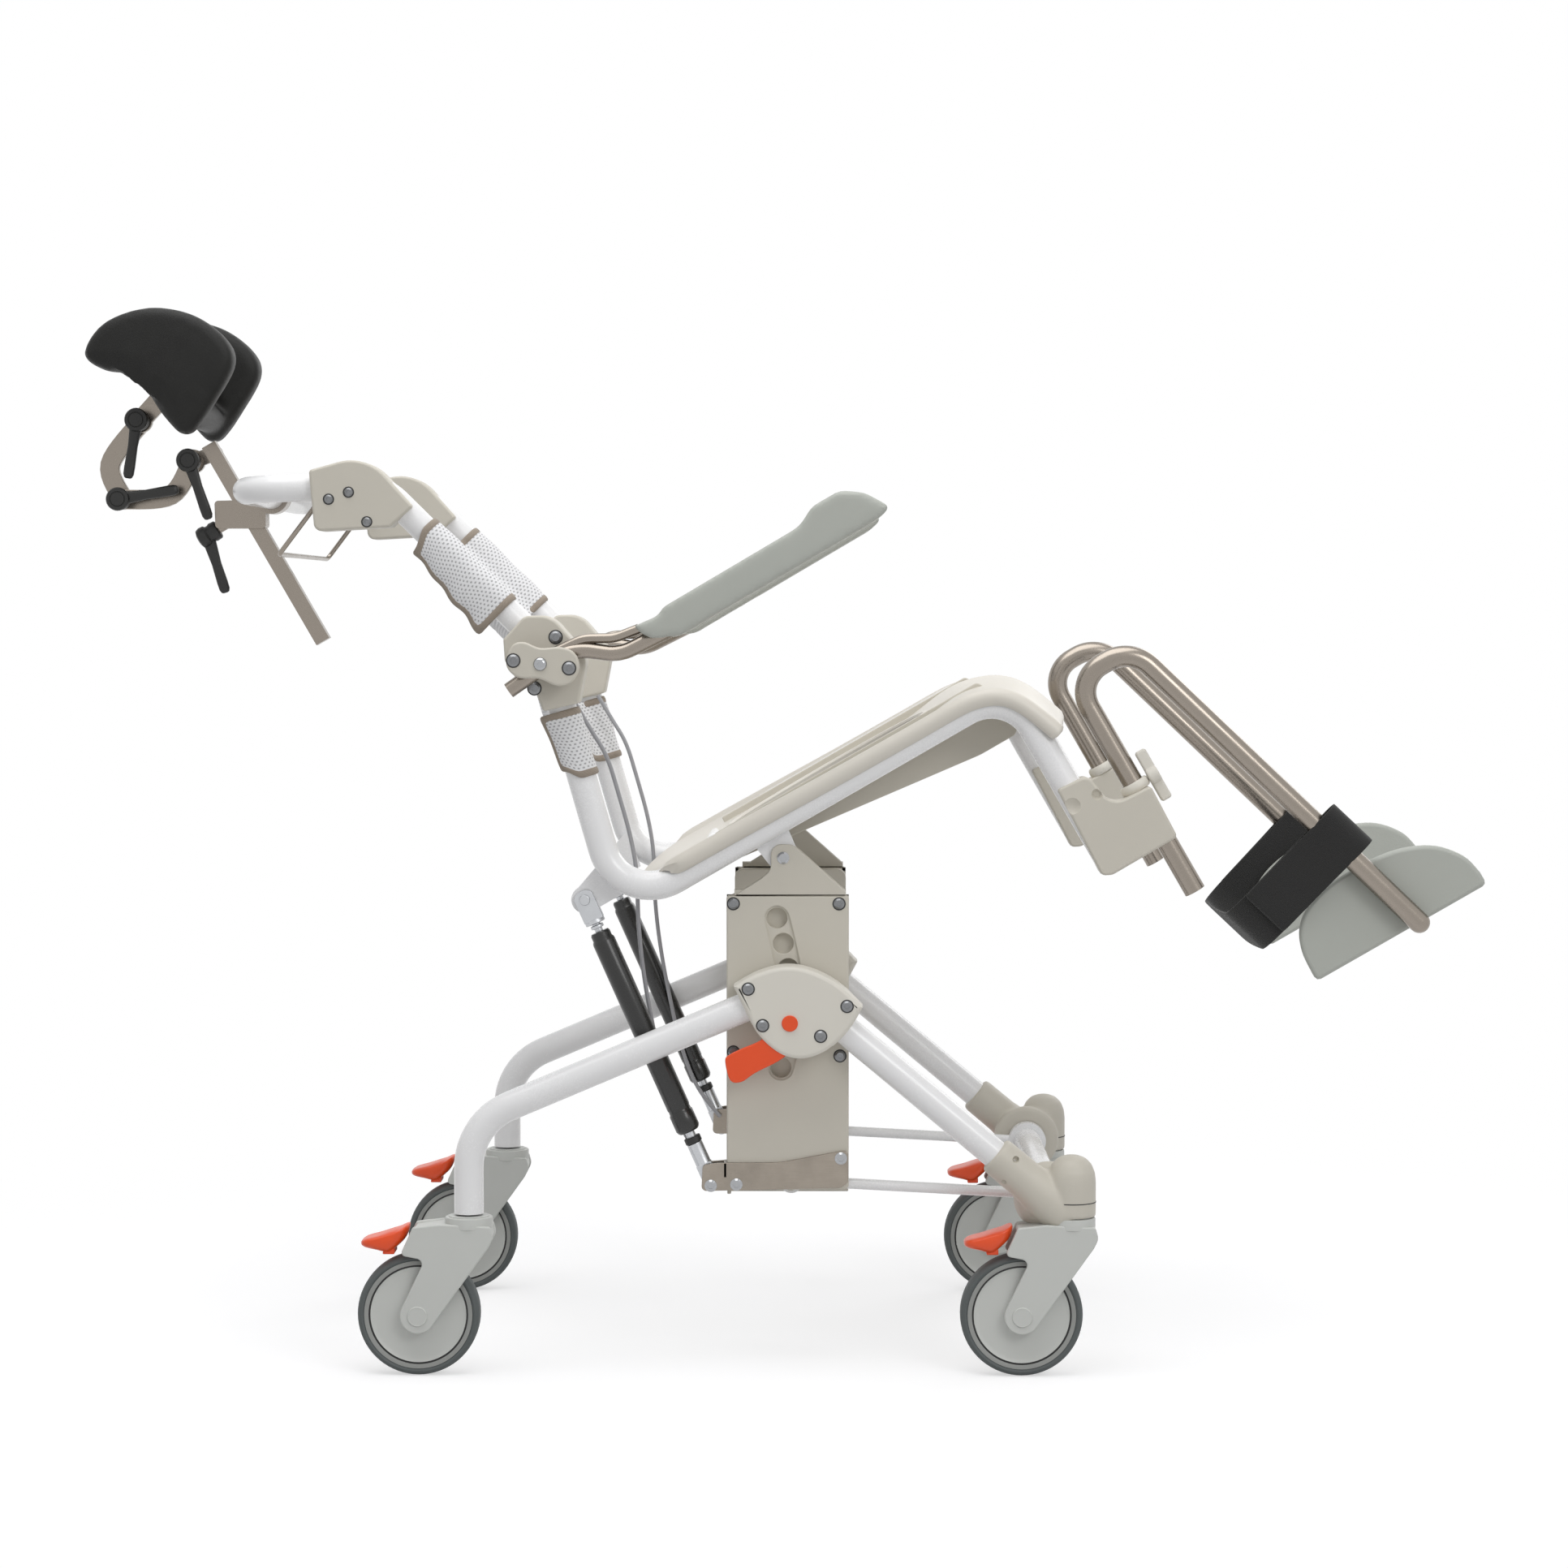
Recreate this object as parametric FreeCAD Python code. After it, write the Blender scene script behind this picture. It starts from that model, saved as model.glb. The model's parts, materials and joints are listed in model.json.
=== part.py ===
import FreeCAD, Part
import math
import os
from FreeCAD import Placement, Rotation, Vector

# Tilting shower commode chair, in millimetres.
# +Z is up, the chair faces +X and its right side is at -Y. Sides are built at +Y and mirrored.

# Clearances and stock
FIT = 0.05
GAP = 0.3
SOCKET = 0.1
WALL = 2.0
FRAME_R = 15.0
SCREW_HEAD_R = 5.5
SCREW_HEAD_T = 2.5

# Base
HALF_TRACK = 240.0
REAR_STEM_X = -353.6
FRONT_STEM_X = 261.0
STEM_Z = 165.0
STEM_DEPTH = 30.0
REAR_CORNER_Z = 257.0
REAR_CORNER_BEND = 68.0
PEAK_X = -22.0
PEAK_Z = 397.0
PEAK_BEND = 50.0
CROSS_X = 240.0
CROSS_Z = 178.0
LEG_END = 45.0

# Front joint castings
SLEEVE_R = 20.0
SLEEVE_LENGTH = 75.0
HUB_R = 37.0
HUB_IN = 35.0
HUB_INNER_Y = HALF_TRACK - HUB_IN
HUB_OUT = 22.0
HUB_OUTER_Y = HALF_TRACK + HUB_OUT
DOME_R = 26.0
DOME_TOP_Z = 225.0
DOME_ROUND = 14.0
CASTING_FLOOR_Z = 158.0
CROSS_SEAT = 10.0

# Casters
WHEEL_R = 62.5
WHEEL_WIDTH = 28.0
RIM_R = 49.0
TYRE_ROUND = 6.0
RIM_DISH = 4.0
TRAIL = 51.0
RING_R = 23.5
RING_H = 15.0
CROWN_Z = 128.0
FORK_LEG = 7.0
WHEEL_SIDE_GAP = 2.0
AXLE_R = 4.0
AXLE_CAP_R = 10.5
AXLE_CAP_T = 2.0
AXLE_EAR = 13.0
FORK_EAR = 3.5
HUB_BOSS_R = 14.0
RIM_LIP = 6.0
RIM_INSET = 1.0
PEDAL_BACK = 20.0
PEDAL_UP = 72.0
PEDAL_PIN_R = 3.0
PEDAL_BARREL_R = 7.0
PEDAL_HALF_WIDTH = 21.0
PEDAL_REACH = 37.0
PEDAL_DROP = 14.0
PEDAL_EDGE = 8.0
PADDLE = 22.0

# Height links and tower
LINK_IN = 45.0
LINK_Y = HALF_TRACK - LINK_IN
LINK_R = 5.5
EYE_HALF = 8.0
FRONT_EYE_R = 21.0
REAR_EYE_R = 12.0
LIFT_X = -25.0
LIFT_Z = 192.0
LIFT_PIN_R = 8.0
LIFT_PIN_END_IN = 25.0
LIFT_PIN_END_Y = HALF_TRACK - LIFT_PIN_END_IN
TOWER_REAR_X = -91.0
TOWER_FRONT_X = 34.0
TOWER_FOOT_Z = 186.0
TOWER_INNER_FOOT_Z = 178.0
TOWER_TOP_Z = 488.0
TOWER_INNER_IN = 65.0
TOWER_INNER_Y = HALF_TRACK - TOWER_INNER_IN
TOWER_SPLIT_IN = 42.0
TOWER_SPLIT_Y = HALF_TRACK - TOWER_SPLIT_IN
TOWER_OUTER_IN = 19.0
TOWER_OUTER_Y = HALF_TRACK - TOWER_OUTER_IN
TOWER_WALL = 4.0
TOWER_ROUND = 10.0
TOWER_SCREWS = [(-81, 478), (24, 478), (24, 324), (-81, 328)]
LINK_SLOT_TOP_Z = 228.0
LOCK_X = -26.0
LOCK_Z = 362.0
LOCK_R = 8.0
GROOVE_HALF = 11.5
GROOVE_DEPTH = 3.0
LOCK_HOLE_R = 10.5
LOCK_PITCH = 26.0
LOCK_HOLES_DOWN = 2
LOCK_HOLES_UP = 4

# Height clamps
CLAMP_IN = 16.1
CLAMP_INNER_Y = HALF_TRACK - CLAMP_IN
CLAMP_OUT = 24.0
CLAMP_OUTER_Y = HALF_TRACK + CLAMP_OUT
CLAMP_OUTLINE = [(-82, 398, 9), (-33, 419, 60), (47, 378, 9), (30, 352, 30), (5, 333, 25),
                 (-25, 329, 30), (-53, 345, 25), (-74, 371, 25)]
CLAMP_SCREWS = [(-69, 396), (31, 379), (-53, 366), (20, 356)]
LEVER_OUT = 16.5
LEVER_INNER_Y = HALF_TRACK + LEVER_OUT
LEVER_T = 5.0
LEVER_LENGTH = 76.0
LEVER_HALF = 14.0
LEVER_AIM = 211.6
LEVER_TURN = 70.0
PIN_TIP_IN = 21.5
PIN_TIP_Y = HALF_TRACK - PIN_TIP_IN
BUTTON_OUT = 26.0
BUTTON_Y = HALF_TRACK + BUTTON_OUT

# Top brackets and seat pivot
PIVOT_X = -33.1
PIVOT_Z = 526.9
TILT = 30.0
LUG_R = 18.0
LUG_FOOT = 8.0
LUG_HOLLOW = 25.0
LUG_REAR_X = -83.0
LUG_FRONT_X = 31.0
PIVOT_BOLT_R = 6.0
PIVOT_HEAD_R = 10.8
TAB_INNER_IN = 32.0
TAB_INNER_Y = HALF_TRACK - TAB_INNER_IN
TAB_OUTER_IN = 25.4
TAB_OUTER_Y = HALF_TRACK - TAB_OUTER_IN
CHEEK_T = 5.6
CHEEK_IN = 40.0
CHEEK_INNER_Y = HALF_TRACK - CHEEK_IN
CHEEK_SIDE_GAP = 0.6

# Gas springs and the straps that carry them
SPRING_IN = 29.0
SPRING_Y = HALF_TRACK - SPRING_IN
STRAP_T = 3.0
STRAP_FOOT_Z = 185.0
STRAP_TOP_Z = 227.0
STRAP_BACK_X = -115.0
STRAP_FRONT_X = 32.0
STRAP_ROUND = 8.0
STRAP_WEB_UP = 7.0
STRAP_SCREW_IN = 10.0
STRAP_SCREW_DOWN = 14.0
SPRING_FOOT_X = -106.0
SPRING_FOOT_Z = 192.0
SPRING_HEAD_A = -197.4
SPRING_HEAD_B = 63.9
SPRING_PIN_R = 4.0
SPRING_ROD_R = 5.0
SPRING_ROD_END = 250.0
CYLINDER_R = 12.0
CYLINDER_START = 92.0
CYLINDER_HEAD = 40.0
HEAD_R = 10.5
HEAD_ROUND = 9.0
HEAD_SIDE_GAP = 1.0
FORK_HALF = 8.0
FORK_CHEEK = 4.0
FORK_REACH = 18.0
HEAD_REACH = 24.0
FORK_LENGTH = 45.0
HEAD_PLAY = 4.6

# Seat frame, in seat axes: A forward and B up from the pivot, turned back by TILT
RAIL_IN = 12.0
RAIL_Y = HALF_TRACK - RAIL_IN
RAIL_B = 37.0
RAIL_BEND = 50.0
REAR_A = -170.0
FRONT_A = 287.0
POST_FOOT_B = -175.0
ELBOW_A = -103.0
ELBOW_B = 307.0
POST_TOP_B = 285.0
SEAT_CROSS_R = 11.0
SEAT_CROSS_A = (-66.0, 232.0)
TAB_R = 16.0
TAB_FLARE = 6.0
SPRING_TAB_R = 14.0

# Back frame
BACK_R = 14.0
BACK_FOOT_B = 325.0
SHOULDER_A = -165.0
SHOULDER_B = 533.5
SHOULDER_BEND = 60.0
PUSH_A = -290.0
PUSH_B = 600.0
PUSH_BEND = 45.0

# Seat shell
SHELL_T = 4.7
SHELL_REAR_A = -110.0
SHELL_BAND = 21.0
SHELL_NOSE_B = -30.0
SHELL_CORNER = 55.0
HOLE_A = 80.0
HOLE_HALF_A = 120.0
HOLE_HALF_Y = 100.0
SKIRT_REAR_B = 20.0
SKIRT_FRONT_B = -12.0
PAN_WALL_Y = 150.0
PAN_WALL_OUTLINE = [(-52, 54), (262, 54), (281, 24, 12), (274, -13, 10), (228, -13, 90), (-52, 20)]

# Elbow clamps and armrests
ELBOW_OUTLINE = [(-134, 335, 6), (-100, 344, 8), (-84, 333, 8), (-70, 305, 12), (-72, 275, 12),
                 (-83, 257, 10), (-100, 242, 8), (-136, 251, 5), (-146, 281, 12)]
ELBOW_SCREWS = [(-84, 311), (-131, 277)]
ELBOW_IN = 22.0
ELBOW_INNER_Y = RAIL_Y - ELBOW_IN
ELBOW_OUT = 27.0
ELBOW_OUTER_Y = RAIL_Y + ELBOW_OUT
ARM_PIVOT_A = -111.0
ARM_PIVOT_B = 293.5
ARM_PIN_R = 4.0
ARM_OUT = 40.0
ARM_Y = RAIL_Y + ARM_OUT
ARM_R = 8.0
ARM_ROUTE = [(-153, 286.5), (-78, 293), (-38, 262), (60, 256.5), (110, 257)]
ARM_BENDS = [60.0, 45.0, 60.0]
STAY_R = 5.0
STAY_ROUTE = [(-92, 297), (-62, 294.5), (-34, 279), (-8, 275)]
STAY_BENDS = [40.0, 40.0]
PIVOT_PLATE_T = 8.0
PIVOT_PLATE_HALF = 10.5
PIVOT_PLATE_GAP = 1.0
LOBES = [(-133, 311, 15), (-89, 276, 18)]
SPACER_R = 5.0
PAD_OUTLINE = [(-21, 281, 3), (-13, 280, 4), (-4, 261, 10), (22, 248, 8), (253, 250, 8), (272, 254, 3),
               (256, 280, 30), (236, 294, 12), (203, 294, 25), (183, 283, 25)]
PAD_IN = 49.0
PAD_INNER_Y = ARM_Y - PAD_IN
PAD_OUT = 17.0
PAD_OUTER_Y = ARM_Y + PAD_OUT

# Shoulder covers and release bail
COVER_OUTLINE = [(-219, 581, 6), (-180, 572, 14), (-155, 544, 16), (-147, 495, 5), (-176, 492, 10),
                 (-238, 524, 6), (-240, 536, 6)]
COVER_SCREWS = [(-215, 545), (-194, 541), (-193, 506)]
COVER_IN = 22.0
COVER_INNER_Y = RAIL_Y - COVER_IN
COVER_OUT = 22.0
COVER_OUTER_Y = RAIL_Y + COVER_OUT
BAIL_A = -222.0
BAIL_B = 557.0
BAIL_R = 2.5
BAIL_IN = 38.0
BAIL_Y = RAIL_Y - BAIL_IN
BAIL_REACH_A = -71.0
BAIL_REACH_B = -30.0
BAIL_BEND = 8.0
BAIL_SEAT = 7.0

# Back sling
SLING_T = 3.0
SLING_SAG = 45.0
SLING_LOWER = (-151.0, -66.0)
SLING_UPPER = (40.0, 180.0)
SLING_FLAT_IN = 25.0
SLING_FLAT_Y = RAIL_Y - SLING_FLAT_IN

# Release cables
CABLE_R = 2.2
CABLE_ROUTE = [(-246, 683), (-231, 657), (-214, 631), (-202, 590), (-190, 548), (-183, 508), (-183, 470),
               (-180, 429), (-174, 386), (-166, 344), (-157, 302), (-145, 262), (-129, 228), (-108, 205)]

# Head support
HEAD_BAR_A = -321.0
HEAD_BAR_HALF = 8.0
HEAD_BAR_B = (438.0, 682.0)
BAR_JOINT = (-346.0, 676.0)
MIDDLE_JOINT = (-432.0, 678.0)
PAD_JOINT = (-372.0, 741.0)
LINK_T = 8.0
LINK_HALF = 11.0
LINK_BOW = 16.0
JOINT_R = 13.0
JOINT_PIN_R = 4.0
LEVER_HUB_R = 11.0
LEVER_HUB_T = 22.0
LEVER_GAP = 1.0
LEVER_ARM_T = 9.0
LEVER_ARM_HALF = 7.0
BAR_LEVER_TIP = (-359.0, 611.0)
MIDDLE_LEVER_TIP = (-371.0, 655.0)
PAD_LEVER_TIP = (-412.0, 692.0)
CLAMP_BLOCK = [(-345, 626, 4), (-297, 600, 4), (-312, 573, 4), (-359, 600, 4)]
CLAMP_HALF = 14.0
CLAMP_RING = 5.0
CLAMP_LEVER = (-368.0, 599.0)
CLAMP_LEVER_LENGTH = 62.0
CLAMP_STUD_R = 5.0
CLAMP_STUD_IN = 24.0
CLAMP_HUB_IN = 3.4
CLAMP_HUB_OUT = 10.0
CLAMP_HUB_R = 10.0
HEAD_PAD_OUTLINE = [(-378, 822, 8), (-345, 832, 30), (-288, 826, 40), (-256, 800, 40), (-240, 762, 40),
                    (-250, 722, 30), (-320, 693, 10), (-333, 722, 60), (-347, 780, 30)]
HEAD_PAD_HALF = 112.0
HEAD_PAD_T = 34.0
HEAD_PAD_BACK = 26.0
HEAD_PLATE_HALF = 24.0
HEAD_PLATE_REACH = 19.2
HEAD_PLATE_T = 4.0

# Leg rests
LEG_BRACKET = [(267, -81, 6), (306, -79, 5), (313, -88, 6), (320, -125, 8), (362, -125, 4), (362, -180, 4),
               (291, -184, 6), (267, -181, 6)]
LEG_SCREWS = [(282, -100), (282, -165)]
LEG_BRACKET_IN = 19.0
LEG_BRACKET_INNER_Y = RAIL_Y - LEG_BRACKET_IN
LEG_BRACKET_OUT = 19.0
LEG_BRACKET_OUTER_Y = RAIL_Y + LEG_BRACKET_OUT
HANGER_R = 11.0
HANGER_IN = 6.0
HANGER_Y = RAIL_Y - HANGER_IN
HANGER_A = 347.0
HANGER_FOOT_B = -239.0
HANGER_TOP_B = 9.0
HANGER_TURN_A = 413.5
HANGER_BEND = 37.0
HANGER_END = (528.0, -378.0)
COLLAR_R = 15.0
COLLAR_T = 20.0
WING_STUD_R = 3.0
WING_T = 12.0
WING_HALF = 28.5
WING_ROOT_R = 10.0
WING_Y = 4.5
BOSS_R = 7.0
BOSS_OUT = 1.0
WING_ROUND = 3.0
FOOT_HINGE_IN = 19.0
FOOT_HINGE_Y = HANGER_Y - FOOT_HINGE_IN
FOOT_HINGE_B = -384.0
FOOT_HINGE_R = 5.0
FOOT_KNUCKLE_R = 9.0
FOOT_KNUCKLE = 14.0
FOOT_BLOCK = 26.0
FOOT_T = 11.0
FOOT_A = (415.0, 604.0)
FOOT_TOP_B = -299.0
FOOT_EDGE = 12.0
STRAP_WEB = 52.0
STRAP_WEB_T = 3.0
STRAP_FRONT = (508.0, -262.0)
STRAP_REAR = (372.0, -303.0)
STRAP_CORNER = 40.0


# Shape helpers
def corner_arc(before, corner, after, radius):
    """Start, middle and end of the arc that rounds a corner."""
    inward = (before - corner).normalize()
    onward = (after - corner).normalize()
    half = inward.getAngle(onward) / 2
    reach = radius / math.tan(half)
    middle = (inward + onward).normalize() * (radius / math.sin(half) - radius)
    return corner + inward * reach, corner + middle, corner + onward * reach


def rounded_path(points, bends):
    """Straight runs joined by tangent arcs, with one bend radius for each inner point."""
    edges = []
    start = points[0]
    for before, corner, after, bend in zip(points, points[1:], points[2:], bends):
        first, middle, last = corner_arc(before, corner, after, bend)
        edges.append(Part.LineSegment(start, first).toShape())
        edges.append(Part.Arc(first, middle, last).toShape())
        start = last
    edges.append(Part.LineSegment(start, points[-1]).toShape())
    return Part.Wire(edges)


def pipe(points, bends, radius):
    """Round bar along a bent path."""
    ring = Part.Wire(Part.Circle(points[0], points[1] - points[0], radius).toShape())
    return rounded_path(points, bends).makePipeShell([ring], True, False)


def outline_face(corners, rounds):
    """Flat face of a closed outline, with each corner rounded by its own radius."""
    marks = []
    count = len(corners)
    for i, corner in enumerate(corners):
        if rounds[i]:
            marks.append(corner_arc(corners[i - 1], corner, corners[(i + 1) % count], rounds[i]))
        else:
            marks.append((corner, None, corner))
    edges = []
    for i, (first, middle, last) in enumerate(marks):
        if middle is not None:
            edges.append(Part.Arc(first, middle, last).toShape())
        edges.append(Part.LineSegment(last, marks[(i + 1) % count][0]).toShape())
    return Part.Face(Part.Wire(edges))


def slab(outline, low, high):
    """Plate of an X-Z outline between two Y levels. A third number rounds that corner."""
    corners = [Vector(point[0], low, point[1]) for point in outline]
    rounds = [point[2] if len(point) > 2 else 0 for point in outline]
    return outline_face(corners, rounds).extrude(Vector(0, high - low, 0))


def plan(outline, low, high):
    """Block of an X-Y outline between two Z levels. A third number rounds that corner."""
    corners = [Vector(point[0], point[1], low) for point in outline]
    rounds = [point[2] if len(point) > 2 else 0 for point in outline]
    return outline_face(corners, rounds).extrude(Vector(0, 0, high - low))


def cross_rod(x, z, radius, low, high):
    """Round bar along Y."""
    return Part.makeCylinder(radius, high - low, Vector(x, low, z), Vector(0, 1, 0))


def rod(start, end, radius):
    """Round bar between two points."""
    return Part.makeCylinder(radius, (end - start).Length, start, end - start)


def box(x0, x1, y0, y1, z0, z1):
    return Part.makeBox(x1 - x0, y1 - y0, z1 - z0, Vector(x0, y0, z0))


def whole(shape):
    """The solid itself where a shape holds just one."""
    return shape.Solids[0] if len(shape.Solids) == 1 else shape


def fuse(first, *others):
    return whole(first.multiFuse(list(others)).removeSplitter())


def cut(shape, *tools):
    for tool in tools:
        shape = whole(shape.cut(tool))
    return shape


def mirror(shape):
    return shape.mirror(Vector(0, 0, 0), Vector(0, 1, 0))


def solids(*shapes):
    """One node of separate solids."""
    return Part.Compound([solid for shape in shapes for solid in shape.Solids])


def pair(*shapes):
    return solids(*shapes, *[mirror(shape) for shape in shapes])


def placed(shape, placement):
    moved = shape.copy()
    moved.Placement = placement.multiply(moved.Placement)
    return moved


SEAT = Placement(Vector(PIVOT_X, 0, PIVOT_Z), Rotation(Vector(0, 1, 0), -TILT))


def on_seat(shape):
    """Turn a shape from seat axes into the chair's own."""
    return placed(shape, SEAT)


def head(x, z, y, radius=SCREW_HEAD_R):
    """Button head that sits on a face at Y and looks outwards."""
    return cross_rod(x, z, radius, y, y + SCREW_HEAD_T)


def link_plate(start, end, half, low, high, bow=0.0):
    """Flat link with round ends, bowed to one side of the line between them."""
    first = Vector(start[0], low, start[1])
    last = Vector(end[0], low, end[1])
    along = (last - first).normalize()
    side = Vector(-along.z, 0, along.x)
    middle = (first + last) * 0.5 + side * bow
    if bow:
        upper = Part.Arc(first + side * half, middle + side * half, last + side * half)
        lower = Part.Arc(last - side * half, middle - side * half, first - side * half)
    else:
        upper = Part.LineSegment(first + side * half, last + side * half)
        lower = Part.LineSegment(last - side * half, first - side * half)
    ends = [Part.Arc(last + side * half, last + along * half, last - side * half),
            Part.Arc(first - side * half, first - along * half, first + side * half)]
    edges = [upper.toShape(), ends[0].toShape(), lower.toShape(), ends[1].toShape()]
    return Part.Face(Part.Wire(edges)).extrude(Vector(0, high - low, 0))


def at(points, y):
    """Points of an X-Z route in the plane at Y."""
    return [Vector(x, y, z) for x, z in points]


# Base
LEG_DIRECTION = Vector(CROSS_X - PEAK_X, 0, CROSS_Z - PEAK_Z).normalize()
CROSS_POINT = Vector(CROSS_X, HALF_TRACK, CROSS_Z)
STEM_R = FRAME_R - WALL - FIT


def side_tube_bar(radius):
    """Centre-line bar of one side tube: up from the rear caster, over the clamp, down to the casting."""
    route = at([(REAR_STEM_X, STEM_Z), (REAR_STEM_X, REAR_CORNER_Z), (PEAK_X, PEAK_Z)], HALF_TRACK)
    route.append(CROSS_POINT - LEG_DIRECTION * LEG_END)
    return pipe(route, [REAR_CORNER_BEND, PEAK_BEND], radius)


def base_side_tubes():
    return pair(side_tube_bar(FRAME_R).cut(side_tube_bar(FRAME_R - WALL)))


def front_cross_tube():
    half = HUB_INNER_Y + CROSS_SEAT
    outer = cross_rod(CROSS_X, CROSS_Z, FRAME_R, -half, half)
    return outer.cut(cross_rod(CROSS_X, CROSS_Z, FRAME_R - WALL, -half, half))


def front_casting():
    """Casting that joins the leg, the cross tube and the front caster stem."""
    sleeve_top = CROSS_POINT - LEG_DIRECTION * SLEEVE_LENGTH
    sleeve = rod(sleeve_top, CROSS_POINT, SLEEVE_R)
    hub = cross_rod(CROSS_X, CROSS_Z, HUB_R, HUB_INNER_Y, HUB_OUTER_Y)
    reach = HUB_R + DOME_R
    foot_z = CASTING_FLOOR_Z - DOME_R
    dome = Part.makeCylinder(DOME_R, DOME_TOP_Z - foot_z, Vector(FRONT_STEM_X, HALF_TRACK, foot_z))
    rim = [edge for edge in dome.Edges if edge.BoundBox.ZMin > DOME_TOP_Z - GAP]
    dome = whole(dome.makeFillet(DOME_ROUND, rim))
    casting = fuse(sleeve, hub, dome)
    floor = box(CROSS_X - 2 * reach, CROSS_X + 2 * reach, HUB_INNER_Y - reach, HUB_OUTER_Y + reach,
                CASTING_FLOOR_Z - 2 * reach, CASTING_FLOOR_Z)
    stem = Vector(FRONT_STEM_X, HALF_TRACK, STEM_Z)
    ring_room = Part.makeCylinder(RING_R + GAP * 5, reach, stem, Vector(0, 0, -1))
    stem_bore = Part.makeCylinder(STEM_R + FIT, STEM_DEPTH + GAP, stem)
    cross_bore = cross_rod(CROSS_X, CROSS_Z, FRAME_R + SOCKET, HUB_INNER_Y, HUB_INNER_Y + CROSS_SEAT)
    leg_bore = rod(sleeve_top, CROSS_POINT - LEG_DIRECTION * LEG_END, FRAME_R + SOCKET)
    return cut(casting, floor, ring_room, stem_bore, cross_bore, leg_bore)


def lever_direction(angle):
    return Vector(math.cos(math.radians(angle)), 0, math.sin(math.radians(angle)))


def lever_pocket():
    """Room in the clamp for the lever over its whole turn."""
    half = LEVER_HALF + GAP * 3
    lock = Vector(LOCK_X, 0, LOCK_Z)
    reach = LEVER_LENGTH * 1.4
    first = lock + lever_direction(LEVER_AIM - 90) * half
    last = lock + lever_direction(LEVER_AIM + LEVER_TURN + 90) * half
    middle = lock + lever_direction(LEVER_AIM + LEVER_TURN / 2) * reach * 1.5
    far_first = first + lever_direction(LEVER_AIM) * reach
    far_last = last + lever_direction(LEVER_AIM + LEVER_TURN) * reach
    corners = [(point.x, point.z) for point in (first, far_first, middle, far_last, last)]
    low = LEVER_INNER_Y - GAP
    high = LEVER_INNER_Y + LEVER_T + GAP
    return fuse(slab(corners, low, high), cross_rod(LOCK_X, LOCK_Z, half, low, high))


def height_clamp():
    body = slab(CLAMP_OUTLINE, CLAMP_INNER_Y, CLAMP_OUTER_Y)
    bore = cross_rod(LOCK_X, LOCK_Z, LOCK_R + FIT, CLAMP_INNER_Y, CLAMP_OUTER_Y)
    return cut(body, side_tube_bar(FRAME_R + SOCKET), bore, lever_pocket())


def lock_lever():
    """Lever blade in one piece with its lock pin and button."""
    pin = cross_rod(LOCK_X, LOCK_Z, LOCK_R, PIN_TIP_Y, BUTTON_Y)
    tip = Vector(LOCK_X, 0, LOCK_Z) + lever_direction(LEVER_AIM) * (LEVER_LENGTH - LEVER_HALF)
    blade = link_plate((LOCK_X, LOCK_Z), (tip.x, tip.z), LEVER_HALF, LEVER_INNER_Y, LEVER_INNER_Y + LEVER_T)
    return fuse(pin, blade)


def base_screws():
    clamp_heads = [head(x, z, CLAMP_OUTER_Y) for x, z in CLAMP_SCREWS]
    casting_head = head(CROSS_X, CROSS_Z, HUB_OUTER_Y)
    return pair(*clamp_heads, casting_head)


# Casters, built round a stem at the origin and carried to their places
LEG_FACE = WHEEL_WIDTH / 2 + WHEEL_SIDE_GAP
FORK_HALF_WIDTH = LEG_FACE + FORK_LEG
PEDAL_PIVOT = (-TRAIL - PEDAL_BACK, WHEEL_R + PEDAL_UP)


def caster_fork():
    """Fork with its stem, wheel axle and pedal pin."""
    pedal_x, pedal_z = PEDAL_PIVOT
    ring_top = STEM_Z - GAP
    crown_top = ring_top - RING_H
    ear = PEDAL_BARREL_R + FORK_EAR
    side = [(RING_R, crown_top, FORK_EAR), (pedal_x, pedal_z + ear, 8), (pedal_x - ear, pedal_z, 8),
            (pedal_x, pedal_z - ear, 6), (AXLE_CAP_R + FORK_EAR - TRAIL, CROWN_Z - RIM_LIP, 10),
            (-AXLE_EAR - TRAIL, WHEEL_R + AXLE_EAR, 6), (-AXLE_EAR - TRAIL, WHEEL_R - AXLE_CAP_R, 8),
            (AXLE_CAP_R - TRAIL, WHEEL_R - AXLE_EAR, 8), (RING_R, CROWN_Z, 8)]
    legs = [slab(side, LEG_FACE, FORK_HALF_WIDTH), slab(side, -FORK_HALF_WIDTH, -LEG_FACE)]
    crown = Part.makeCylinder(RING_R, ring_top - CROWN_Z, Vector(0, 0, CROWN_Z))
    stem = Part.makeCylinder(STEM_R, STEM_DEPTH, Vector(0, 0, ring_top - GAP))
    axle = cross_rod(-TRAIL, WHEEL_R, AXLE_R, -FORK_HALF_WIDTH, FORK_HALF_WIDTH)
    caps = [cross_rod(-TRAIL, WHEEL_R, AXLE_CAP_R, FORK_HALF_WIDTH, FORK_HALF_WIDTH + AXLE_CAP_T),
            cross_rod(-TRAIL, WHEEL_R, AXLE_CAP_R, -FORK_HALF_WIDTH - AXLE_CAP_T, -FORK_HALF_WIDTH)]
    pin = cross_rod(pedal_x, pedal_z, PEDAL_PIN_R, -FORK_HALF_WIDTH, FORK_HALF_WIDTH)
    return fuse(crown, *legs, stem, axle, *caps, pin)


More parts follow.
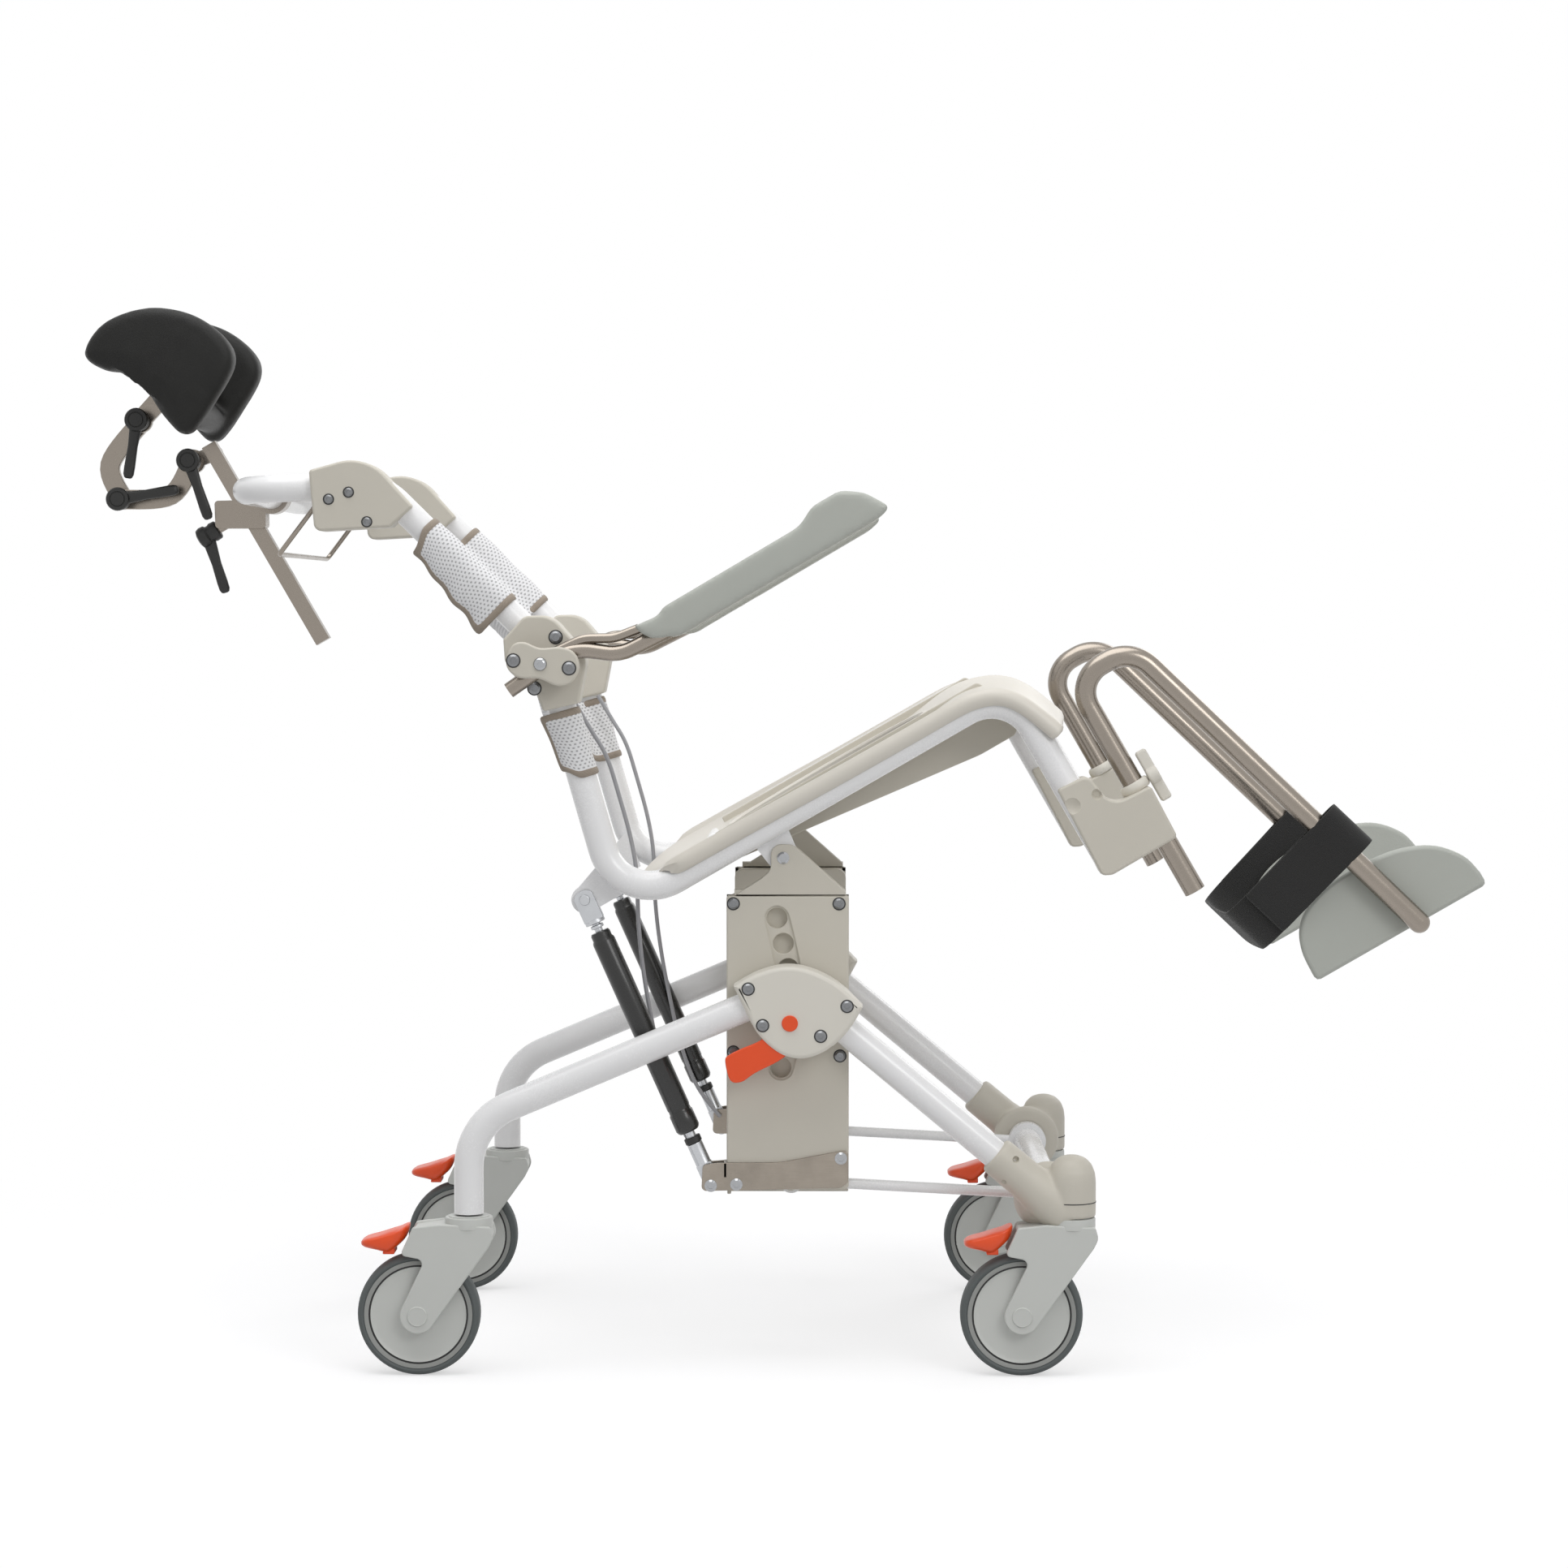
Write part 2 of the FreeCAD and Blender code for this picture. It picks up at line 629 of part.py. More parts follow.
def caster_wheel():
    half = WHEEL_WIDTH / 2 - RIM_INSET
    boss_half = LEG_FACE - GAP
    disc = cross_rod(-TRAIL, WHEEL_R, RIM_R, -half, half)
    dish = cross_rod(-TRAIL, WHEEL_R, RIM_R - RIM_LIP, half - RIM_DISH, half)
    boss = cross_rod(-TRAIL, WHEEL_R, HUB_BOSS_R, -boss_half, boss_half)
    bore = cross_rod(-TRAIL, WHEEL_R, AXLE_R + FIT, -boss_half, boss_half)
    return cut(fuse(cut(disc, dish, mirror(dish)), boss), bore)


def caster_tyre():
    half = WHEEL_WIDTH / 2
    ring = cross_rod(-TRAIL, WHEEL_R, WHEEL_R, -half, half)
    ring = ring.makeFillet(TYRE_ROUND, [edge for edge in ring.Edges if edge.Curve.TypeId == "Part::GeomCircle"])
    return ring.cut(cross_rod(-TRAIL, WHEEL_R, RIM_R, -half, half))


def brake_pedal():
    pedal_x, pedal_z = PEDAL_PIVOT
    barrel_half = LEG_FACE - GAP
    tip_x = pedal_x - PEDAL_REACH
    tip_z = pedal_z - PEDAL_DROP
    slope = (PEDAL_DROP + PEDAL_BARREL_R) / PEDAL_REACH
    tip = [(tip_x, tip_z, 3), (tip_x + 2, tip_z - PEDAL_EDGE, 3)]
    arm = slab([(pedal_x, pedal_z + PEDAL_BARREL_R), *tip, (pedal_x, pedal_z - PEDAL_BARREL_R)],
               -barrel_half, barrel_half)
    paddle_z = tip_z + PADDLE * slope
    paddle = slab([(tip_x + PADDLE, paddle_z), *tip, (tip_x + PADDLE, paddle_z - PEDAL_EDGE)],
                  -PEDAL_HALF_WIDTH, PEDAL_HALF_WIDTH)
    barrel = cross_rod(pedal_x, pedal_z, PEDAL_BARREL_R, -barrel_half, barrel_half)
    bore = cross_rod(pedal_x, pedal_z, PEDAL_PIN_R + FIT, -barrel_half, barrel_half)
    return fuse(barrel, arm, paddle).cut(bore)


CASTER_PLACES = {"rear_right": (REAR_STEM_X, -HALF_TRACK), "rear_left": (REAR_STEM_X, HALF_TRACK),
                 "front_right": (FRONT_STEM_X, -HALF_TRACK), "front_left": (FRONT_STEM_X, HALF_TRACK)}


def casters():
    pieces = {"caster_fork": caster_fork(), "caster_wheel": caster_wheel(), "caster_tyre": caster_tyre(),
              "brake_pedal": brake_pedal()}
    found = {}
    for place, (x, y) in CASTER_PLACES.items():
        for piece, shape in pieces.items():
            found[piece + "_" + place] = placed(shape, Placement(Vector(x, y, 0), Rotation()))
    return found


# Lift: link rods, towers, seat pivot brackets and spring straps
def link_rods():
    low = LINK_Y - EYE_HALF
    high = LINK_Y + EYE_HALF
    bar = rod(Vector(CROSS_X, LINK_Y, CROSS_Z), Vector(LIFT_X, LINK_Y, LIFT_Z), LINK_R)
    eyes = [cross_rod(CROSS_X, CROSS_Z, FRONT_EYE_R, low, high), cross_rod(LIFT_X, LIFT_Z, REAR_EYE_R, low, high)]
    bores = [cross_rod(CROSS_X, CROSS_Z, FRAME_R + FIT, low, high),
             cross_rod(LIFT_X, LIFT_Z, LIFT_PIN_R + FIT, low, high)]
    return pair(cut(fuse(bar, *eyes), *bores))


def tower_tray(foot_z, low, high, cavity_low, cavity_high):
    """Open tray with a closed top and back, and a front wall that leaves room for the link rod."""
    rear = TOWER_REAR_X + TOWER_WALL
    front = TOWER_FRONT_X - TOWER_WALL
    top = TOWER_TOP_Z - TOWER_WALL
    shell = slab([(TOWER_REAR_X, foot_z), (TOWER_FRONT_X, foot_z), (TOWER_FRONT_X, TOWER_TOP_Z, TOWER_ROUND),
                  (TOWER_REAR_X, TOWER_TOP_Z, TOWER_ROUND)], low, high)
    inner_round = TOWER_ROUND - TOWER_WALL
    cavity = slab([(rear, foot_z), (front, foot_z), (front, top, inner_round), (rear, top, inner_round)],
                  cavity_low, cavity_high)
    doorway = box(front, TOWER_FRONT_X, cavity_low, cavity_high, foot_z, LINK_SLOT_TOP_Z)
    return cut(shell, cavity, doorway)


def groove_point(rise, side=0.0):
    """Point of the lock groove at a height over the pin, in the tower at rest."""
    arm = Vector(LIFT_X - CROSS_X, 0, LIFT_Z - CROSS_Z)
    centre = Vector(LOCK_X, 0, LOCK_Z) + arm
    swing = math.asin((rise - arm.z) / arm.Length)
    return centre + Vector(math.cos(swing), 0, math.sin(swing)) * (arm.Length + side)


def lock_groove():
    """Arc groove that the lock pin runs in, as a face swept outwards."""
    low = -LOCK_PITCH * LOCK_HOLES_DOWN
    high = LOCK_PITCH * LOCK_HOLES_UP
    middle = (low + high) / 2
    sides = [Part.Arc(groove_point(low, side), groove_point(middle, side), groove_point(high, side))
             for side in (-GROOVE_HALF, GROOVE_HALF)]
    ends = [Part.LineSegment(groove_point(rise, -GROOVE_HALF), groove_point(rise, GROOVE_HALF))
            for rise in (low, high)]
    band = Part.Face(Part.Wire(Part.__sortEdges__([curve.toShape() for curve in sides + ends])))
    floor_y = TOWER_OUTER_Y - GROOVE_DEPTH
    band.translate(Vector(0, floor_y, 0))
    groove = band.extrude(Vector(0, GROOVE_DEPTH, 0))
    rounds = [cross_rod(groove_point(rise).x, groove_point(rise).z, GROOVE_HALF, floor_y, TOWER_OUTER_Y)
              for rise in (low, high)]
    holes = []
    for step in range(-LOCK_HOLES_DOWN, LOCK_HOLES_UP + 1):
        spot = groove_point(step * LOCK_PITCH)
        holes.append(cross_rod(spot.x, spot.z, LOCK_HOLE_R, TOWER_OUTER_Y - TOWER_WALL, TOWER_OUTER_Y))
    return groove, rounds + holes


def tower_outer_panels():
    tray = tower_tray(TOWER_FOOT_Z, TOWER_SPLIT_Y, TOWER_OUTER_Y, TOWER_SPLIT_Y, TOWER_OUTER_Y - TOWER_WALL)
    groove, holes = lock_groove()
    return pair(cut(tray, groove, *holes))


def tower_inner_panels():
    """Inner panel of each tower with the hollow pin that its link rod turns on."""
    tray = tower_tray(TOWER_INNER_FOOT_Z, TOWER_INNER_Y, TOWER_SPLIT_Y, TOWER_INNER_Y + TOWER_WALL, TOWER_SPLIT_Y)
    pin = cross_rod(LIFT_X, LIFT_Z, LIFT_PIN_R, TOWER_INNER_Y, LIFT_PIN_END_Y)
    bore = cross_rod(LIFT_X, LIFT_Z, LIFT_PIN_R - WALL, TOWER_INNER_Y, LIFT_PIN_END_Y)
    return pair(cut(fuse(pin, tray), bore))


CHEEK_OUTER_Y = TAB_OUTER_Y + CHEEK_SIDE_GAP


def tower_top_brackets():
    """Forked bracket on the tower, with two cheeks either side of the seat frame's tab."""
    foot_top = TOWER_TOP_Z + LUG_FOOT
    cheek = [(LUG_REAR_X, TOWER_TOP_Z), (LUG_FRONT_X, TOWER_TOP_Z), (LUG_FRONT_X, foot_top),
             (PIVOT_X + LUG_R, PIVOT_Z), (PIVOT_X - LUG_R, PIVOT_Z),
             (LUG_REAR_X + LUG_HOLLOW, foot_top + LUG_FOOT, LUG_HOLLOW), (LUG_REAR_X, foot_top)]
    levels = [(CHEEK_INNER_Y, CHEEK_INNER_Y + CHEEK_T), (CHEEK_OUTER_Y, CHEEK_OUTER_Y + CHEEK_T)]
    plates = [slab(cheek, low, high) for low, high in levels]
    lugs = [cross_rod(PIVOT_X, PIVOT_Z, LUG_R, low, high) for low, high in levels]
    foot = box(LUG_REAR_X, LUG_FRONT_X, CHEEK_INNER_Y, CHEEK_OUTER_Y + CHEEK_T, TOWER_TOP_Z, foot_top)
    bore = cross_rod(PIVOT_X, PIVOT_Z, PIVOT_BOLT_R + FIT, CHEEK_INNER_Y, CHEEK_OUTER_Y + CHEEK_T)
    return pair(fuse(foot, *plates, *lugs).cut(bore))


STRAP_INNER_Y = TOWER_SPLIT_Y
STRAP_OUTER_Y = TOWER_OUTER_Y + STRAP_T


def spring_straps():
    """Bent strap on the tower: outer plate, rear web and inner ear, drilled for the spring pin."""
    ear = [(STRAP_BACK_X, STRAP_FOOT_Z, STRAP_ROUND), (TOWER_REAR_X, STRAP_FOOT_Z), (TOWER_REAR_X, STRAP_TOP_Z),
           (STRAP_BACK_X, STRAP_TOP_Z - STRAP_ROUND / 2, STRAP_ROUND)]
    front = STRAP_ROUND / 2
    outer = slab([ear[0], (STRAP_FRONT_X, STRAP_FOOT_Z, front), (STRAP_FRONT_X, STRAP_TOP_Z, front), ear[3]],
                 TOWER_OUTER_Y, STRAP_OUTER_Y)
    inner = slab(ear, STRAP_INNER_Y, STRAP_INNER_Y + STRAP_T)
    web_z = SPRING_FOOT_Z + STRAP_WEB_UP
    web = box(TOWER_REAR_X - STRAP_T, TOWER_REAR_X, STRAP_INNER_Y, STRAP_OUTER_Y, web_z, STRAP_TOP_Z)
    bore = cross_rod(SPRING_FOOT_X, SPRING_FOOT_Z, SPRING_PIN_R + FIT, STRAP_INNER_Y, STRAP_OUTER_Y)
    return pair(fuse(outer, inner, web).cut(bore))


def tower_screws():
    """Panel and strap screws, and the pivot bolts of the seat and the spring feet."""
    panel_heads = [head(x, z, TOWER_OUTER_Y) for x, z in TOWER_SCREWS]
    strap_screws_x = (STRAP_FRONT_X - STRAP_SCREW_IN, TOWER_REAR_X + STRAP_SCREW_IN)
    strap_heads = [head(x, STRAP_TOP_Z - STRAP_SCREW_DOWN, STRAP_OUTER_Y) for x in strap_screws_x]
    cheek_face = CHEEK_OUTER_Y + CHEEK_T
    tilt_bolt = fuse(cross_rod(PIVOT_X, PIVOT_Z, PIVOT_BOLT_R, CHEEK_INNER_Y, cheek_face),
                     head(PIVOT_X, PIVOT_Z, cheek_face, PIVOT_HEAD_R))
    spring_pin = fuse(cross_rod(SPRING_FOOT_X, SPRING_FOOT_Z, SPRING_PIN_R, STRAP_INNER_Y, STRAP_OUTER_Y),
                      head(SPRING_FOOT_X, SPRING_FOOT_Z, STRAP_OUTER_Y))
    return pair(*panel_heads, *strap_heads, tilt_bolt, spring_pin)


# Gas springs, built upwards from the foot pivot and leaned to the head pivot
SPRING_FOOT = Vector(SPRING_FOOT_X, SPRING_Y, SPRING_FOOT_Z)
SPRING_HEAD = SEAT.multVec(Vector(SPRING_HEAD_A, SPRING_Y, SPRING_HEAD_B))
SPRING_LINE = SPRING_HEAD - SPRING_FOOT
SPRING_LEAN = math.degrees(math.atan2(SPRING_LINE.x, SPRING_LINE.z))
SPRING_PLACE = Placement(SPRING_FOOT, Rotation(Vector(0, 1, 0), SPRING_LEAN))


def upright(radius, low, high):
    return Part.makeCylinder(radius, high - low, Vector(0, 0, low))


def gas_rods():
    """Piston rod with the fork that turns on the strap's pin."""
    reach = FORK_REACH + FORK_CHEEK
    side = [(-FORK_HALF, -FORK_HALF, 6), (FORK_HALF, -FORK_HALF, 6), (FORK_HALF, reach), (-FORK_HALF, reach)]
    cheeks = [slab(side, FORK_HALF - FORK_CHEEK, FORK_HALF), slab(side, -FORK_HALF, FORK_CHEEK - FORK_HALF)]
    neck = upright(FORK_HALF, FORK_REACH, FORK_LENGTH)
    bore = cross_rod(0, 0, SPRING_PIN_R + FIT, -FORK_HALF, FORK_HALF)
    piece = fuse(upright(SPRING_ROD_R, FORK_REACH, SPRING_ROD_END), neck, *cheeks).cut(bore)
    return pair(placed(piece, SPRING_PLACE))


def gas_cylinders():
    """Cylinder with its forked head and pin at the seat frame's spring tab."""
    length = SPRING_LINE.Length
    barrel_end = length - CYLINDER_HEAD
    barrel = upright(CYLINDER_R, CYLINDER_START, barrel_end)
    bore = upright(SPRING_ROD_R + FIT, CYLINDER_START, barrel_end - CYLINDER_R)
    inner = TAB_OUTER_Y - SPRING_Y + HEAD_SIDE_GAP
    outer = inner + FORK_CHEEK
    root = length - HEAD_REACH - FORK_CHEEK
    side = [(-HEAD_R, root), (HEAD_R, root), (HEAD_R, length + HEAD_R, HEAD_ROUND),
            (-HEAD_R, length + HEAD_R, HEAD_ROUND)]
    cheeks = [slab(side, inner, outer), slab(side, -outer, -inner)]
    neck = upright(HEAD_R, barrel_end, length - HEAD_REACH)
    pin = cross_rod(0, length, SPRING_PIN_R, -outer, outer)
    return pair(placed(fuse(barrel.cut(bore), neck, pin, *cheeks), SPRING_PLACE))


# Seat and back
POST_LEAN = Vector(ELBOW_A - REAR_A, 0, ELBOW_B - RAIL_B).normalize()
BACK_LEAN = Vector(SHOULDER_A - ELBOW_A, 0, SHOULDER_B - ELBOW_B).normalize()
ELBOW_POINT = Vector(ELBOW_A, RAIL_Y, ELBOW_B)


def rail_bar(radius):
    """Centre-line bar of one seat rail with its rear post and front leg."""
    top = ELBOW_POINT + POST_LEAN * ((POST_TOP_B - ELBOW_B) / POST_LEAN.z)
    route = [top] + at([(REAR_A, RAIL_B), (FRONT_A, RAIL_B), (FRONT_A, POST_FOOT_B)], RAIL_Y)
    return pipe(route, [RAIL_BEND, RAIL_BEND], radius)


def back_bar(radius):
    """Centre-line bar of the back frame, up one side, across the push bar and down the other."""
    foot = ELBOW_POINT + BACK_LEAN * ((BACK_FOOT_B - ELBOW_B) / BACK_LEAN.z)
    near = [foot, Vector(SHOULDER_A, RAIL_Y, SHOULDER_B), Vector(PUSH_A, RAIL_Y, PUSH_B)]
    far = [Vector(point.x, -point.y, point.z) for point in reversed(near)]
    return pipe(near + far, [SHOULDER_BEND, PUSH_BEND, PUSH_BEND, SHOULDER_BEND], radius)


def seat_tabs():
    """Pivot tab and spring tab, welded to the inner flank of the rail."""
    weld = RAIL_B + FRAME_R / 2
    wide = TAB_R + TAB_FLARE
    pivot = slab([(-TAB_R, 0), (TAB_R, 0), (wide, weld), (-wide, weld)], TAB_INNER_Y, TAB_OUTER_Y)
    pivot_round = cross_rod(0, 0, TAB_R, TAB_INNER_Y, TAB_OUTER_Y)
    post_a = REAR_A + FRAME_R / 2
    low = SPRING_HEAD_B - SPRING_TAB_R
    high = SPRING_HEAD_B + SPRING_TAB_R
    corners = [(SPRING_HEAD_A, low), (post_a, low), (post_a + FRAME_R / 2, high + FRAME_R), (SPRING_HEAD_A, high)]
    spring = slab(corners, TAB_INNER_Y, TAB_OUTER_Y)
    spring_round = cross_rod(SPRING_HEAD_A, SPRING_HEAD_B, SPRING_TAB_R, TAB_INNER_Y, TAB_OUTER_Y)
    return [pivot, pivot_round, spring, spring_round]


def seat_frame():
    rail = rail_bar(FRAME_R)
    bore = rail_bar(FRAME_R - WALL)
    tabs = seat_tabs()
    crosses = [cross_rod(a, RAIL_B, SEAT_CROSS_R, -RAIL_Y, RAIL_Y) for a in SEAT_CROSS_A]
    cross_bores = [cross_rod(a, RAIL_B, SEAT_CROSS_R - WALL, -RAIL_Y, RAIL_Y) for a in SEAT_CROSS_A]
    holes = [cross_rod(0, 0, PIVOT_BOLT_R + FIT, TAB_INNER_Y, TAB_OUTER_Y),
             cross_rod(SPRING_HEAD_A, SPRING_HEAD_B, SPRING_PIN_R + HEAD_PLAY, TAB_INNER_Y, TAB_OUTER_Y)]
    frame = fuse(rail, mirror(rail), *crosses, *tabs, *[mirror(tab) for tab in tabs])
    return cut(frame, bore, mirror(bore), *cross_bores, *holes, *[mirror(hole) for hole in holes])


def back_frame():
    return back_bar(BACK_R).cut(back_bar(BACK_R - WALL))


SHELL_TOP_B = RAIL_B + FRAME_R + GAP + SHELL_T
SHELL_FRONT_A = FRONT_A + FRAME_R + GAP + SHELL_T
SHELL_HALF = RAIL_Y + FRAME_R + GAP + SHELL_T
SHELL_NOSE_R = RAIL_BEND + FRAME_R + GAP + SHELL_T
SKIRT_OVER = 2.0


def shell_band(inset, depth):
    """Band under the seat's top and nose, from one depth below the surface to another."""
    top = SHELL_TOP_B - inset
    front = SHELL_FRONT_A - inset
    centre_a = SHELL_FRONT_A - SHELL_NOSE_R
    centre_b = SHELL_TOP_B - SHELL_NOSE_R
    half = math.sqrt(0.5)
    outer = SHELL_NOSE_R - inset
    inner = SHELL_NOSE_R - depth
    rear = SHELL_REAR_A - SHELL_T
    nose = SHELL_NOSE_B - inset
    width = SHELL_HALF + SHELL_T

    def spot(a, b):
        return Vector(a, -width, b)

    edges = [Part.LineSegment(spot(rear, SHELL_TOP_B - depth), spot(rear, top)),
             Part.LineSegment(spot(rear, top), spot(centre_a, top)),
             Part.Arc(spot(centre_a, top), spot(centre_a + outer * half, centre_b + outer * half),
                      spot(front, centre_b)),
             Part.LineSegment(spot(front, centre_b), spot(front, nose)),
             Part.LineSegment(spot(front, nose), spot(SHELL_FRONT_A - depth, nose)),
             Part.LineSegment(spot(SHELL_FRONT_A - depth, nose), spot(SHELL_FRONT_A - depth, centre_b)),
             Part.Arc(spot(SHELL_FRONT_A - depth, centre_b),
                      spot(centre_a + inner * half, centre_b + inner * half), spot(centre_a, SHELL_TOP_B - depth)),
             Part.LineSegment(spot(centre_a, SHELL_TOP_B - depth), spot(rear, SHELL_TOP_B - depth))]
    face = Part.Face(Part.Wire([edge.toShape() for edge in edges]))
    return face.extrude(Vector(0, 2 * width, 0))


def shell_plan(inset):
    """Plan of the seat with its rounded rear corners, as a tall block."""
    rear = SHELL_REAR_A + inset
    half = SHELL_HALF - inset
    front = SHELL_FRONT_A + SHELL_T
    corner = SHELL_CORNER - inset
    return plan([(rear, -half, corner), (front, -half), (front, half), (rear, half, corner)],
                -SHELL_FRONT_A, SHELL_FRONT_A)


def hole_bar(grow, low, high):
    """Oval column of the commode opening."""
    oval = Part.Ellipse(Vector(HOLE_A, 0, low), HOLE_HALF_A + grow, HOLE_HALF_Y + grow)
    return Part.Face(Part.Wire(oval.toShape())).extrude(Vector(0, 0, high - low))


def seat_shell():
    """Thin seat with a side band, a rounded nose and a skirt round the commode opening."""
    outer = shell_band(0, SHELL_BAND).common(shell_plan(0))
    inner = shell_band(SHELL_T, SHELL_BAND * 2).common(shell_plan(SHELL_T))
    skin = outer.cut(inner)
    lowest = SKIRT_FRONT_B - SHELL_BAND
    skirt = hole_bar(SHELL_T, lowest, SHELL_TOP_B - SHELL_T / 2)
    rear = HOLE_A - HOLE_HALF_A - SHELL_T
    front = HOLE_A + HOLE_HALF_A + SHELL_T
    below = slab([(rear - SKIRT_OVER, SKIRT_REAR_B), (front + SKIRT_OVER, SKIRT_FRONT_B),
                  (front + SKIRT_OVER, lowest - SKIRT_OVER), (rear - SKIRT_OVER, lowest - SKIRT_OVER)],
                 -SHELL_HALF, SHELL_HALF)
    pan_wall = slab(PAN_WALL_OUTLINE, PAN_WALL_Y, PAN_WALL_Y + SHELL_T)
    rooms = [cross_rod(a, RAIL_B, SEAT_CROSS_R + GAP, -SHELL_HALF, SHELL_HALF) for a in SEAT_CROSS_A]
    rear_end = box(SHELL_REAR_A - SHELL_T, HOLE_A, 0, SHELL_HALF * 2, 0, SHELL_TOP_B - SHELL_T)
    rail_room = rail_bar(FRAME_R + GAP / 2).common(rear_end)
    shell = fuse(skin, skirt.cut(below), pan_wall, mirror(pan_wall))
    hole = hole_bar(0, lowest - SKIRT_OVER, SHELL_TOP_B + SKIRT_OVER)
    return cut(shell, hole, *rooms, rail_room, mirror(rail_room))


def elbow_clamps():
    """Elbow castings round the post and the back tube, each with its armrest pivot plate."""
    body = slab(ELBOW_OUTLINE, ELBOW_INNER_Y, ELBOW_OUTER_Y)
    body = cut(body, rail_bar(FRAME_R + SOCKET), back_bar(BACK_R + SOCKET))
    plate_y = ARM_Y + ARM_R + PIVOT_PLATE_GAP
    plate_end = plate_y + PIVOT_PLATE_T
    (first_a, first_b, first_r), (last_a, last_b, last_r) = LOBES
    plate = link_plate((first_a, first_b), (last_a, last_b), PIVOT_PLATE_HALF, plate_y, plate_end)
    lobes = [cross_rod(a, b, r, plate_y, plate_end) for a, b, r in LOBES]
    spacers = [cross_rod(a, b, SPACER_R, ELBOW_OUTER_Y, plate_y) for a, b, r in LOBES]
    pin = cross_rod(ARM_PIVOT_A, ARM_PIVOT_B, ARM_PIN_R, ELBOW_OUTER_Y, plate_y)
    return pair(body, fuse(plate, *lobes, *spacers, pin))


def arm_bar(grow):
    return pipe(at(ARM_ROUTE, ARM_Y), ARM_BENDS, ARM_R + grow)


def stay_bar(grow):
    return pipe(at(STAY_ROUTE, ARM_Y), STAY_BENDS, STAY_R + grow)


def armrest_tube():
    half = ARM_R + PIVOT_PLATE_GAP / 2
    barrel = cross_rod(ARM_PIVOT_A, ARM_PIVOT_B, ARM_R + 1, ARM_Y - half, ARM_Y + half)
    bore = cross_rod(ARM_PIVOT_A, ARM_PIVOT_B, ARM_PIN_R + FIT, ARM_Y - half, ARM_Y + half)
    return fuse(arm_bar(0).cut(arm_bar(-WALL)), barrel, stay_bar(0)).cut(bore)


def armrest_pad():
    return cut(slab(PAD_OUTLINE, PAD_INNER_Y, PAD_OUTER_Y), arm_bar(SOCKET), stay_bar(SOCKET))


def shoulder_covers():
    hole = cross_rod(BAIL_A, BAIL_B, BAIL_R + FIT, COVER_INNER_Y, COVER_INNER_Y + BAIL_SEAT + GAP)
    return pair(cut(slab(COVER_OUTLINE, COVER_INNER_Y, COVER_OUTER_Y), back_bar(BACK_R + SOCKET), hole))


def release_bail():
    """Wire bail across the back, turning in the shoulder covers."""
    reach_a = BAIL_A + BAIL_REACH_A
    reach_b = BAIL_B + BAIL_REACH_B
    near = [Vector(BAIL_A, COVER_INNER_Y + BAIL_SEAT, BAIL_B), Vector(BAIL_A, BAIL_Y, BAIL_B),
            Vector(reach_a, BAIL_Y, reach_b)]
    far = [Vector(point.x, -point.y, point.z) for point in reversed(near)]
    return pipe(near + far, [BAIL_BEND] * 4, BAIL_R)


def sling_strip(lean, low, high, half, sag):
    """Sagging strip of the sling between the tubes, along one straight part of the back."""
    rear = Vector(-lean.z, 0, lean.x)
    start = Vector(ELBOW_A, 0, ELBOW_B) + lean * low
    side = Vector(0, half, 0)
    front_arc = Part.Arc(start - side, start + rear * sag, start + side)
    shift = rear * SLING_T
    rear_arc = Part.Arc(start + side + shift, start + rear * sag + shift, start - side + shift)
    edges = [front_arc.toShape(), Part.LineSegment(start + side, start + side + shift).toShape(),
             rear_arc.toShape(), Part.LineSegment(start - side + shift, start - side).toShape()]
    return Part.Face(Part.Wire(edges)).extrude(lean * (high - low))


def sling_wrap(lean, low, high, tube_r):
    """Sleeve of the sling round one back tube."""
    start = ELBOW_POINT + lean * low
    end = ELBOW_POINT + lean * high
    return rod(start, end, tube_r + GAP + SLING_T).cut(rod(start, end, tube_r + GAP))


def back_sling():
    lower_foot, lower_top = SLING_LOWER
    upper_foot, upper_top = SLING_UPPER
    wide = RAIL_Y - FRAME_R - GAP * 2
    strips = [sling_strip(POST_LEAN, lower_foot, lower_top, wide, SLING_SAG),
              sling_strip(POST_LEAN, lower_top, 0, SLING_FLAT_Y, SLING_SAG),
              sling_strip(BACK_LEAN, 0, upper_foot, SLING_FLAT_Y, SLING_SAG),
              sling_strip(BACK_LEAN, upper_foot, upper_top, wide, SLING_SAG)]
    wraps = [sling_wrap(POST_LEAN, lower_foot, lower_top, FRAME_R),
             sling_wrap(BACK_LEAN, upper_foot, upper_top, BACK_R)]
    return fuse(*strips, *wraps, *[mirror(wrap) for wrap in wraps])


def release_cables():
    """Cables from the elbows down to the spring feet, with every bend as wide as its runs allow."""
    points = at(CABLE_ROUTE, STRAP_INNER_Y - GAP - CABLE_R)
    bends = []
    for before, corner, after in zip(points, points[1:], points[2:]):
        half_turn = (corner - before).getAngle(after - corner) / 2
        shorter = min((corner - before).Length, (after - corner).Length)
        bends.append(0.45 * shorter / math.tan(half_turn))
    print("cable bend radii:", [round(bend) for bend in bends])
    return pair(pipe(points, bends, CABLE_R))


def seat_screws():
    elbow_heads = [head(a, b, ELBOW_OUTER_Y) for a, b in ELBOW_SCREWS]
    plate_face = ARM_Y + ARM_R + PIVOT_PLATE_GAP + PIVOT_PLATE_T
    plate_heads = [head(a, b, plate_face) for a, b, r in LOBES]
    cover_heads = [head(a, b, COVER_OUTER_Y) for a, b in COVER_SCREWS]
    leg_heads = [head(a, b, LEG_BRACKET_OUTER_Y) for a, b in LEG_SCREWS]
    return pair(*elbow_heads, *plate_heads, *cover_heads, *leg_heads)


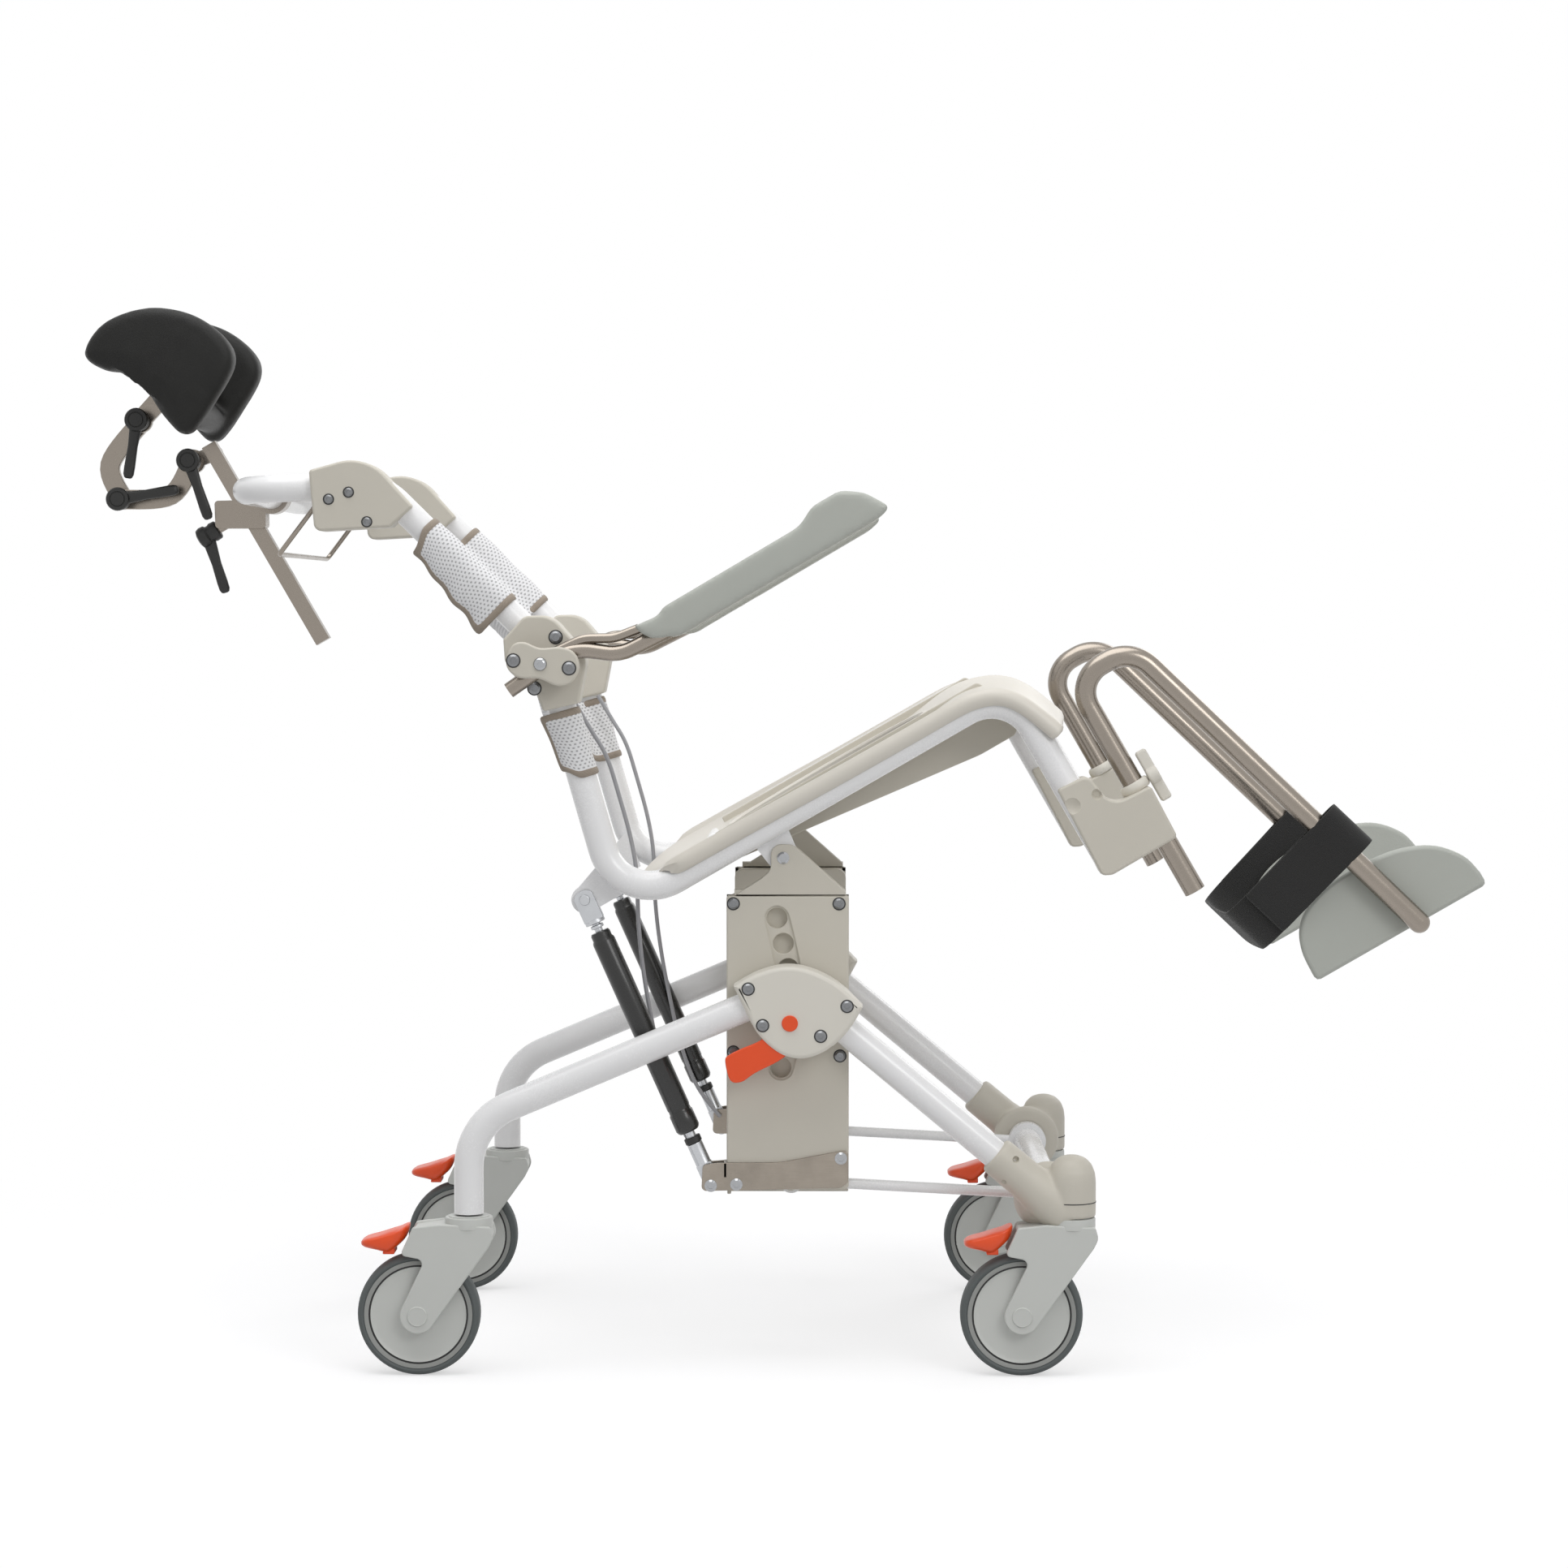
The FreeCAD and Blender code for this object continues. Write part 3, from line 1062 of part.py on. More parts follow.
# Head support, in two layers of flat links side by side
FRONT_LAYER = (-LINK_T / 2, LINK_T / 2)
BACK_LAYER = (LINK_T / 2 + GAP, LINK_T * 1.5 + GAP)
LEVER_LAYER = (-LINK_T / 2 - LEVER_GAP - LEVER_HUB_T, -LINK_T / 2 - LEVER_GAP)


def joint_pin(joint):
    """Pin through both layers and the lever hub."""
    return cross_rod(*joint, JOINT_PIN_R, LEVER_LAYER[0], BACK_LAYER[1])


def joint_bore(joint):
    return cross_rod(*joint, JOINT_PIN_R + FIT, LEVER_LAYER[0] - LINK_T, BACK_LAYER[1] + LINK_T)


def crescent(start, end, layer, bow):
    """Bowed link with a round boss at each end."""
    ends = [cross_rod(*joint, JOINT_R, *layer) for joint in (start, end)]
    return fuse(link_plate(start, end, LINK_HALF, *layer, bow), *ends)


def joint_lever(joint, tip):
    """Clamp lever on a joint pin: a round hub and a flat arm on its outer side."""
    low, high = LEVER_LAYER
    hub = cross_rod(*joint, LEVER_HUB_R, low, high)
    arm = link_plate(joint, tip, LEVER_ARM_HALF, low, low + LEVER_ARM_T)
    return fuse(hub, arm).cut(joint_bore(joint))


def headrest_bar():
    """Square bar with the plate that carries the first joint."""
    low, high = HEAD_BAR_B
    bar = box(HEAD_BAR_A - HEAD_BAR_HALF, HEAD_BAR_A + HEAD_BAR_HALF, -HEAD_BAR_HALF, HEAD_BAR_HALF, low, high)
    plate = link_plate((HEAD_BAR_A, BAR_JOINT[1] - HEAD_BAR_HALF / 2), BAR_JOINT, HEAD_BAR_HALF, *BACK_LAYER)
    boss = cross_rod(*BAR_JOINT, JOINT_R, *BACK_LAYER)
    return fuse(bar, plate, boss, joint_pin(BAR_JOINT))


def headrest_lower_link():
    link = crescent(BAR_JOINT, MIDDLE_JOINT, FRONT_LAYER, LINK_BOW).cut(joint_bore(BAR_JOINT))
    return fuse(link, joint_pin(MIDDLE_JOINT))


def headrest_upper_link():
    link = crescent(MIDDLE_JOINT, PAD_JOINT, BACK_LAYER, -LINK_BOW).cut(joint_bore(MIDDLE_JOINT))
    return fuse(link, joint_pin(PAD_JOINT))


def pad_back_points():
    """Ends of the flat stretch at the back of the head pad."""
    lower = Vector(HEAD_PAD_OUTLINE[-2][0], 0, HEAD_PAD_OUTLINE[-2][1])
    upper = Vector(HEAD_PAD_OUTLINE[-1][0], 0, HEAD_PAD_OUTLINE[-1][1])
    return lower, upper


def head_pad_bracket():
    """Flat arm from the last joint to a plate at the back of the pad."""
    lower, upper = pad_back_points()
    along = (upper - lower).normalize()
    rear = Vector(-along.z, 0, along.x)
    middle = (lower + upper) * 0.5 + rear * GAP
    half = along * HEAD_PLATE_REACH
    back = rear * HEAD_PLATE_T
    corners = [middle - half, middle + half, middle + half + back, middle - half + back]
    plate = slab([(corner.x, corner.z) for corner in corners], -HEAD_PLATE_HALF, HEAD_PLATE_HALF)
    root = middle + rear * (HEAD_PLATE_T / 2)
    arm = slab([(PAD_JOINT[0], PAD_JOINT[1] + LINK_HALF), (PAD_JOINT[0], PAD_JOINT[1] - LINK_HALF),
                (root.x, root.z - LINK_HALF), (root.x, root.z + LINK_HALF)], *FRONT_LAYER)
    boss = cross_rod(*PAD_JOINT, JOINT_R, *FRONT_LAYER)
    return fuse(plate, arm, boss).cut(joint_bore(PAD_JOINT))


def headrest_pad():
    """Cradle pad with two forward wings, and the bracket at its back."""
    block = slab(HEAD_PAD_OUTLINE, -HEAD_PAD_HALF, HEAD_PAD_HALF)
    lower, upper = pad_back_points()
    reach = 2 * HEAD_PAD_HALF
    along = (upper - lower).normalize() * reach
    front = Vector(HEAD_PAD_BACK, 0, 0)
    first = lower + front - along
    last = upper + front + along
    beyond = 2 * reach
    hollow = slab([(first.x, first.z), (last.x, last.z), (last.x + beyond, last.z), (first.x + beyond, first.z)],
                  HEAD_PAD_T - HEAD_PAD_HALF, HEAD_PAD_HALF - HEAD_PAD_T)
    return solids(block.cut(hollow), head_pad_bracket())


def headrest_clamp():
    """Clamp on the push bar that holds the square bar, with the stud of its lever."""
    block = slab(CLAMP_BLOCK, -CLAMP_HALF, CLAMP_HALF)
    ring = cross_rod(PUSH_A, PUSH_B, BACK_R + CLAMP_RING, -CLAMP_HALF, CLAMP_HALF)
    stud_a, stud_b = CLAMP_LEVER
    stud = rod(Vector(stud_a + CLAMP_STUD_IN, 0, stud_b), Vector(stud_a - CLAMP_HUB_OUT, 0, stud_b), CLAMP_STUD_R)
    half = HEAD_BAR_HALF + FIT
    low, high = HEAD_BAR_B
    passage = box(HEAD_BAR_A - half, HEAD_BAR_A + half, -half, half, low, high)
    push_room = cross_rod(PUSH_A, PUSH_B, BACK_R + SOCKET, -CLAMP_HALF, CLAMP_HALF)
    return cut(fuse(block, ring, stud), passage, push_room)


def bar_clamp_lever():
    """Lever that turns on the clamp's stud, hanging down at rest."""
    stud_a, stud_b = CLAMP_LEVER
    front = Vector(stud_a + CLAMP_HUB_IN, 0, stud_b)
    rear = Vector(stud_a - CLAMP_HUB_OUT, 0, stud_b)
    hub = rod(front, rear, CLAMP_HUB_R)
    arm = box(rear.x, rear.x + LEVER_ARM_T, -LEVER_ARM_HALF, LEVER_ARM_HALF, stud_b - CLAMP_LEVER_LENGTH, stud_b)
    bore = rod(front, rear, CLAMP_STUD_R + FIT)
    return fuse(hub, arm).cut(bore)


# Leg rests
BRACKET_TOP_B = LEG_BRACKET[4][1]
COLLAR_B = BRACKET_TOP_B + GAP
WING_B = COLLAR_B + COLLAR_T / 2
WING_FACE_A = HANGER_A + COLLAR_R + BOSS_OUT


def hanger_bar(radius):
    """Centre-line bar of one hanger: up, forward over a hook and down to the footplate."""
    corners = [(HANGER_A, HANGER_FOOT_B), (HANGER_A, HANGER_TOP_B), (HANGER_TURN_A, HANGER_TOP_B), HANGER_END]
    return pipe(at(corners, HANGER_Y), [HANGER_BEND, HANGER_BEND], radius)


def leg_rest_brackets():
    body = slab(LEG_BRACKET, LEG_BRACKET_INNER_Y, LEG_BRACKET_OUTER_Y)
    passage = Part.makeCylinder(HANGER_R + FIT, -HANGER_FOOT_B, Vector(HANGER_A, HANGER_Y, HANGER_FOOT_B))
    return pair(cut(body, rail_bar(FRAME_R + SOCKET), passage))


def leg_rest_tubes():
    """Hanger tubes, each with its hinge block and pin for the footplate and its stop collar."""
    tube = hanger_bar(HANGER_R).cut(hanger_bar(HANGER_R - WALL))
    end_a, end_b = HANGER_END
    low_a = end_a - FOOT_BLOCK / 2
    pin_start = Vector(low_a - FOOT_KNUCKLE, FOOT_HINGE_Y, FOOT_HINGE_B)
    pin = rod(pin_start, pin_start + Vector(FOOT_BLOCK + 2 * FOOT_KNUCKLE, 0, 0), FOOT_HINGE_R)
    eye_start = Vector(low_a, FOOT_HINGE_Y, FOOT_HINGE_B)
    eye = rod(eye_start, eye_start + Vector(FOOT_BLOCK, 0, 0), FOOT_KNUCKLE_R)
    block = box(low_a, low_a + FOOT_BLOCK, FOOT_HINGE_Y, HANGER_Y + HANGER_R, FOOT_HINGE_B - FOOT_KNUCKLE_R,
                FOOT_HINGE_B + FOOT_KNUCKLE_R)
    hanger = fuse(tube, block, eye, pin)
    collar = Part.makeCylinder(COLLAR_R, COLLAR_T, Vector(HANGER_A, HANGER_Y, COLLAR_B))
    bore = Part.makeCylinder(HANGER_R + SOCKET, COLLAR_T, Vector(HANGER_A, HANGER_Y, COLLAR_B))
    boss = rod(Vector(HANGER_A, HANGER_Y, WING_B), Vector(WING_FACE_A - GAP, HANGER_Y, WING_B), BOSS_R)
    stud_bore = rod(Vector(HANGER_A, HANGER_Y, WING_B), Vector(WING_FACE_A, HANGER_Y, WING_B), WING_STUD_R + FIT)
    return pair(hanger, cut(fuse(collar, boss), bore, stud_bore))


def wing_screw():
    """Wing knob on a stud that bears on the hanger tube."""
    start = Vector(HANGER_A + HANGER_R + GAP, HANGER_Y, WING_B)
    stud = rod(start, Vector(WING_FACE_A + WING_T, HANGER_Y, WING_B), WING_STUD_R)
    hub = rod(Vector(WING_FACE_A, HANGER_Y, WING_B), Vector(WING_FACE_A + WING_T, HANGER_Y, WING_B), WING_ROOT_R)
    end_a = WING_FACE_A + WING_T
    low_b = WING_B - WING_HALF
    high_b = WING_B + WING_HALF
    wings = slab([(WING_FACE_A, low_b, WING_ROUND), (end_a, low_b, WING_ROUND), (end_a, high_b, WING_ROUND),
                  (WING_FACE_A, high_b, WING_ROUND)], HANGER_Y - WING_Y, HANGER_Y + WING_Y)
    return fuse(stud, hub, wings)


def footplate():
    """Half-oval plate, folded up, with two knuckles on the hinge pin."""
    low, high = FOOT_A
    edge_b = FOOT_HINGE_B + FOOT_EDGE
    y = FOOT_HINGE_Y - FOOT_T / 2
    middle = Vector((low + high) / 2, y, edge_b)
    oval = Part.Ellipse(Vector(high, y, edge_b), Vector(middle.x, y, FOOT_TOP_B), middle)
    arc = Part.ArcOfEllipse(oval, 0, math.pi).toShape()
    edge = Part.LineSegment(Vector(low, y, edge_b), Vector(high, y, edge_b)).toShape()
    plate = Part.Face(Part.Wire([arc, edge])).extrude(Vector(0, FOOT_T, 0))
    knuckles = []
    block_low = HANGER_END[0] - FOOT_BLOCK / 2
    length = FOOT_KNUCKLE - GAP
    for start_a in (block_low - FOOT_KNUCKLE, block_low + FOOT_BLOCK + GAP):
        start = Vector(start_a, FOOT_HINGE_Y, FOOT_HINGE_B)
        knuckles.append(rod(start, start + Vector(length, 0, 0), FOOT_KNUCKLE_R))
        knuckles.append(box(start_a, start_a + length, y, y + FOOT_T, FOOT_HINGE_B, edge_b + 1))
    bore_start = Vector(low, FOOT_HINGE_Y, FOOT_HINGE_B)
    bore = rod(bore_start, bore_start + Vector(high - low, 0, 0), FOOT_HINGE_R + FIT)
    return fuse(plate, *knuckles).cut(bore)


def calf_strap():
    """Webbing that hangs from one hanger back round the calves to the other."""
    rear = Vector(STRAP_REAR[0], 0, STRAP_REAR[1])
    line = Vector(STRAP_FRONT[0], 0, STRAP_FRONT[1]) - rear
    half = HANGER_Y - HANGER_R - GAP
    inner = half - STRAP_WEB_T
    end = line.Length
    outer_block = plan([(0, -half, STRAP_CORNER), (end, -half), (end, half), (0, half, STRAP_CORNER)],
                       -STRAP_WEB / 2, STRAP_WEB / 2)
    bend = STRAP_CORNER - STRAP_WEB_T
    inner_block = plan([(STRAP_WEB_T, -inner, bend), (end, -inner), (end, inner), (STRAP_WEB_T, inner, bend)],
                       -STRAP_WEB / 2, STRAP_WEB / 2)
    rise = math.degrees(math.atan2(line.z, line.x))
    return placed(outer_block.cut(inner_block), Placement(rear, Rotation(Vector(0, 1, 0), -rise)))


def chair():
    """Every node of the chair, in the working frame with the floor at Z = 0."""
    nodes = {"base_side_tubes": base_side_tubes(), "front_cross_tube": front_cross_tube(),
             "front_joint_housings": pair(front_casting()), "height_clamps": pair(height_clamp()),
             "base_screws": base_screws()}
    nodes.update(casters())
    nodes.update({"link_rods": link_rods(), "tower_outer_panels": tower_outer_panels(),
                  "tower_inner_panels": tower_inner_panels(), "tower_top_brackets": tower_top_brackets(),
                  "spring_straps": spring_straps(), "tower_screws": tower_screws(), "gas_rods": gas_rods(),
                  "gas_cylinders": gas_cylinders(), "release_cables": release_cables()})
    on_the_seat = {"seat_frame": seat_frame(), "back_frame": back_frame(), "seat_shell": seat_shell(),
                   "elbow_clamps": elbow_clamps(), "shoulder_covers": shoulder_covers(),
                   "release_bail": release_bail(), "back_sling": back_sling(), "seat_screws": seat_screws(),
                   "headrest_bar": headrest_bar(), "headrest_lower_link": headrest_lower_link(),
                   "headrest_upper_link": headrest_upper_link(), "headrest_pad": headrest_pad(),
                   "headrest_clamp": headrest_clamp(), "bar_clamp_lever": bar_clamp_lever(),
                   "lever_bar_joint": joint_lever(BAR_JOINT, BAR_LEVER_TIP),
                   "lever_middle_joint": joint_lever(MIDDLE_JOINT, MIDDLE_LEVER_TIP),
                   "lever_pad_joint": joint_lever(PAD_JOINT, PAD_LEVER_TIP),
                   "leg_rest_brackets": leg_rest_brackets(), "leg_rest_tubes": leg_rest_tubes(),
                   "calf_strap": calf_strap()}
    one_each_side = {"armrest_tube": armrest_tube(), "armrest_pad": armrest_pad(), "footplate": footplate(),
                     "wing_screw": wing_screw()}
    for name, shape in one_each_side.items():
        on_the_seat[name + "_left"] = shape
        on_the_seat[name + "_right"] = mirror(shape)
    nodes.update({name: on_seat(shape) for name, shape in on_the_seat.items()})
    lever = lock_lever()
    nodes.update({"lock_lever_left": lever, "lock_lever_right": mirror(lever)})
    return nodes


NODES = chair()
BOUNDS = Part.Compound(list(NODES.values())).BoundBox
# The origin is on the floor under the middle of the chair's length.
SHIFT_X = -BOUNDS.Center.x
TO_ORIGIN = Placement(Vector(SHIFT_X, 0, 0), Rotation())

os.makedirs("parts", exist_ok=True)
for node_name, node_shape in NODES.items():
    placed(node_shape, TO_ORIGIN).exportStep("parts/%s.step" % node_name)
print(len(NODES), "nodes, size", round(BOUNDS.XLength, 1), round(BOUNDS.YLength, 1), round(BOUNDS.ZLength, 1),
      "shift", round(SHIFT_X, 2))
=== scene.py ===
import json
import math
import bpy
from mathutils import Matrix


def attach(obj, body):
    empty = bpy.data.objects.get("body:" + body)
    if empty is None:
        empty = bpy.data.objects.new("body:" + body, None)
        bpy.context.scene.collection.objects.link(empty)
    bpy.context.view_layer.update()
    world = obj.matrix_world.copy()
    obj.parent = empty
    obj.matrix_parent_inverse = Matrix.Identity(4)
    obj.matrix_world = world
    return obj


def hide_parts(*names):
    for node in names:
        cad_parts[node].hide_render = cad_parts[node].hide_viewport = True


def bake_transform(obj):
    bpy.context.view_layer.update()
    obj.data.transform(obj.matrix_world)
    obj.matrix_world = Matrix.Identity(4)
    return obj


bl_info = {
    "name": "Tilting shower commode chair",
    "version": (1, 0, 0),
    "blender": (4, 5, 0),
    "location": "3D View > Sidebar > Shower chair",
    "description": "Dresses the packed frame of a tilting shower commode chair",
    "category": "Object",
}

import bmesh
import bpy
from bpy.props import FloatProperty, FloatVectorProperty, PointerProperty
from mathutils import Matrix, Vector

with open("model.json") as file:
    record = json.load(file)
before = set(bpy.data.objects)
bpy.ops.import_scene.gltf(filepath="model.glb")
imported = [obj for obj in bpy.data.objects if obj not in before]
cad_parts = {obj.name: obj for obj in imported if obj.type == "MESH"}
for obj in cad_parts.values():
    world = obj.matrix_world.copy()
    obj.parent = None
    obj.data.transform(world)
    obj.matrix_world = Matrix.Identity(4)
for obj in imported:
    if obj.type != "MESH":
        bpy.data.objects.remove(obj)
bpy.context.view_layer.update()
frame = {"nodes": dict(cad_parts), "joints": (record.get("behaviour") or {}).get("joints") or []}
NODES = frame["nodes"]
JOINTS = {joint["name"]: joint for joint in frame["joints"]}
MM = 0.001
SEAT_PIVOT = Vector(JOINTS["seat_tilt"]["pos_m"])
SEAT_LEAN = math.radians(30)
SEAT_FORWARD = Vector((math.cos(SEAT_LEAN), 0, math.sin(SEAT_LEAN)))
SEAT_UP = Vector((-math.sin(SEAT_LEAN), 0, math.cos(SEAT_LEAN)))
SIDE = Vector((0, 1, 0))
UP = Vector((0, 0, 1))
PIVOT_X = -33.1
SIDES = {"right": -1, "left": 1}
CASTERS = ("rear_right", "rear_left", "front_right", "front_left")
WELD = 0.00002
FLAT = math.radians(1.0)
SHARP = math.radians(35)
CREASE = math.radians(40)


def seat(a, y, b):
    """Point of the tilted seat: millimetres forward, sideways and up from its pivot."""
    return SEAT_PIVOT + SEAT_FORWARD * (a * MM) + SIDE * (y * MM) + SEAT_UP * (b * MM)


def srgb(red, green, blue):
    """Linear colour of an 8-bit screen colour."""
    return tuple((channel / 255) ** 2.2 for channel in (red, green, blue))


# Sizes and colours
def tint(name, description, default):
    return FloatVectorProperty(name=name, description=description, subtype="COLOR", size=3, min=0.0, max=1.0,
                               default=default)


def size(name, description, default):
    return FloatProperty(name=name, description=description, subtype="DISTANCE", unit="LENGTH", min=0.0,
                         precision=4, default=default)


class ChairColours(bpy.types.PropertyGroup):
    paint: tint("Paint", "White powder coat on the frame tubes", srgb(244, 244, 245))
    casting: tint("Casting", "Warm grey plastic of the castings and covers", srgb(205, 200, 188))
    tower: tint("Tower", "Warm grey plastic of the towers", srgb(207, 202, 190))
    clamp: tint("Clamp", "Pale plastic of the height clamps and knobs", srgb(224, 220, 210))
    seat: tint("Seat", "Pale plastic of the seat", srgb(219, 214, 204))
    pad: tint("Pad", "Grey skin of the arm pads and footplates", srgb(178, 181, 174))
    caster: tint("Caster", "Grey plastic of the casters", srgb(205, 207, 203))
    tyre: tint("Tyre", "Grey rubber of the tyres", srgb(92, 97, 97))
    orange: tint("Orange", "Orange of the levers and pedals", srgb(240, 80, 25))
    steel: tint("Steel", "Stainless tube", srgb(146, 138, 129))
    sheet: tint("Sheet steel", "Sheet steel of the spring straps", srgb(148, 140, 130))
    zinc: tint("Zinc", "Zinc plate of the screws and forks", srgb(190, 192, 195))
    black: tint("Black", "Black plastic, lacquer and cover", srgb(36, 36, 35))
    mesh: tint("Sling mesh", "White mesh of the back sling", srgb(238, 238, 240))
    binding: tint("Binding", "Taupe tape on the sling's edges", srgb(158, 146, 133))
    cable: tint("Cable", "Grey sheath of the cables", srgb(158, 158, 162))


class ChairSizes(bpy.types.PropertyGroup):
    edge: size("Edge", "Rounding on the edges of the castings", 0.0030)
    screw_radius: size("Screw radius", "Radius of a button head", 0.0055)
    screw_height: size("Screw height", "Height of a button head", 0.0025)
    socket_width: size("Socket width", "Width across the flats of a hexagon socket", 0.0050)
    socket_depth: size("Socket depth", "Depth of a hexagon socket", 0.0014)


# Materials
def add_node(tree, kind, inputs=None, **settings):
    """Add a shader or geometry node, with settings and inputs that are values or other nodes' outputs."""
    made = tree.nodes.new(kind)
    for key, value in settings.items():
        setattr(made, key, value)
    for key, value in (inputs or {}).items():
        if isinstance(value, bpy.types.NodeSocket):
            tree.links.new(value, made.inputs[key])
        else:
            made.inputs[key].default_value = value
    return made


def calc(tree, operation, *values):
    """Result of a sum with values or other nodes' outputs."""
    return add_node(tree, "ShaderNodeMath", dict(enumerate(values)), operation=operation).outputs[0]


def noise(tree, place, scale, detail, roughness=0.5):
    """Cloudy noise at a place."""
    return add_node(tree, "ShaderNodeTexNoise", {"Vector": place, "Scale": scale, "Detail": detail,
                                                 "Roughness": roughness}).outputs[0]


def dress(tree, shader, height, strength, depth, links, values):
    """Give a shader its relief, its linked inputs and its constant inputs."""
    bump = add_node(tree, "ShaderNodeBump", {"Strength": strength, "Distance": depth, "Height": height})
    tree.links.new(bump.outputs[0], shader.inputs["Normal"])
    for key, output in links.items():
        tree.links.new(output, shader.inputs[key])
    for key, value in values.items():
        shader.inputs[key].default_value = value


def start_material(name):
    """New material, with its node tree and its shader."""
    material = bpy.data.materials.new(name)
    material.use_nodes = True
    tree = material.node_tree
    return material, tree, tree.nodes["Principled BSDF"]


def place_texture(tree, stretch=(1, 1, 1), coordinates="Object"):
    """Texture coordinates of the piece itself, stretched along its axes."""
    where = add_node(tree, "ShaderNodeTexCoord")
    return add_node(tree, "ShaderNodeMapping", {"Vector": where.outputs[coordinates], "Scale": stretch}).outputs[0]


def blend_colours(tree, factor, first, second):
    """Colour that runs from one to the other with a factor."""
    mixed = add_node(tree, "ShaderNodeMix", {"Factor": factor}, data_type="RGBA")
    mixed.inputs[6].default_value = (*first, 1)
    mixed.inputs[7].default_value = (*second, 1)
    return mixed.outputs[2]


def span(tree, value, low, high, start=0.0, end=1.0):
    """Value mapped from one range to another."""
    return add_node(tree, "ShaderNodeMapRange", {"Value": value, "From Min": start, "From Max": end, "To Min": low,
                                                 "To Max": high}).outputs[0]


def shade(colour, factor):
    return tuple(min(1.0, channel * factor) for channel in colour)


def finish(name, colour, roughness, metallic=0.0, drift=0.05, patch=12.0, grain=1100.0, relief=0.12, depth=0.00015,
           stretch=(1, 1, 1), uneven=0.06, coat=0.0, specular=0.5):
    """Solid finish: slow drift of colour, uneven gloss and a fine grain in its surface."""
    material, tree, shader = start_material(name)
    slow = noise(tree, place_texture(tree), patch, 4.0, 0.6)
    fine = noise(tree, place_texture(tree, stretch), grain, 3.0, 0.55)
    tone = blend_colours(tree, slow, shade(colour, 1 - drift), shade(colour, 1 + drift))
    gloss = span(tree, calc(tree, "MULTIPLY", slow, fine), roughness - uneven, roughness + uneven, 0.1, 0.4)
    dress(tree, shader, fine, relief, depth, {"Base Color": tone, "Roughness": gloss},
          {"Metallic": metallic, "Coat Weight": coat, "Specular IOR Level": specular})
    return material


def grained_cover(name, colour):
    """Black skin of the head pad, with a pebbled grain."""
    material, tree, shader = start_material(name)
    place = place_texture(tree)
    pebble = add_node(tree, "ShaderNodeTexVoronoi", {"Vector": place, "Scale": 620.0, "Randomness": 1.0},
                      feature="SMOOTH_F1").outputs["Distance"]
    height = calc(tree, "ADD", pebble, noise(tree, place, 2200.0, 2.0))
    tone = blend_colours(tree, noise(tree, place, 60.0, 3.0), shade(colour, 0.8), shade(colour, 1.35))
    dress(tree, shader, height, 0.35, 0.0004, {"Base Color": tone, "Roughness": span(tree, pebble, 0.52, 0.38)},
          {"Specular IOR Level": 0.22})
    return material


def woven(name, colour, ribs, picks, contrast=0.35):
    """Tape or webbing: ribs along U and picks along V, in lines for each metre of the UV map."""
    material, tree, shader = start_material(name)
    split = add_node(tree, "ShaderNodeSeparateXYZ", {"Vector": place_texture(tree, coordinates="UV")})

    def ripple(value, count):
        wave = calc(tree, "SINE", calc(tree, "MULTIPLY", value, count * math.tau))
        return span(tree, wave, 0.0, 1.0, -1.0, 1.0)

    across = ripple(split.outputs[1], ribs)
    along = ripple(split.outputs[0], picks)
    cloth = calc(tree, "MULTIPLY_ADD", calc(tree, "MULTIPLY", across, along), 0.6, across)
    height = calc(tree, "ADD", cloth, noise(tree, place_texture(tree), 900.0, 4.0))
    # Colour follows the weave's height and fine noise: ribs painted lighter and the dips between them darker, painted
    # highlight and shade
    tone = blend_colours(tree, span(tree, height, 0.0, 1.0, 0.2, 2.0), shade(colour, 1 - contrast),
                         shade(colour, 1 + contrast))
    dress(tree, shader, height, 0.6, 0.0003, {"Base Color": tone}, {"Roughness": 0.85, "Sheen Weight": 0.15})
    return material


def open_mesh(name, colour, pitch_u, pitch_v):
    """White knitted mesh: rows of oval gaps, set off by half a step from row to row, over the UV map in metres. The
    gaps are painted darker, as painted shade seen through the knit.
    """
    material, tree, shader = start_material(name)
    split = add_node(tree, "ShaderNodeSeparateXYZ", {"Vector": place_texture(tree, coordinates="UV")})
    row = calc(tree, "DIVIDE", split.outputs[1], pitch_v)
    offset = calc(tree, "MULTIPLY", calc(tree, "FLOOR", row), 0.5)
    column = calc(tree, "MULTIPLY_ADD", split.outputs[0], 1 / pitch_u, offset)
    x, y = [calc(tree, "SUBTRACT", calc(tree, "FRACT", value), 0.5) for value in (column, row)]
    spot = add_node(tree, "ShaderNodeCombineXYZ", {"X": x, "Y": y})
    reach = add_node(tree, "ShaderNodeVectorMath", {0: spot.outputs[0]}, operation="LENGTH").outputs["Value"]
    ragged = calc(tree, "MULTIPLY_ADD", noise(tree, place_texture(tree), 700.0, 3.0), 0.22, reach)
    yarn = add_node(tree, "ShaderNodeMapRange", {"Value": ragged, "From Min": 0.24, "From Max": 0.46},
                    interpolation_type="SMOOTHSTEP").outputs[0]
    # The gaps get about half the white: painted shade in the openings
    tone = blend_colours(tree, yarn, shade(colour, 0.52), colour)
    dress(tree, shader, yarn, 0.7, 0.0007, {"Base Color": tone}, {"Roughness": 0.8, "Sheen Weight": 0.2})
    return material


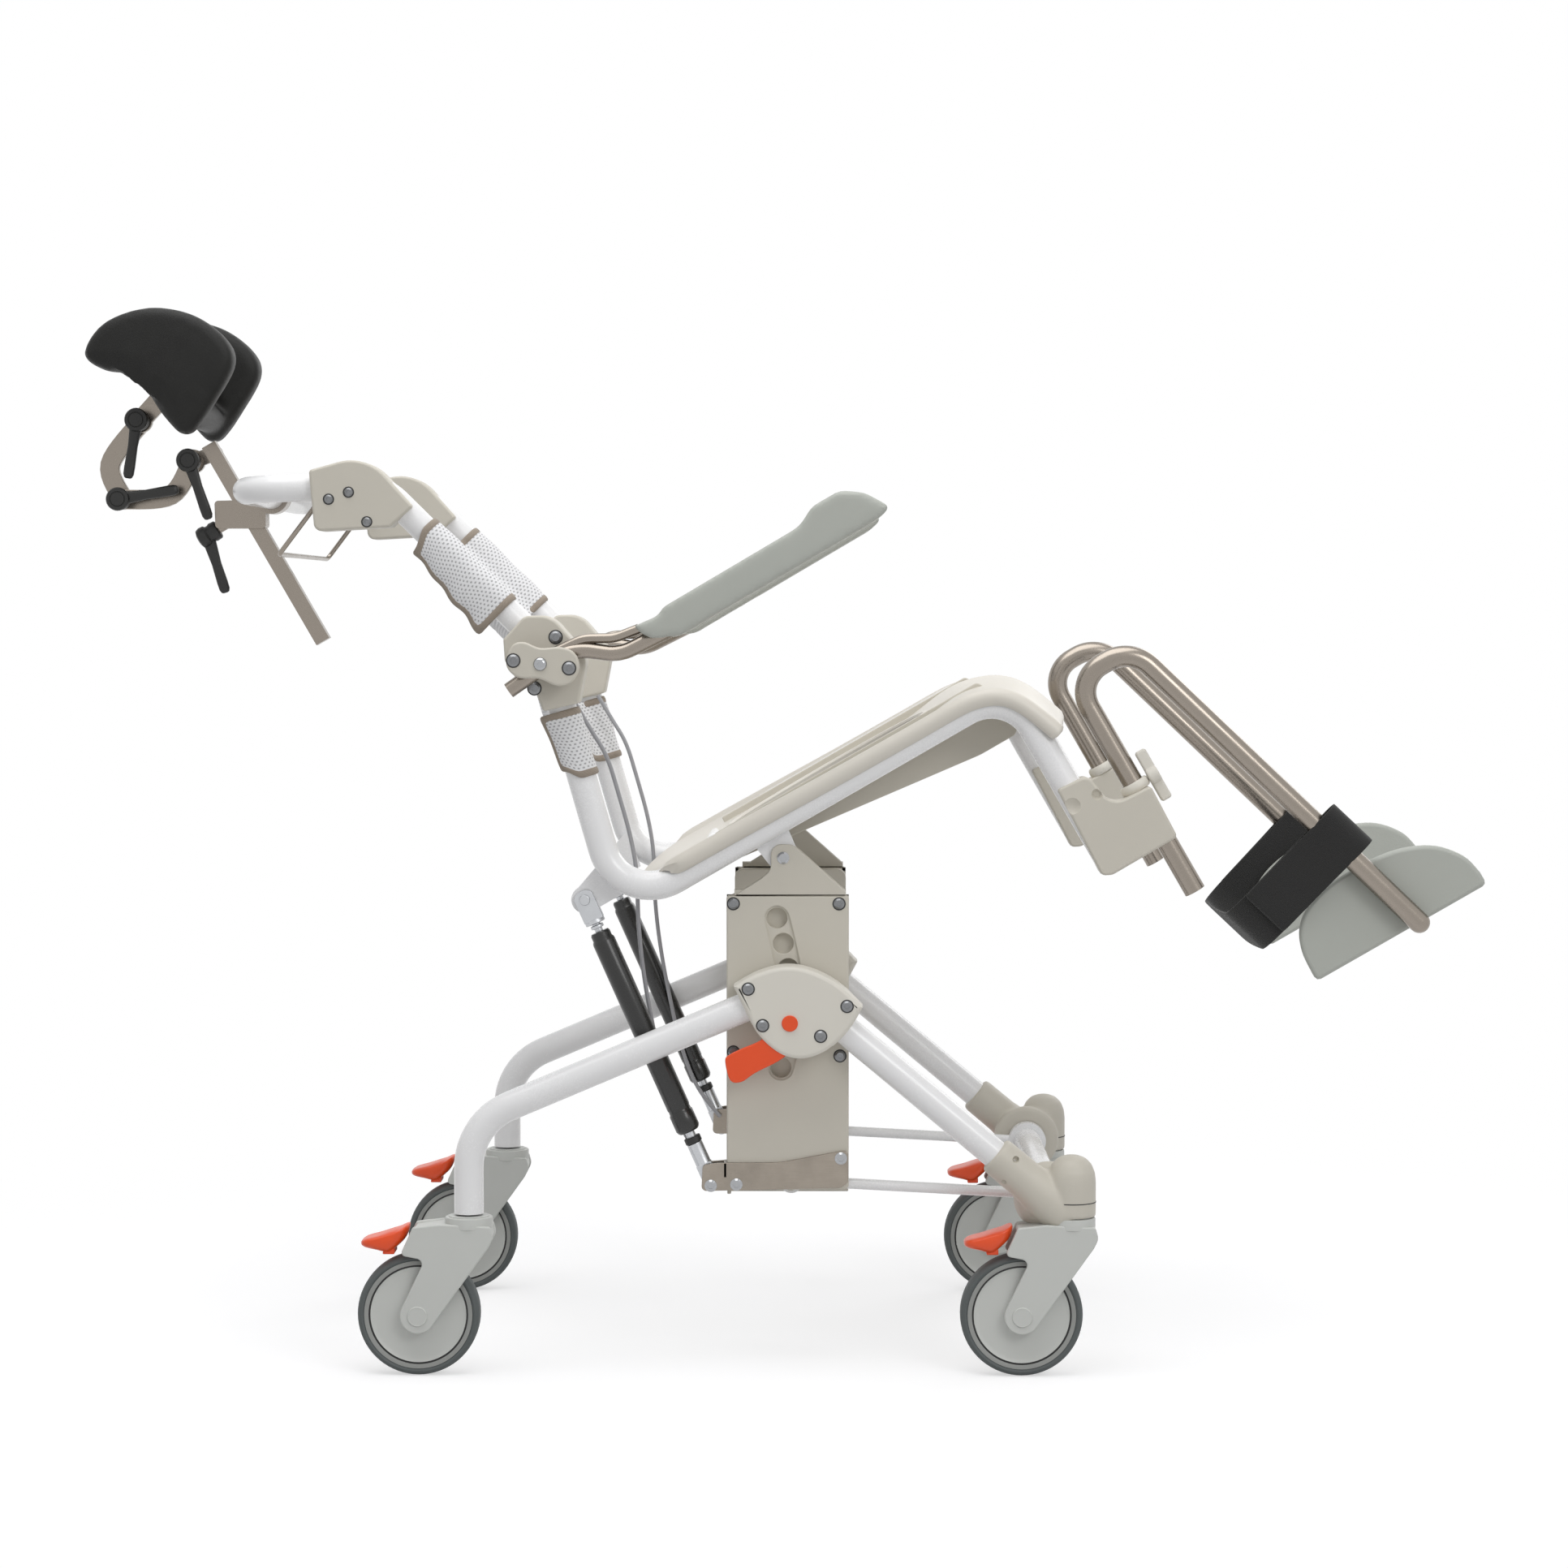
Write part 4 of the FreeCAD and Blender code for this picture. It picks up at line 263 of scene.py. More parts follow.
def make_materials(colours):
    """Every finish of the chair, by the name that the pieces ask for."""
    return {
        "paint": finish("powder_coat", colours.paint, 0.26, drift=0.015, grain=520.0, relief=0.06, uneven=0.05,
                        coat=0.25),
        "casting": finish("warm_grey_casting", colours.casting, 0.5, drift=0.03, grain=1500.0, relief=0.22),
        "tower": finish("tower_plastic", colours.tower, 0.55, drift=0.03, grain=1400.0, relief=0.25),
        "clamp": finish("pale_clamp_plastic", colours.clamp, 0.48, drift=0.02, grain=1600.0, relief=0.16),
        "seat": finish("seat_plastic", colours.seat, 0.42, drift=0.025, grain=1000.0, relief=0.14),
        "pad": finish("grey_foam_skin", colours.pad, 0.5, drift=0.025, grain=1700.0, relief=0.2),
        "grip": finish("footplate_grip", shade(colours.pad, 1.06), 0.7, drift=0.05, patch=40.0, grain=420.0,
                       relief=0.6, depth=0.0006),
        "caster": finish("caster_plastic", colours.caster, 0.45, drift=0.025, grain=1300.0, relief=0.14),
        "tyre": finish("tyre_rubber", colours.tyre, 0.72, drift=0.08, grain=1600.0, relief=0.3),
        "rim": finish("grey_rim_ring", shade(colours.caster, 0.52), 0.5, drift=0.03, grain=1300.0, relief=0.12),
        "orange": finish("signal_orange", colours.orange, 0.36, drift=0.05, grain=900.0, relief=0.1, coat=0.15),
        "steel": finish("satin_stainless", colours.steel, 0.25, metallic=1.0, drift=0.05, patch=30.0, grain=500.0,
                        relief=0.02, uneven=0.05),
        "sheet": finish("brushed_sheet_steel", colours.sheet, 0.38, metallic=1.0, drift=0.3, patch=34.0, grain=900.0,
                        relief=0.15, stretch=(0.06, 1, 1), uneven=0.14),
        "zinc": finish("zinc_plate", colours.zinc, 0.34, metallic=1.0, drift=0.08, patch=80.0, grain=1200.0,
                       relief=0.1),
        "bright": finish("bright_wire", shade(colours.zinc, 0.72), 0.16, metallic=1.0, drift=0.03, grain=900.0,
                         relief=0.03, uneven=0.04),
        "blue_zinc": finish("blue_zinc_screw", shade(colours.zinc, 0.42), 0.3, metallic=1.0, drift=0.1, patch=80.0),
        "lacquer": finish("black_lacquer", shade(colours.black, 0.7), 0.3, drift=0.1, grain=700.0, relief=0.05,
                          coat=0.2),
        "black": finish("black_moulded_plastic", colours.black, 0.45, drift=0.12, grain=1500.0, relief=0.25),
        "cover": grained_cover("grained_black_cover", colours.black),
        "webbing": woven("black_webbing", shade(colours.black, 0.75), 700.0, 420.0),
        "mesh": open_mesh("white_sling_mesh", colours.mesh, 0.0052, 0.0036),
        "binding": woven("taupe_binding", colours.binding, 900.0, 900.0, 0.25),
        "cable": finish("cable_sheath", colours.cable, 0.4, drift=0.04, grain=800.0, relief=0.08),
        # Painted shade: flat dark grey laid where only shade falls, in the parting line's groove, round the screw
        # heads and in the tyre's gap
        "shadow": finish("painted_recess_shade", srgb(52, 52, 52), 0.7, drift=0.1),
    }


FINISHES = {}


# Shape helpers
def put(name, mesh, *finishes):
    """Link a mesh, light or camera as a new object, a mesh with its finishes."""
    piece = bpy.data.objects.new(name, mesh)
    for wanted in finishes:
        mesh.materials.append(FINISHES[wanted])
    bpy.context.scene.collection.objects.link(piece)
    return piece


def settle(piece, body, slot, *nodes):
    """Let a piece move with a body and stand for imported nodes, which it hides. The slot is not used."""
    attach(piece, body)
    if nodes:
        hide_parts(*nodes)


def smooth(mesh, crease=CREASE):
    """Smooth shading that breaks at sharp edges."""
    mesh.shade_smooth()
    mesh.set_sharp_from_angle(angle=crease)


def to_mesh(work, name, crease=CREASE):
    """Turn finished editing geometry into a mesh."""
    mesh = bpy.data.meshes.new(name)
    work.to_mesh(mesh)
    work.free()
    smooth(mesh, crease)
    return mesh


def weighted(piece):
    """Keep large flat faces flat beside their rounded edges."""
    modifier = piece.modifiers.new("flat_faces", "WEIGHTED_NORMAL")
    modifier.keep_sharp = True
    return piece


def fitted(name, work, finish_name, body, slot, *nodes, cuts=(), flat=True, crease=CREASE):
    """Finished geometry as a piece on a body, with cuts. Flat says that it has large flat faces."""
    piece = put(name, to_mesh(work, name, crease), finish_name)
    for cut in cuts:
        cut_out(piece, cut, crease)
    settle(weighted(piece) if flat else piece, body, slot, *nodes)


def packed(node):
    """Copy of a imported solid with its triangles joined."""
    work = bmesh.new()
    work.from_mesh(NODES[node].data)
    bmesh.ops.remove_doubles(work, verts=work.verts, dist=WELD)
    return work


def weld(work, reach=WELD):
    """Join points that lie together and turn the faces outwards."""
    bmesh.ops.remove_doubles(work, verts=work.verts, dist=reach)
    bmesh.ops.recalc_face_normals(work, faces=work.faces)


def round_edges(work, radius, segments=3):
    """Round the sharp outer edges."""
    edges = []
    for edge in work.edges:
        if len(edge.link_faces) == 2 and edge.is_convex and edge.calc_face_angle() > SHARP:
            edges.append(edge)
    bmesh.ops.bevel(work, geom=edges, offset=radius, offset_type="OFFSET", segments=segments, profile=0.5,
                    affect="EDGES", clamp_overlap=False)


def soften(work, radius):
    """Merge triangles into whole faces and round the edges between these."""
    bmesh.ops.dissolve_limit(work, angle_limit=FLAT, verts=work.verts, edges=work.edges)
    round_edges(work, radius)
    return work


def softened(name, node, finish_name, body, slot, radius):
    """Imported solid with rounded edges, in its own finish."""
    fitted(name, soften(packed(node), radius), finish_name, body, slot, node)


def frame_of(direction, up=SIDE):
    """Matrix whose Z axis runs along a direction."""
    z = direction.normalized()
    x = up.cross(z)
    if x.length < 1e-6:
        x = Vector((1, 0, 0)).cross(z)
    x.normalize()
    y = z.cross(x)
    return Matrix((x, y, z)).transposed()


def circle(steps):
    """Cosine and sine of each step round a circle."""
    angles = [math.tau * step / steps for step in range(steps)]
    return [(math.cos(angle), math.sin(angle)) for angle in angles]


def turn(work, profile, centre, direction, steps=48, material=0):
    """Add a turned shape: (radius, along) points in millimetres, spun round an axis."""
    axes = frame_of(direction)
    rings = []
    for radius, along in profile:
        offsets = [Vector((radius * c, radius * s, along)) * MM for c, s in circle(steps if radius else 1)]
        rings.append([work.verts.new(centre + axes @ offset) for offset in offsets])
    faces = []
    for first, last in zip(rings, rings[1:]):
        for step in range(steps):
            after = (step + 1) % steps
            corners = [ring[place % len(ring)] for ring, place in ((first, step), (first, after), (last, after),
                                                                   (last, step))]
            unique = list(dict.fromkeys(corners))
            if len(unique) > 2:
                faces.append(work.faces.new(unique))
                faces[-1].material_index = material
    bmesh.ops.recalc_face_normals(work, faces=faces)


def loft(work, rings, closed=False):
    """Skin a row of rings with equal counts. Closed joins the last to the first, otherwise both get caps."""
    levels = [[work.verts.new(point) for point in ring] for ring in rings]
    count = len(levels[0])
    faces = []
    for first, last in zip(levels, levels[1:] + levels[:1] if closed else levels[1:]):
        for i in range(count):
            j = (i + 1) % count
            faces.append(work.faces.new((first[i], first[j], last[j], last[i])))
    if not closed:
        faces.append(work.faces.new(levels[0][::-1]))
        faces.append(work.faces.new(levels[-1]))
    bmesh.ops.recalc_face_normals(work, faces=faces)
    return faces


def strip(work, rows, maps):
    """Open sheet through rows of points, with UV coordinates in metres."""
    layer = work.loops.layers.uv.verify()
    levels = [[work.verts.new(point) for point in row] for row in rows]
    for r in range(len(levels) - 1):
        for c in range(len(levels[0]) - 1):
            spots = ((r, c), (r, c + 1), (r + 1, c + 1), (r + 1, c))
            face = work.faces.new([levels[i][j] for i, j in spots])
            for loop, (i, j) in zip(face.loops, spots):
                loop[layer].uv = maps[i][j]


def baked(piece):
    """Replace a piece's modifiers by their result."""
    graph = bpy.context.evaluated_depsgraph_get()
    mesh = bpy.data.meshes.new_from_object(piece.evaluated_get(graph))
    piece.modifiers.clear()
    piece.data = mesh
    return piece


def rounded(piece):
    """Round a piece by one step of subdivision."""
    modifier = piece.modifiers.new("rounding", "SUBSURF")
    modifier.levels = modifier.render_levels = 1
    return baked(piece)


def thickened(piece, wall):
    """Cloth with a wall, rounded at its edges."""
    modifier = piece.modifiers.new("wall", "SOLIDIFY")
    modifier.thickness = wall
    modifier.offset = 0.0
    return rounded(piece)


# Screw heads
def run_tree(tree, name, points, aims, values):
    """Run a geometry tree on marked points and keep the result as a plain mesh."""
    marks = bpy.data.meshes.new(name + "_marks")
    marks.from_pydata([tuple(point) for point in points], [], [])
    aim = marks.attributes.new("aim", "FLOAT_VECTOR", "POINT")
    for item, direction in zip(aim.data, aims):
        item.vector = direction
    piece = put(name, marks)
    modifier = piece.modifiers.new("pattern", "NODES")
    modifier.node_group = tree
    for item in tree.interface.items_tree:
        if item.in_out == "INPUT" and item.name in values:
            modifier[item.identifier] = values[item.name]
    return baked(piece)


def screw_tree():
    """Geometry tree of button heads with a hexagon socket, one on each point, looking along its aim."""
    tree = bpy.data.node_groups.new("button_screws", "GeometryNodeTree")
    for label, kind in (("Geometry", "Geometry"), ("Radius", "Float"), ("Height", "Float"), ("Socket width", "Float"),
                        ("Socket depth", "Float"), ("Material", "Material")):
        tree.interface.new_socket(label, in_out="INPUT", socket_type="NodeSocket" + kind)
    tree.interface.new_socket("Geometry", in_out="OUTPUT", socket_type="NodeSocketGeometry")
    given = add_node(tree, "NodeGroupInput").outputs
    radius, height = given["Radius"], given["Height"]

    def cone(sides, top, foot, tall, lift):
        shape = add_node(tree, "GeometryNodeMeshCone", {"Vertices": sides, "Radius Top": top, "Radius Bottom": foot,
                                                        "Depth": tall})
        rise = add_node(tree, "ShaderNodeCombineXYZ", {"Z": lift})
        return add_node(tree, "GeometryNodeTransform", {"Geometry": shape.outputs["Mesh"],
                                                        "Translation": rise.outputs[0]}).outputs[0]

    skirt = calc(tree, "MULTIPLY", height, 0.45)
    base = cone(24, radius, radius, skirt, 0.0)
    crown = cone(24, calc(tree, "MULTIPLY", radius, 0.68), radius, calc(tree, "SUBTRACT", height, skirt), skirt)
    half = calc(tree, "DIVIDE", given["Socket width"], math.sqrt(3))
    socket = cone(6, half, half, height, calc(tree, "SUBTRACT", height, given["Socket depth"]))
    joined = add_node(tree, "GeometryNodeMeshBoolean", operation="UNION")
    tree.links.new(crown, joined.inputs[1])
    tree.links.new(base, joined.inputs[1])
    head = add_node(tree, "GeometryNodeMeshBoolean", operation="DIFFERENCE")
    tree.links.new(joined.outputs[0], head.inputs[0])
    tree.links.new(socket, head.inputs[1])
    aim = add_node(tree, "GeometryNodeInputNamedAttribute", {"Name": "aim"}, data_type="FLOAT_VECTOR")
    facing = add_node(tree, "FunctionNodeAlignRotationToVector", {"Vector": aim.outputs[0]}, axis="Z")
    spread = add_node(tree, "GeometryNodeInstanceOnPoints", {"Points": given["Geometry"], "Instance": head.outputs[0],
                                                             "Rotation": facing.outputs[0]})
    real = add_node(tree, "GeometryNodeRealizeInstances", {"Geometry": spread.outputs[0]})
    painted = add_node(tree, "GeometryNodeSetMaterial", {"Geometry": real.outputs[0], "Material": given["Material"]})
    flat = add_node(tree, "GeometryNodeSetShadeSmooth", {"Geometry": painted.outputs[0], "Shade Smooth": False})
    add_node(tree, "NodeGroupOutput", {0: flat.outputs[0]})
    return tree


# Outlines and plates
def rounded_outline(corners, steps=6, closed=True):
    """Outline or open route whose corners (across, up, radius), in millimetres, are arcs."""
    points = []
    for number, (x, z, radius) in enumerate(corners):
        corner = Vector((x, z))
        if radius == 0 or (not closed and number in (0, len(corners) - 1)):
            points.append(corner)
            continue
        back = Vector(corners[number - 1][:2]) - corner
        ahead = Vector(corners[(number + 1) % len(corners)][:2]) - corner
        half = back.angle(ahead) / 2
        reach = min(radius / math.tan(half), back.length * 0.48, ahead.length * 0.48)
        middle = (back.normalized() + ahead.normalized()).normalized() * (reach / math.cos(half))
        first = back.normalized() * reach - middle
        last = ahead.normalized() * reach - middle
        sweep = math.pi - 2 * half
        for step in range(steps + 1):
            share = step / steps
            turned = first * math.sin((1 - share) * sweep) + last * math.sin(share * sweep)
            points.append(corner + middle + turned / math.sin(sweep))
    return points


def smooth_line(points, steps=6, closed=True):
    """Smooth curve through points."""
    spots = [Vector(point) for point in points]
    count = len(spots)
    line = []
    for number in range(count if closed else count - 1):
        nearby = []
        for shift in (-1, 0, 1, 2):
            place = number + shift
            nearby.append(spots[place % count] if closed else spots[min(max(place, 0), count - 1)])
        before, first, last, after = nearby
        for step in range(steps):
            t = step / steps
            line.append((first * 2 + (last - before) * t + (before * 2 - first * 5 + last * 4 - after) * t ** 2
                         + (first * 3 - before - last * 3 + after) * t ** 3) * 0.5)
    if not closed:
        line.append(spots[-1])
    return line


def arc_points(centre, radius, start, end, steps=12):
    """Points on an arc between two angles in degrees."""
    points = []
    for step in range(steps + 1):
        angle = math.radians(start + (end - start) * step / steps)
        points.append(Vector((centre[0] + radius * math.cos(angle), centre[1] + radius * math.sin(angle))))
    return points


def heading(line, number):
    """Direction of a line of points at one of them."""
    return (line[min(number + 1, len(line) - 1)] - line[max(number - 1, 0)]).normalized()


def beside(line, half):
    """Lines at a distance to the left and to the right of a line."""
    left, right = [], []
    for number, point in enumerate(line):
        ahead = heading(line, number)
        across = Vector((-ahead.y, ahead.x)) * half
        left.append(point + across)
        right.append(point - across)
    return left, right


def box_loop(low, high):
    """Outline of a box between two corners."""
    return [Vector(low), Vector((high[0], low[1])), Vector(high), Vector((low[0], high[1]))]


def inset(loop, depth):
    """Closed outline moved inwards."""
    area = sum(first.cross(last) for first, last in zip(loop, loop[1:] + loop[:1]))
    inward = math.copysign(1.0, area)
    moved = []
    for number, point in enumerate(loop):
        ahead = (loop[(number + 1) % len(loop)] - point).normalized()
        behind = (point - loop[number - 1]).normalized()
        along = (ahead + behind).normalized()
        normal = Vector((-along.y, along.x)) * inward
        moved.append(point + normal * (depth / max(0.5, along.dot(ahead))))
    return moved


def plate(work, loop, spot, low, high, edge, steps=3):
    """Plate between two levels with rounded rims. Spot gives the place of (across, level, up)."""
    levels = []
    for step in range(steps + 1):
        angle = math.pi / 2 * step / steps
        levels.append((edge * (1 - math.sin(angle)), low + edge * (1 - math.cos(angle))))
    levels += [(depth, low + high - level) for depth, level in reversed(levels)]
    rings = []
    for depth, level in levels:
        rings.append([spot(point.x, level, point.y) for point in inset(loop, depth)])
    return loft(work, rings)


def on_seat(sign):
    """Place of (forward, sideways, up) on one side of the tilted seat."""
    return lambda a, level, b: seat(a, sign * level, b)


def seat_point(a, b):
    """Point in the middle of the tilted seat."""
    return seat(a, 0, b)


def on_chair(sign):
    """Place of (forward, sideways, up) on one side of the base."""
    return lambda x, level, z: chair_point(x, z) + SIDE * (sign * level * MM)


def around(hub):
    """Place of (forward, sideways, up) from a hub."""
    return lambda x, level, z: hub + Vector((x, level, z)) * MM


def chair_point(x, z):
    """Point of the untilted chair, in millimetres from under the seat pivot."""
    return Vector((SEAT_PIVOT.x + (x - PIVOT_X) * MM, 0, z * MM))


def cut_out(piece, work, crease=CREASE):
    """Cut a shape out of a piece."""
    bmesh.ops.recalc_face_normals(work, faces=work.faces)
    tool = put("cutter", to_mesh(work, "cutter"))
    modifier = piece.modifiers.new("cut", "BOOLEAN")
    modifier.operation = "DIFFERENCE"
    modifier.solver = "EXACT"
    modifier.object = tool
    baked(piece)
    bpy.data.objects.remove(tool)
    smooth(piece.data, crease)


def pipe(work, line, radius, sides=24, dome=False):
    """Round bar along a line of points. Dome rounds its last end."""
    rings = [(point, frame_of(heading(line, number)), radius) for number, point in enumerate(line)]
    if dome:
        point, axes, _ = rings[-1]
        for step in range(1, 6):
            angle = math.pi / 2 * step / 5.4
            rings.append((point + axes.col[2] * (radius * math.sin(angle) * MM), axes, radius * math.cos(angle)))
    round_ring = [Vector((c, s, 0)) for c, s in circle(sides)]
    loft(work, [[point + axes @ spot * (reach * MM) for spot in round_ring] for point, axes, reach in rings])


def rounded_solid(name, work, finish_name, voxel, rounds):
    """Even skin over a solid, smoothed until its edges are round."""
    piece = put(name, to_mesh(work, name), finish_name)
    remesh = piece.modifiers.new("skin", "REMESH")
    remesh.mode = "VOXEL"
    remesh.voxel_size = voxel
    relax = piece.modifiers.new("rounding", "SMOOTH")
    relax.factor = 0.5
    relax.iterations = rounds
    baked(piece)
    piece.data.materials.clear()
    piece.data.materials.append(FINISHES[finish_name])
    smooth(piece.data, math.pi)
    return piece


# Frame
PLAIN = {
    "paint": ("base_side_tubes", "front_cross_tube", "link_rods", "seat_frame", "back_frame"),
    "steel": ("armrest_tube_left", "armrest_tube_right", "headrest_bar", "headrest_clamp", "release_bail"),
}


class CHAIR_OT_tubes(bpy.types.Operator):
    """Paint the tubes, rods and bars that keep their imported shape"""
    bl_idname = "chair.tubes"
    bl_label = "Tubes and bars"

    def execute(self, context):
        for finish_name, nodes in PLAIN.items():
            for node in nodes:
                NODES[node].data.materials.clear()
                NODES[node].data.materials.append(FINISHES[finish_name])
        return {"FINISHED"}


# Base castings
STEM_X = 261.0
HALF_TRACK = 240.0
CROSS = (240.0, 178.0)
LEG_LINE = Vector((0.767, 0, -0.641))
SLEEVE = [(0, 0), (17.5, 0), (19.6, 1.6), (20.3, 5), (20.6, 40), (23.5, 68), (24, 92), (20.5, 101), (0, 103)]
HUB = [(0, 205), (33, 205), (36.4, 208), (37, 214), (34, 226), (27, 238), (20, 250), (0, 252)]
DOME = [(0, 162.5), (24.2, 162.5), (24.7, 163.5), (24.7, 199), (23.6, 208), (20, 216.5), (14, 222.4),
        (7, 225), (0, 225.6)]
# Thin ring standing just proud of the dome at its parting line, in the shadow finish: painted shade of the seam's
# groove
PARTING_SHADE_RING = [(24.2, 177.4), (24.95, 177.4), (24.95, 178.3), (24.2, 178.3), (24.2, 177.4)]
SLEEVE_POCKETS = ((0.12, 0.55, 5.2), (0.16, -0.75, 4.8))
SLEEVE_LENGTH = 0.075
SLEEVE_R = 0.0205


class CHAIR_OT_front_castings(bpy.types.Operator):
    """Cast the front joints that hold the legs, the cross tube and the caster stems"""
    bl_idname = "chair.front_castings"
    bl_label = "Front castings"

    def execute(self, context):
        solid, lines, pockets = bmesh.new(), bmesh.new(), bmesh.new()
        across = LEG_LINE.cross(SIDE) * SLEEVE_R
        for sign in SIDES.values():
            spot = on_chair(sign)
            cross = spot(CROSS[0], HALF_TRACK, CROSS[1])
            stem = spot(STEM_X, HALF_TRACK, 0)
            turn(solid, SLEEVE, cross - LEG_LINE * SLEEVE_LENGTH, LEG_LINE, steps=40)
            turn(solid, HUB, spot(CROSS[0], 0, CROSS[1]), SIDE * sign)
            turn(solid, DOME, stem, UP)
            turn(lines, PARTING_SHADE_RING, stem, UP, steps=64)
            for share, level, radius in SLEEVE_POCKETS:
                place = cross - LEG_LINE * (SLEEVE_LENGTH * (1 - share * 2)) + across * level
                turn(pockets, [(0, -9), (radius * 0.45, -9), (radius, 4), (radius * 1.6, 9), (0, 9)],
                     place + SIDE * (sign * SLEEVE_R), SIDE * sign, steps=24)
        casting = rounded_solid("front_castings", solid, "casting", voxel=0.0018, rounds=6)
        cut_out(casting, pockets, math.radians(50))
        settle(casting, "base", "beige_casting", "front_joint_housings")
        # Painted shade of the parting line, as its own piece
        fitted("parting_line_shade", lines, "shadow", "base", "beige_casting", flat=False)
        return {"FINISHED"}


LOCK = (-26.0, 362.0)
CLAMP_TOP = [(-83, 399.4), (-59, 412.5), (-31.2, 419.5), (-4, 415.5), (24, 401), (47.8, 378.4)]
CLAMP_FOOT = [(47.8, 378.4), (38, 361), (25.3, 345.5), (8, 332), (-11.9, 325.5), (-32, 328.5), (-49.1, 340),
              (-61, 354), (-69.6, 371.1), (-83, 399.4)]
LEVER_BLADE = [(-91.6, 323), (-87.7, 329.4), (-74.9, 335.9), (-55.6, 344.5), (-40, 359), (-33, 371),
               (-22, 373.5), (-14, 365), (-17, 346), (-32.5, 326.6), (-60.7, 311.4), (-74.9, 302.1),
               (-86.4, 303.6)]
LEVER_LEVELS = (256.5, 261.5)
LEVER_ROOM = ((96.0, 180, 332), (38.0, 332, 350), (25.0, 350, 540))
BUTTON = [(0, 262), (8.2, 262), (8.2, 265.2), (7.6, 265.9), (0, 266)]
LEVER_PLAY = 0.4
CLAMP_LEVELS = (223.9, 264.0)


class CHAIR_OT_height_clamps(bpy.types.Operator):
    """Mould the height clamps with their levers and buttons"""
    bl_idname = "chair.height_clamps"
    bl_label = "Height clamps"

    def execute(self, context):
        loop = smooth_line(CLAMP_TOP, 6, closed=False)[:-1] + smooth_line(CLAMP_FOOT, 5, closed=False)[:-1]
        low, high = LEVER_LEVELS
        room = []
        for radius, start, end in LEVER_ROOM:
            room += arc_points(LOCK, radius, start, end, 16)
        covers, rooms = bmesh.new(), bmesh.new()
        for side, sign in SIDES.items():
            spot = on_chair(sign)
            plate(covers, loop, spot, *CLAMP_LEVELS, edge=5.0, steps=5)
            plate(rooms, room, spot, low - LEVER_PLAY, high + LEVER_PLAY, edge=0.2, steps=1)
            lever = bmesh.new()
            plate(lever, smooth_line(LEVER_BLADE, 5), spot, low, high, edge=1.6)
            turn(lever, BUTTON, spot(LOCK[0], 0, LOCK[1]), SIDE * sign, steps=40)
            body = "lock_lever_" + side
            fitted("lock_blade_" + side, lever, "orange", body, "orange", body)
        fitted("height_clamp_covers", covers, "clamp", "base", "seat_plastic", "height_clamps", cuts=(rooms,))
        return {"FINISHED"}


# Lift towers
PANEL = [(-91, 186, 5), (34, 186, 5), (34, 488, 2.5), (-91, 488, 2.5)]
LOCK_HOLES = [(-39.5, 465), (-33, 439), (-28, 413), (-25.6, 387), (-26, 362), (-29.5, 336.5), (-35.4, 311.8)]
GROOVE_HALF = 13.2
WALLS = (((-91, 206), (-87, 488)), ((30, 228), (34, 488)), ((-91, 484), (34, 488)))
BRACKET = [(-83, 488.2, 0.5), (-56, 505.2, 26), (-45.5, 514.5, 12), (-45.8, 541, 13), (-23, 540.5, 12),
           (31, 492.5, 3), (31, 488.2, 0.5)]
BRACKET_LEVELS = ((200.0, 205.6), (215.2, 220.8))
STRAP_FACE = [(-117, 185, 5), (25, 188.5, 10), (33.5, 194, 4), (33.5, 227, 4), (24, 226, 6), (-37, 214.5, 90),
              (-100, 214.3, 6), (-115.5, 212, 5)]
STRAP_EAR = [(-117, 185, 5), (-91, 185, 1), (-91, 214, 1), (-115.5, 212, 5)]
STRAP_WEB = [(-94, 199, 0.5), (-91, 199, 0.5), (-91, 214, 0.5), (-94, 214, 0.5)]
STRAPS = ((STRAP_FACE, 8, (221.0, 224.0), 0.7), (STRAP_EAR, 6, (198.0, 201.0), 0.7),
          (STRAP_WEB, 6, (198.0, 224.0), 0.4))
BRACKET_FOOT = ((-83, 488.2), (31, 494))
BRACKET_FOOT_LEVELS = (203.0, 218.0)
PANEL_LEVELS = (206.0, 221.0)
GROOVE_LEVELS = (218.2, 225.0)
WALL_LEVELS = (198.2, 206.5)
LOCK_HOLE = [(0, 209), (10.6, 209), (10.6, 217.6), (11.4, 218.4), (11.4, 226), (0, 226)]


def groove_loop():
    """Outline of the shallow groove round the lock holes."""
    line = smooth_line(LOCK_HOLES, 4, closed=False)
    left, right = beside(line, GROOVE_HALF)
    top = arc_points(line[0], GROOVE_HALF, 14, 166, 10)
    foot = arc_points(line[-1], GROOVE_HALF, 194, 346, 10)
    return top + right[1:-1] + foot + left[-2:0:-1]


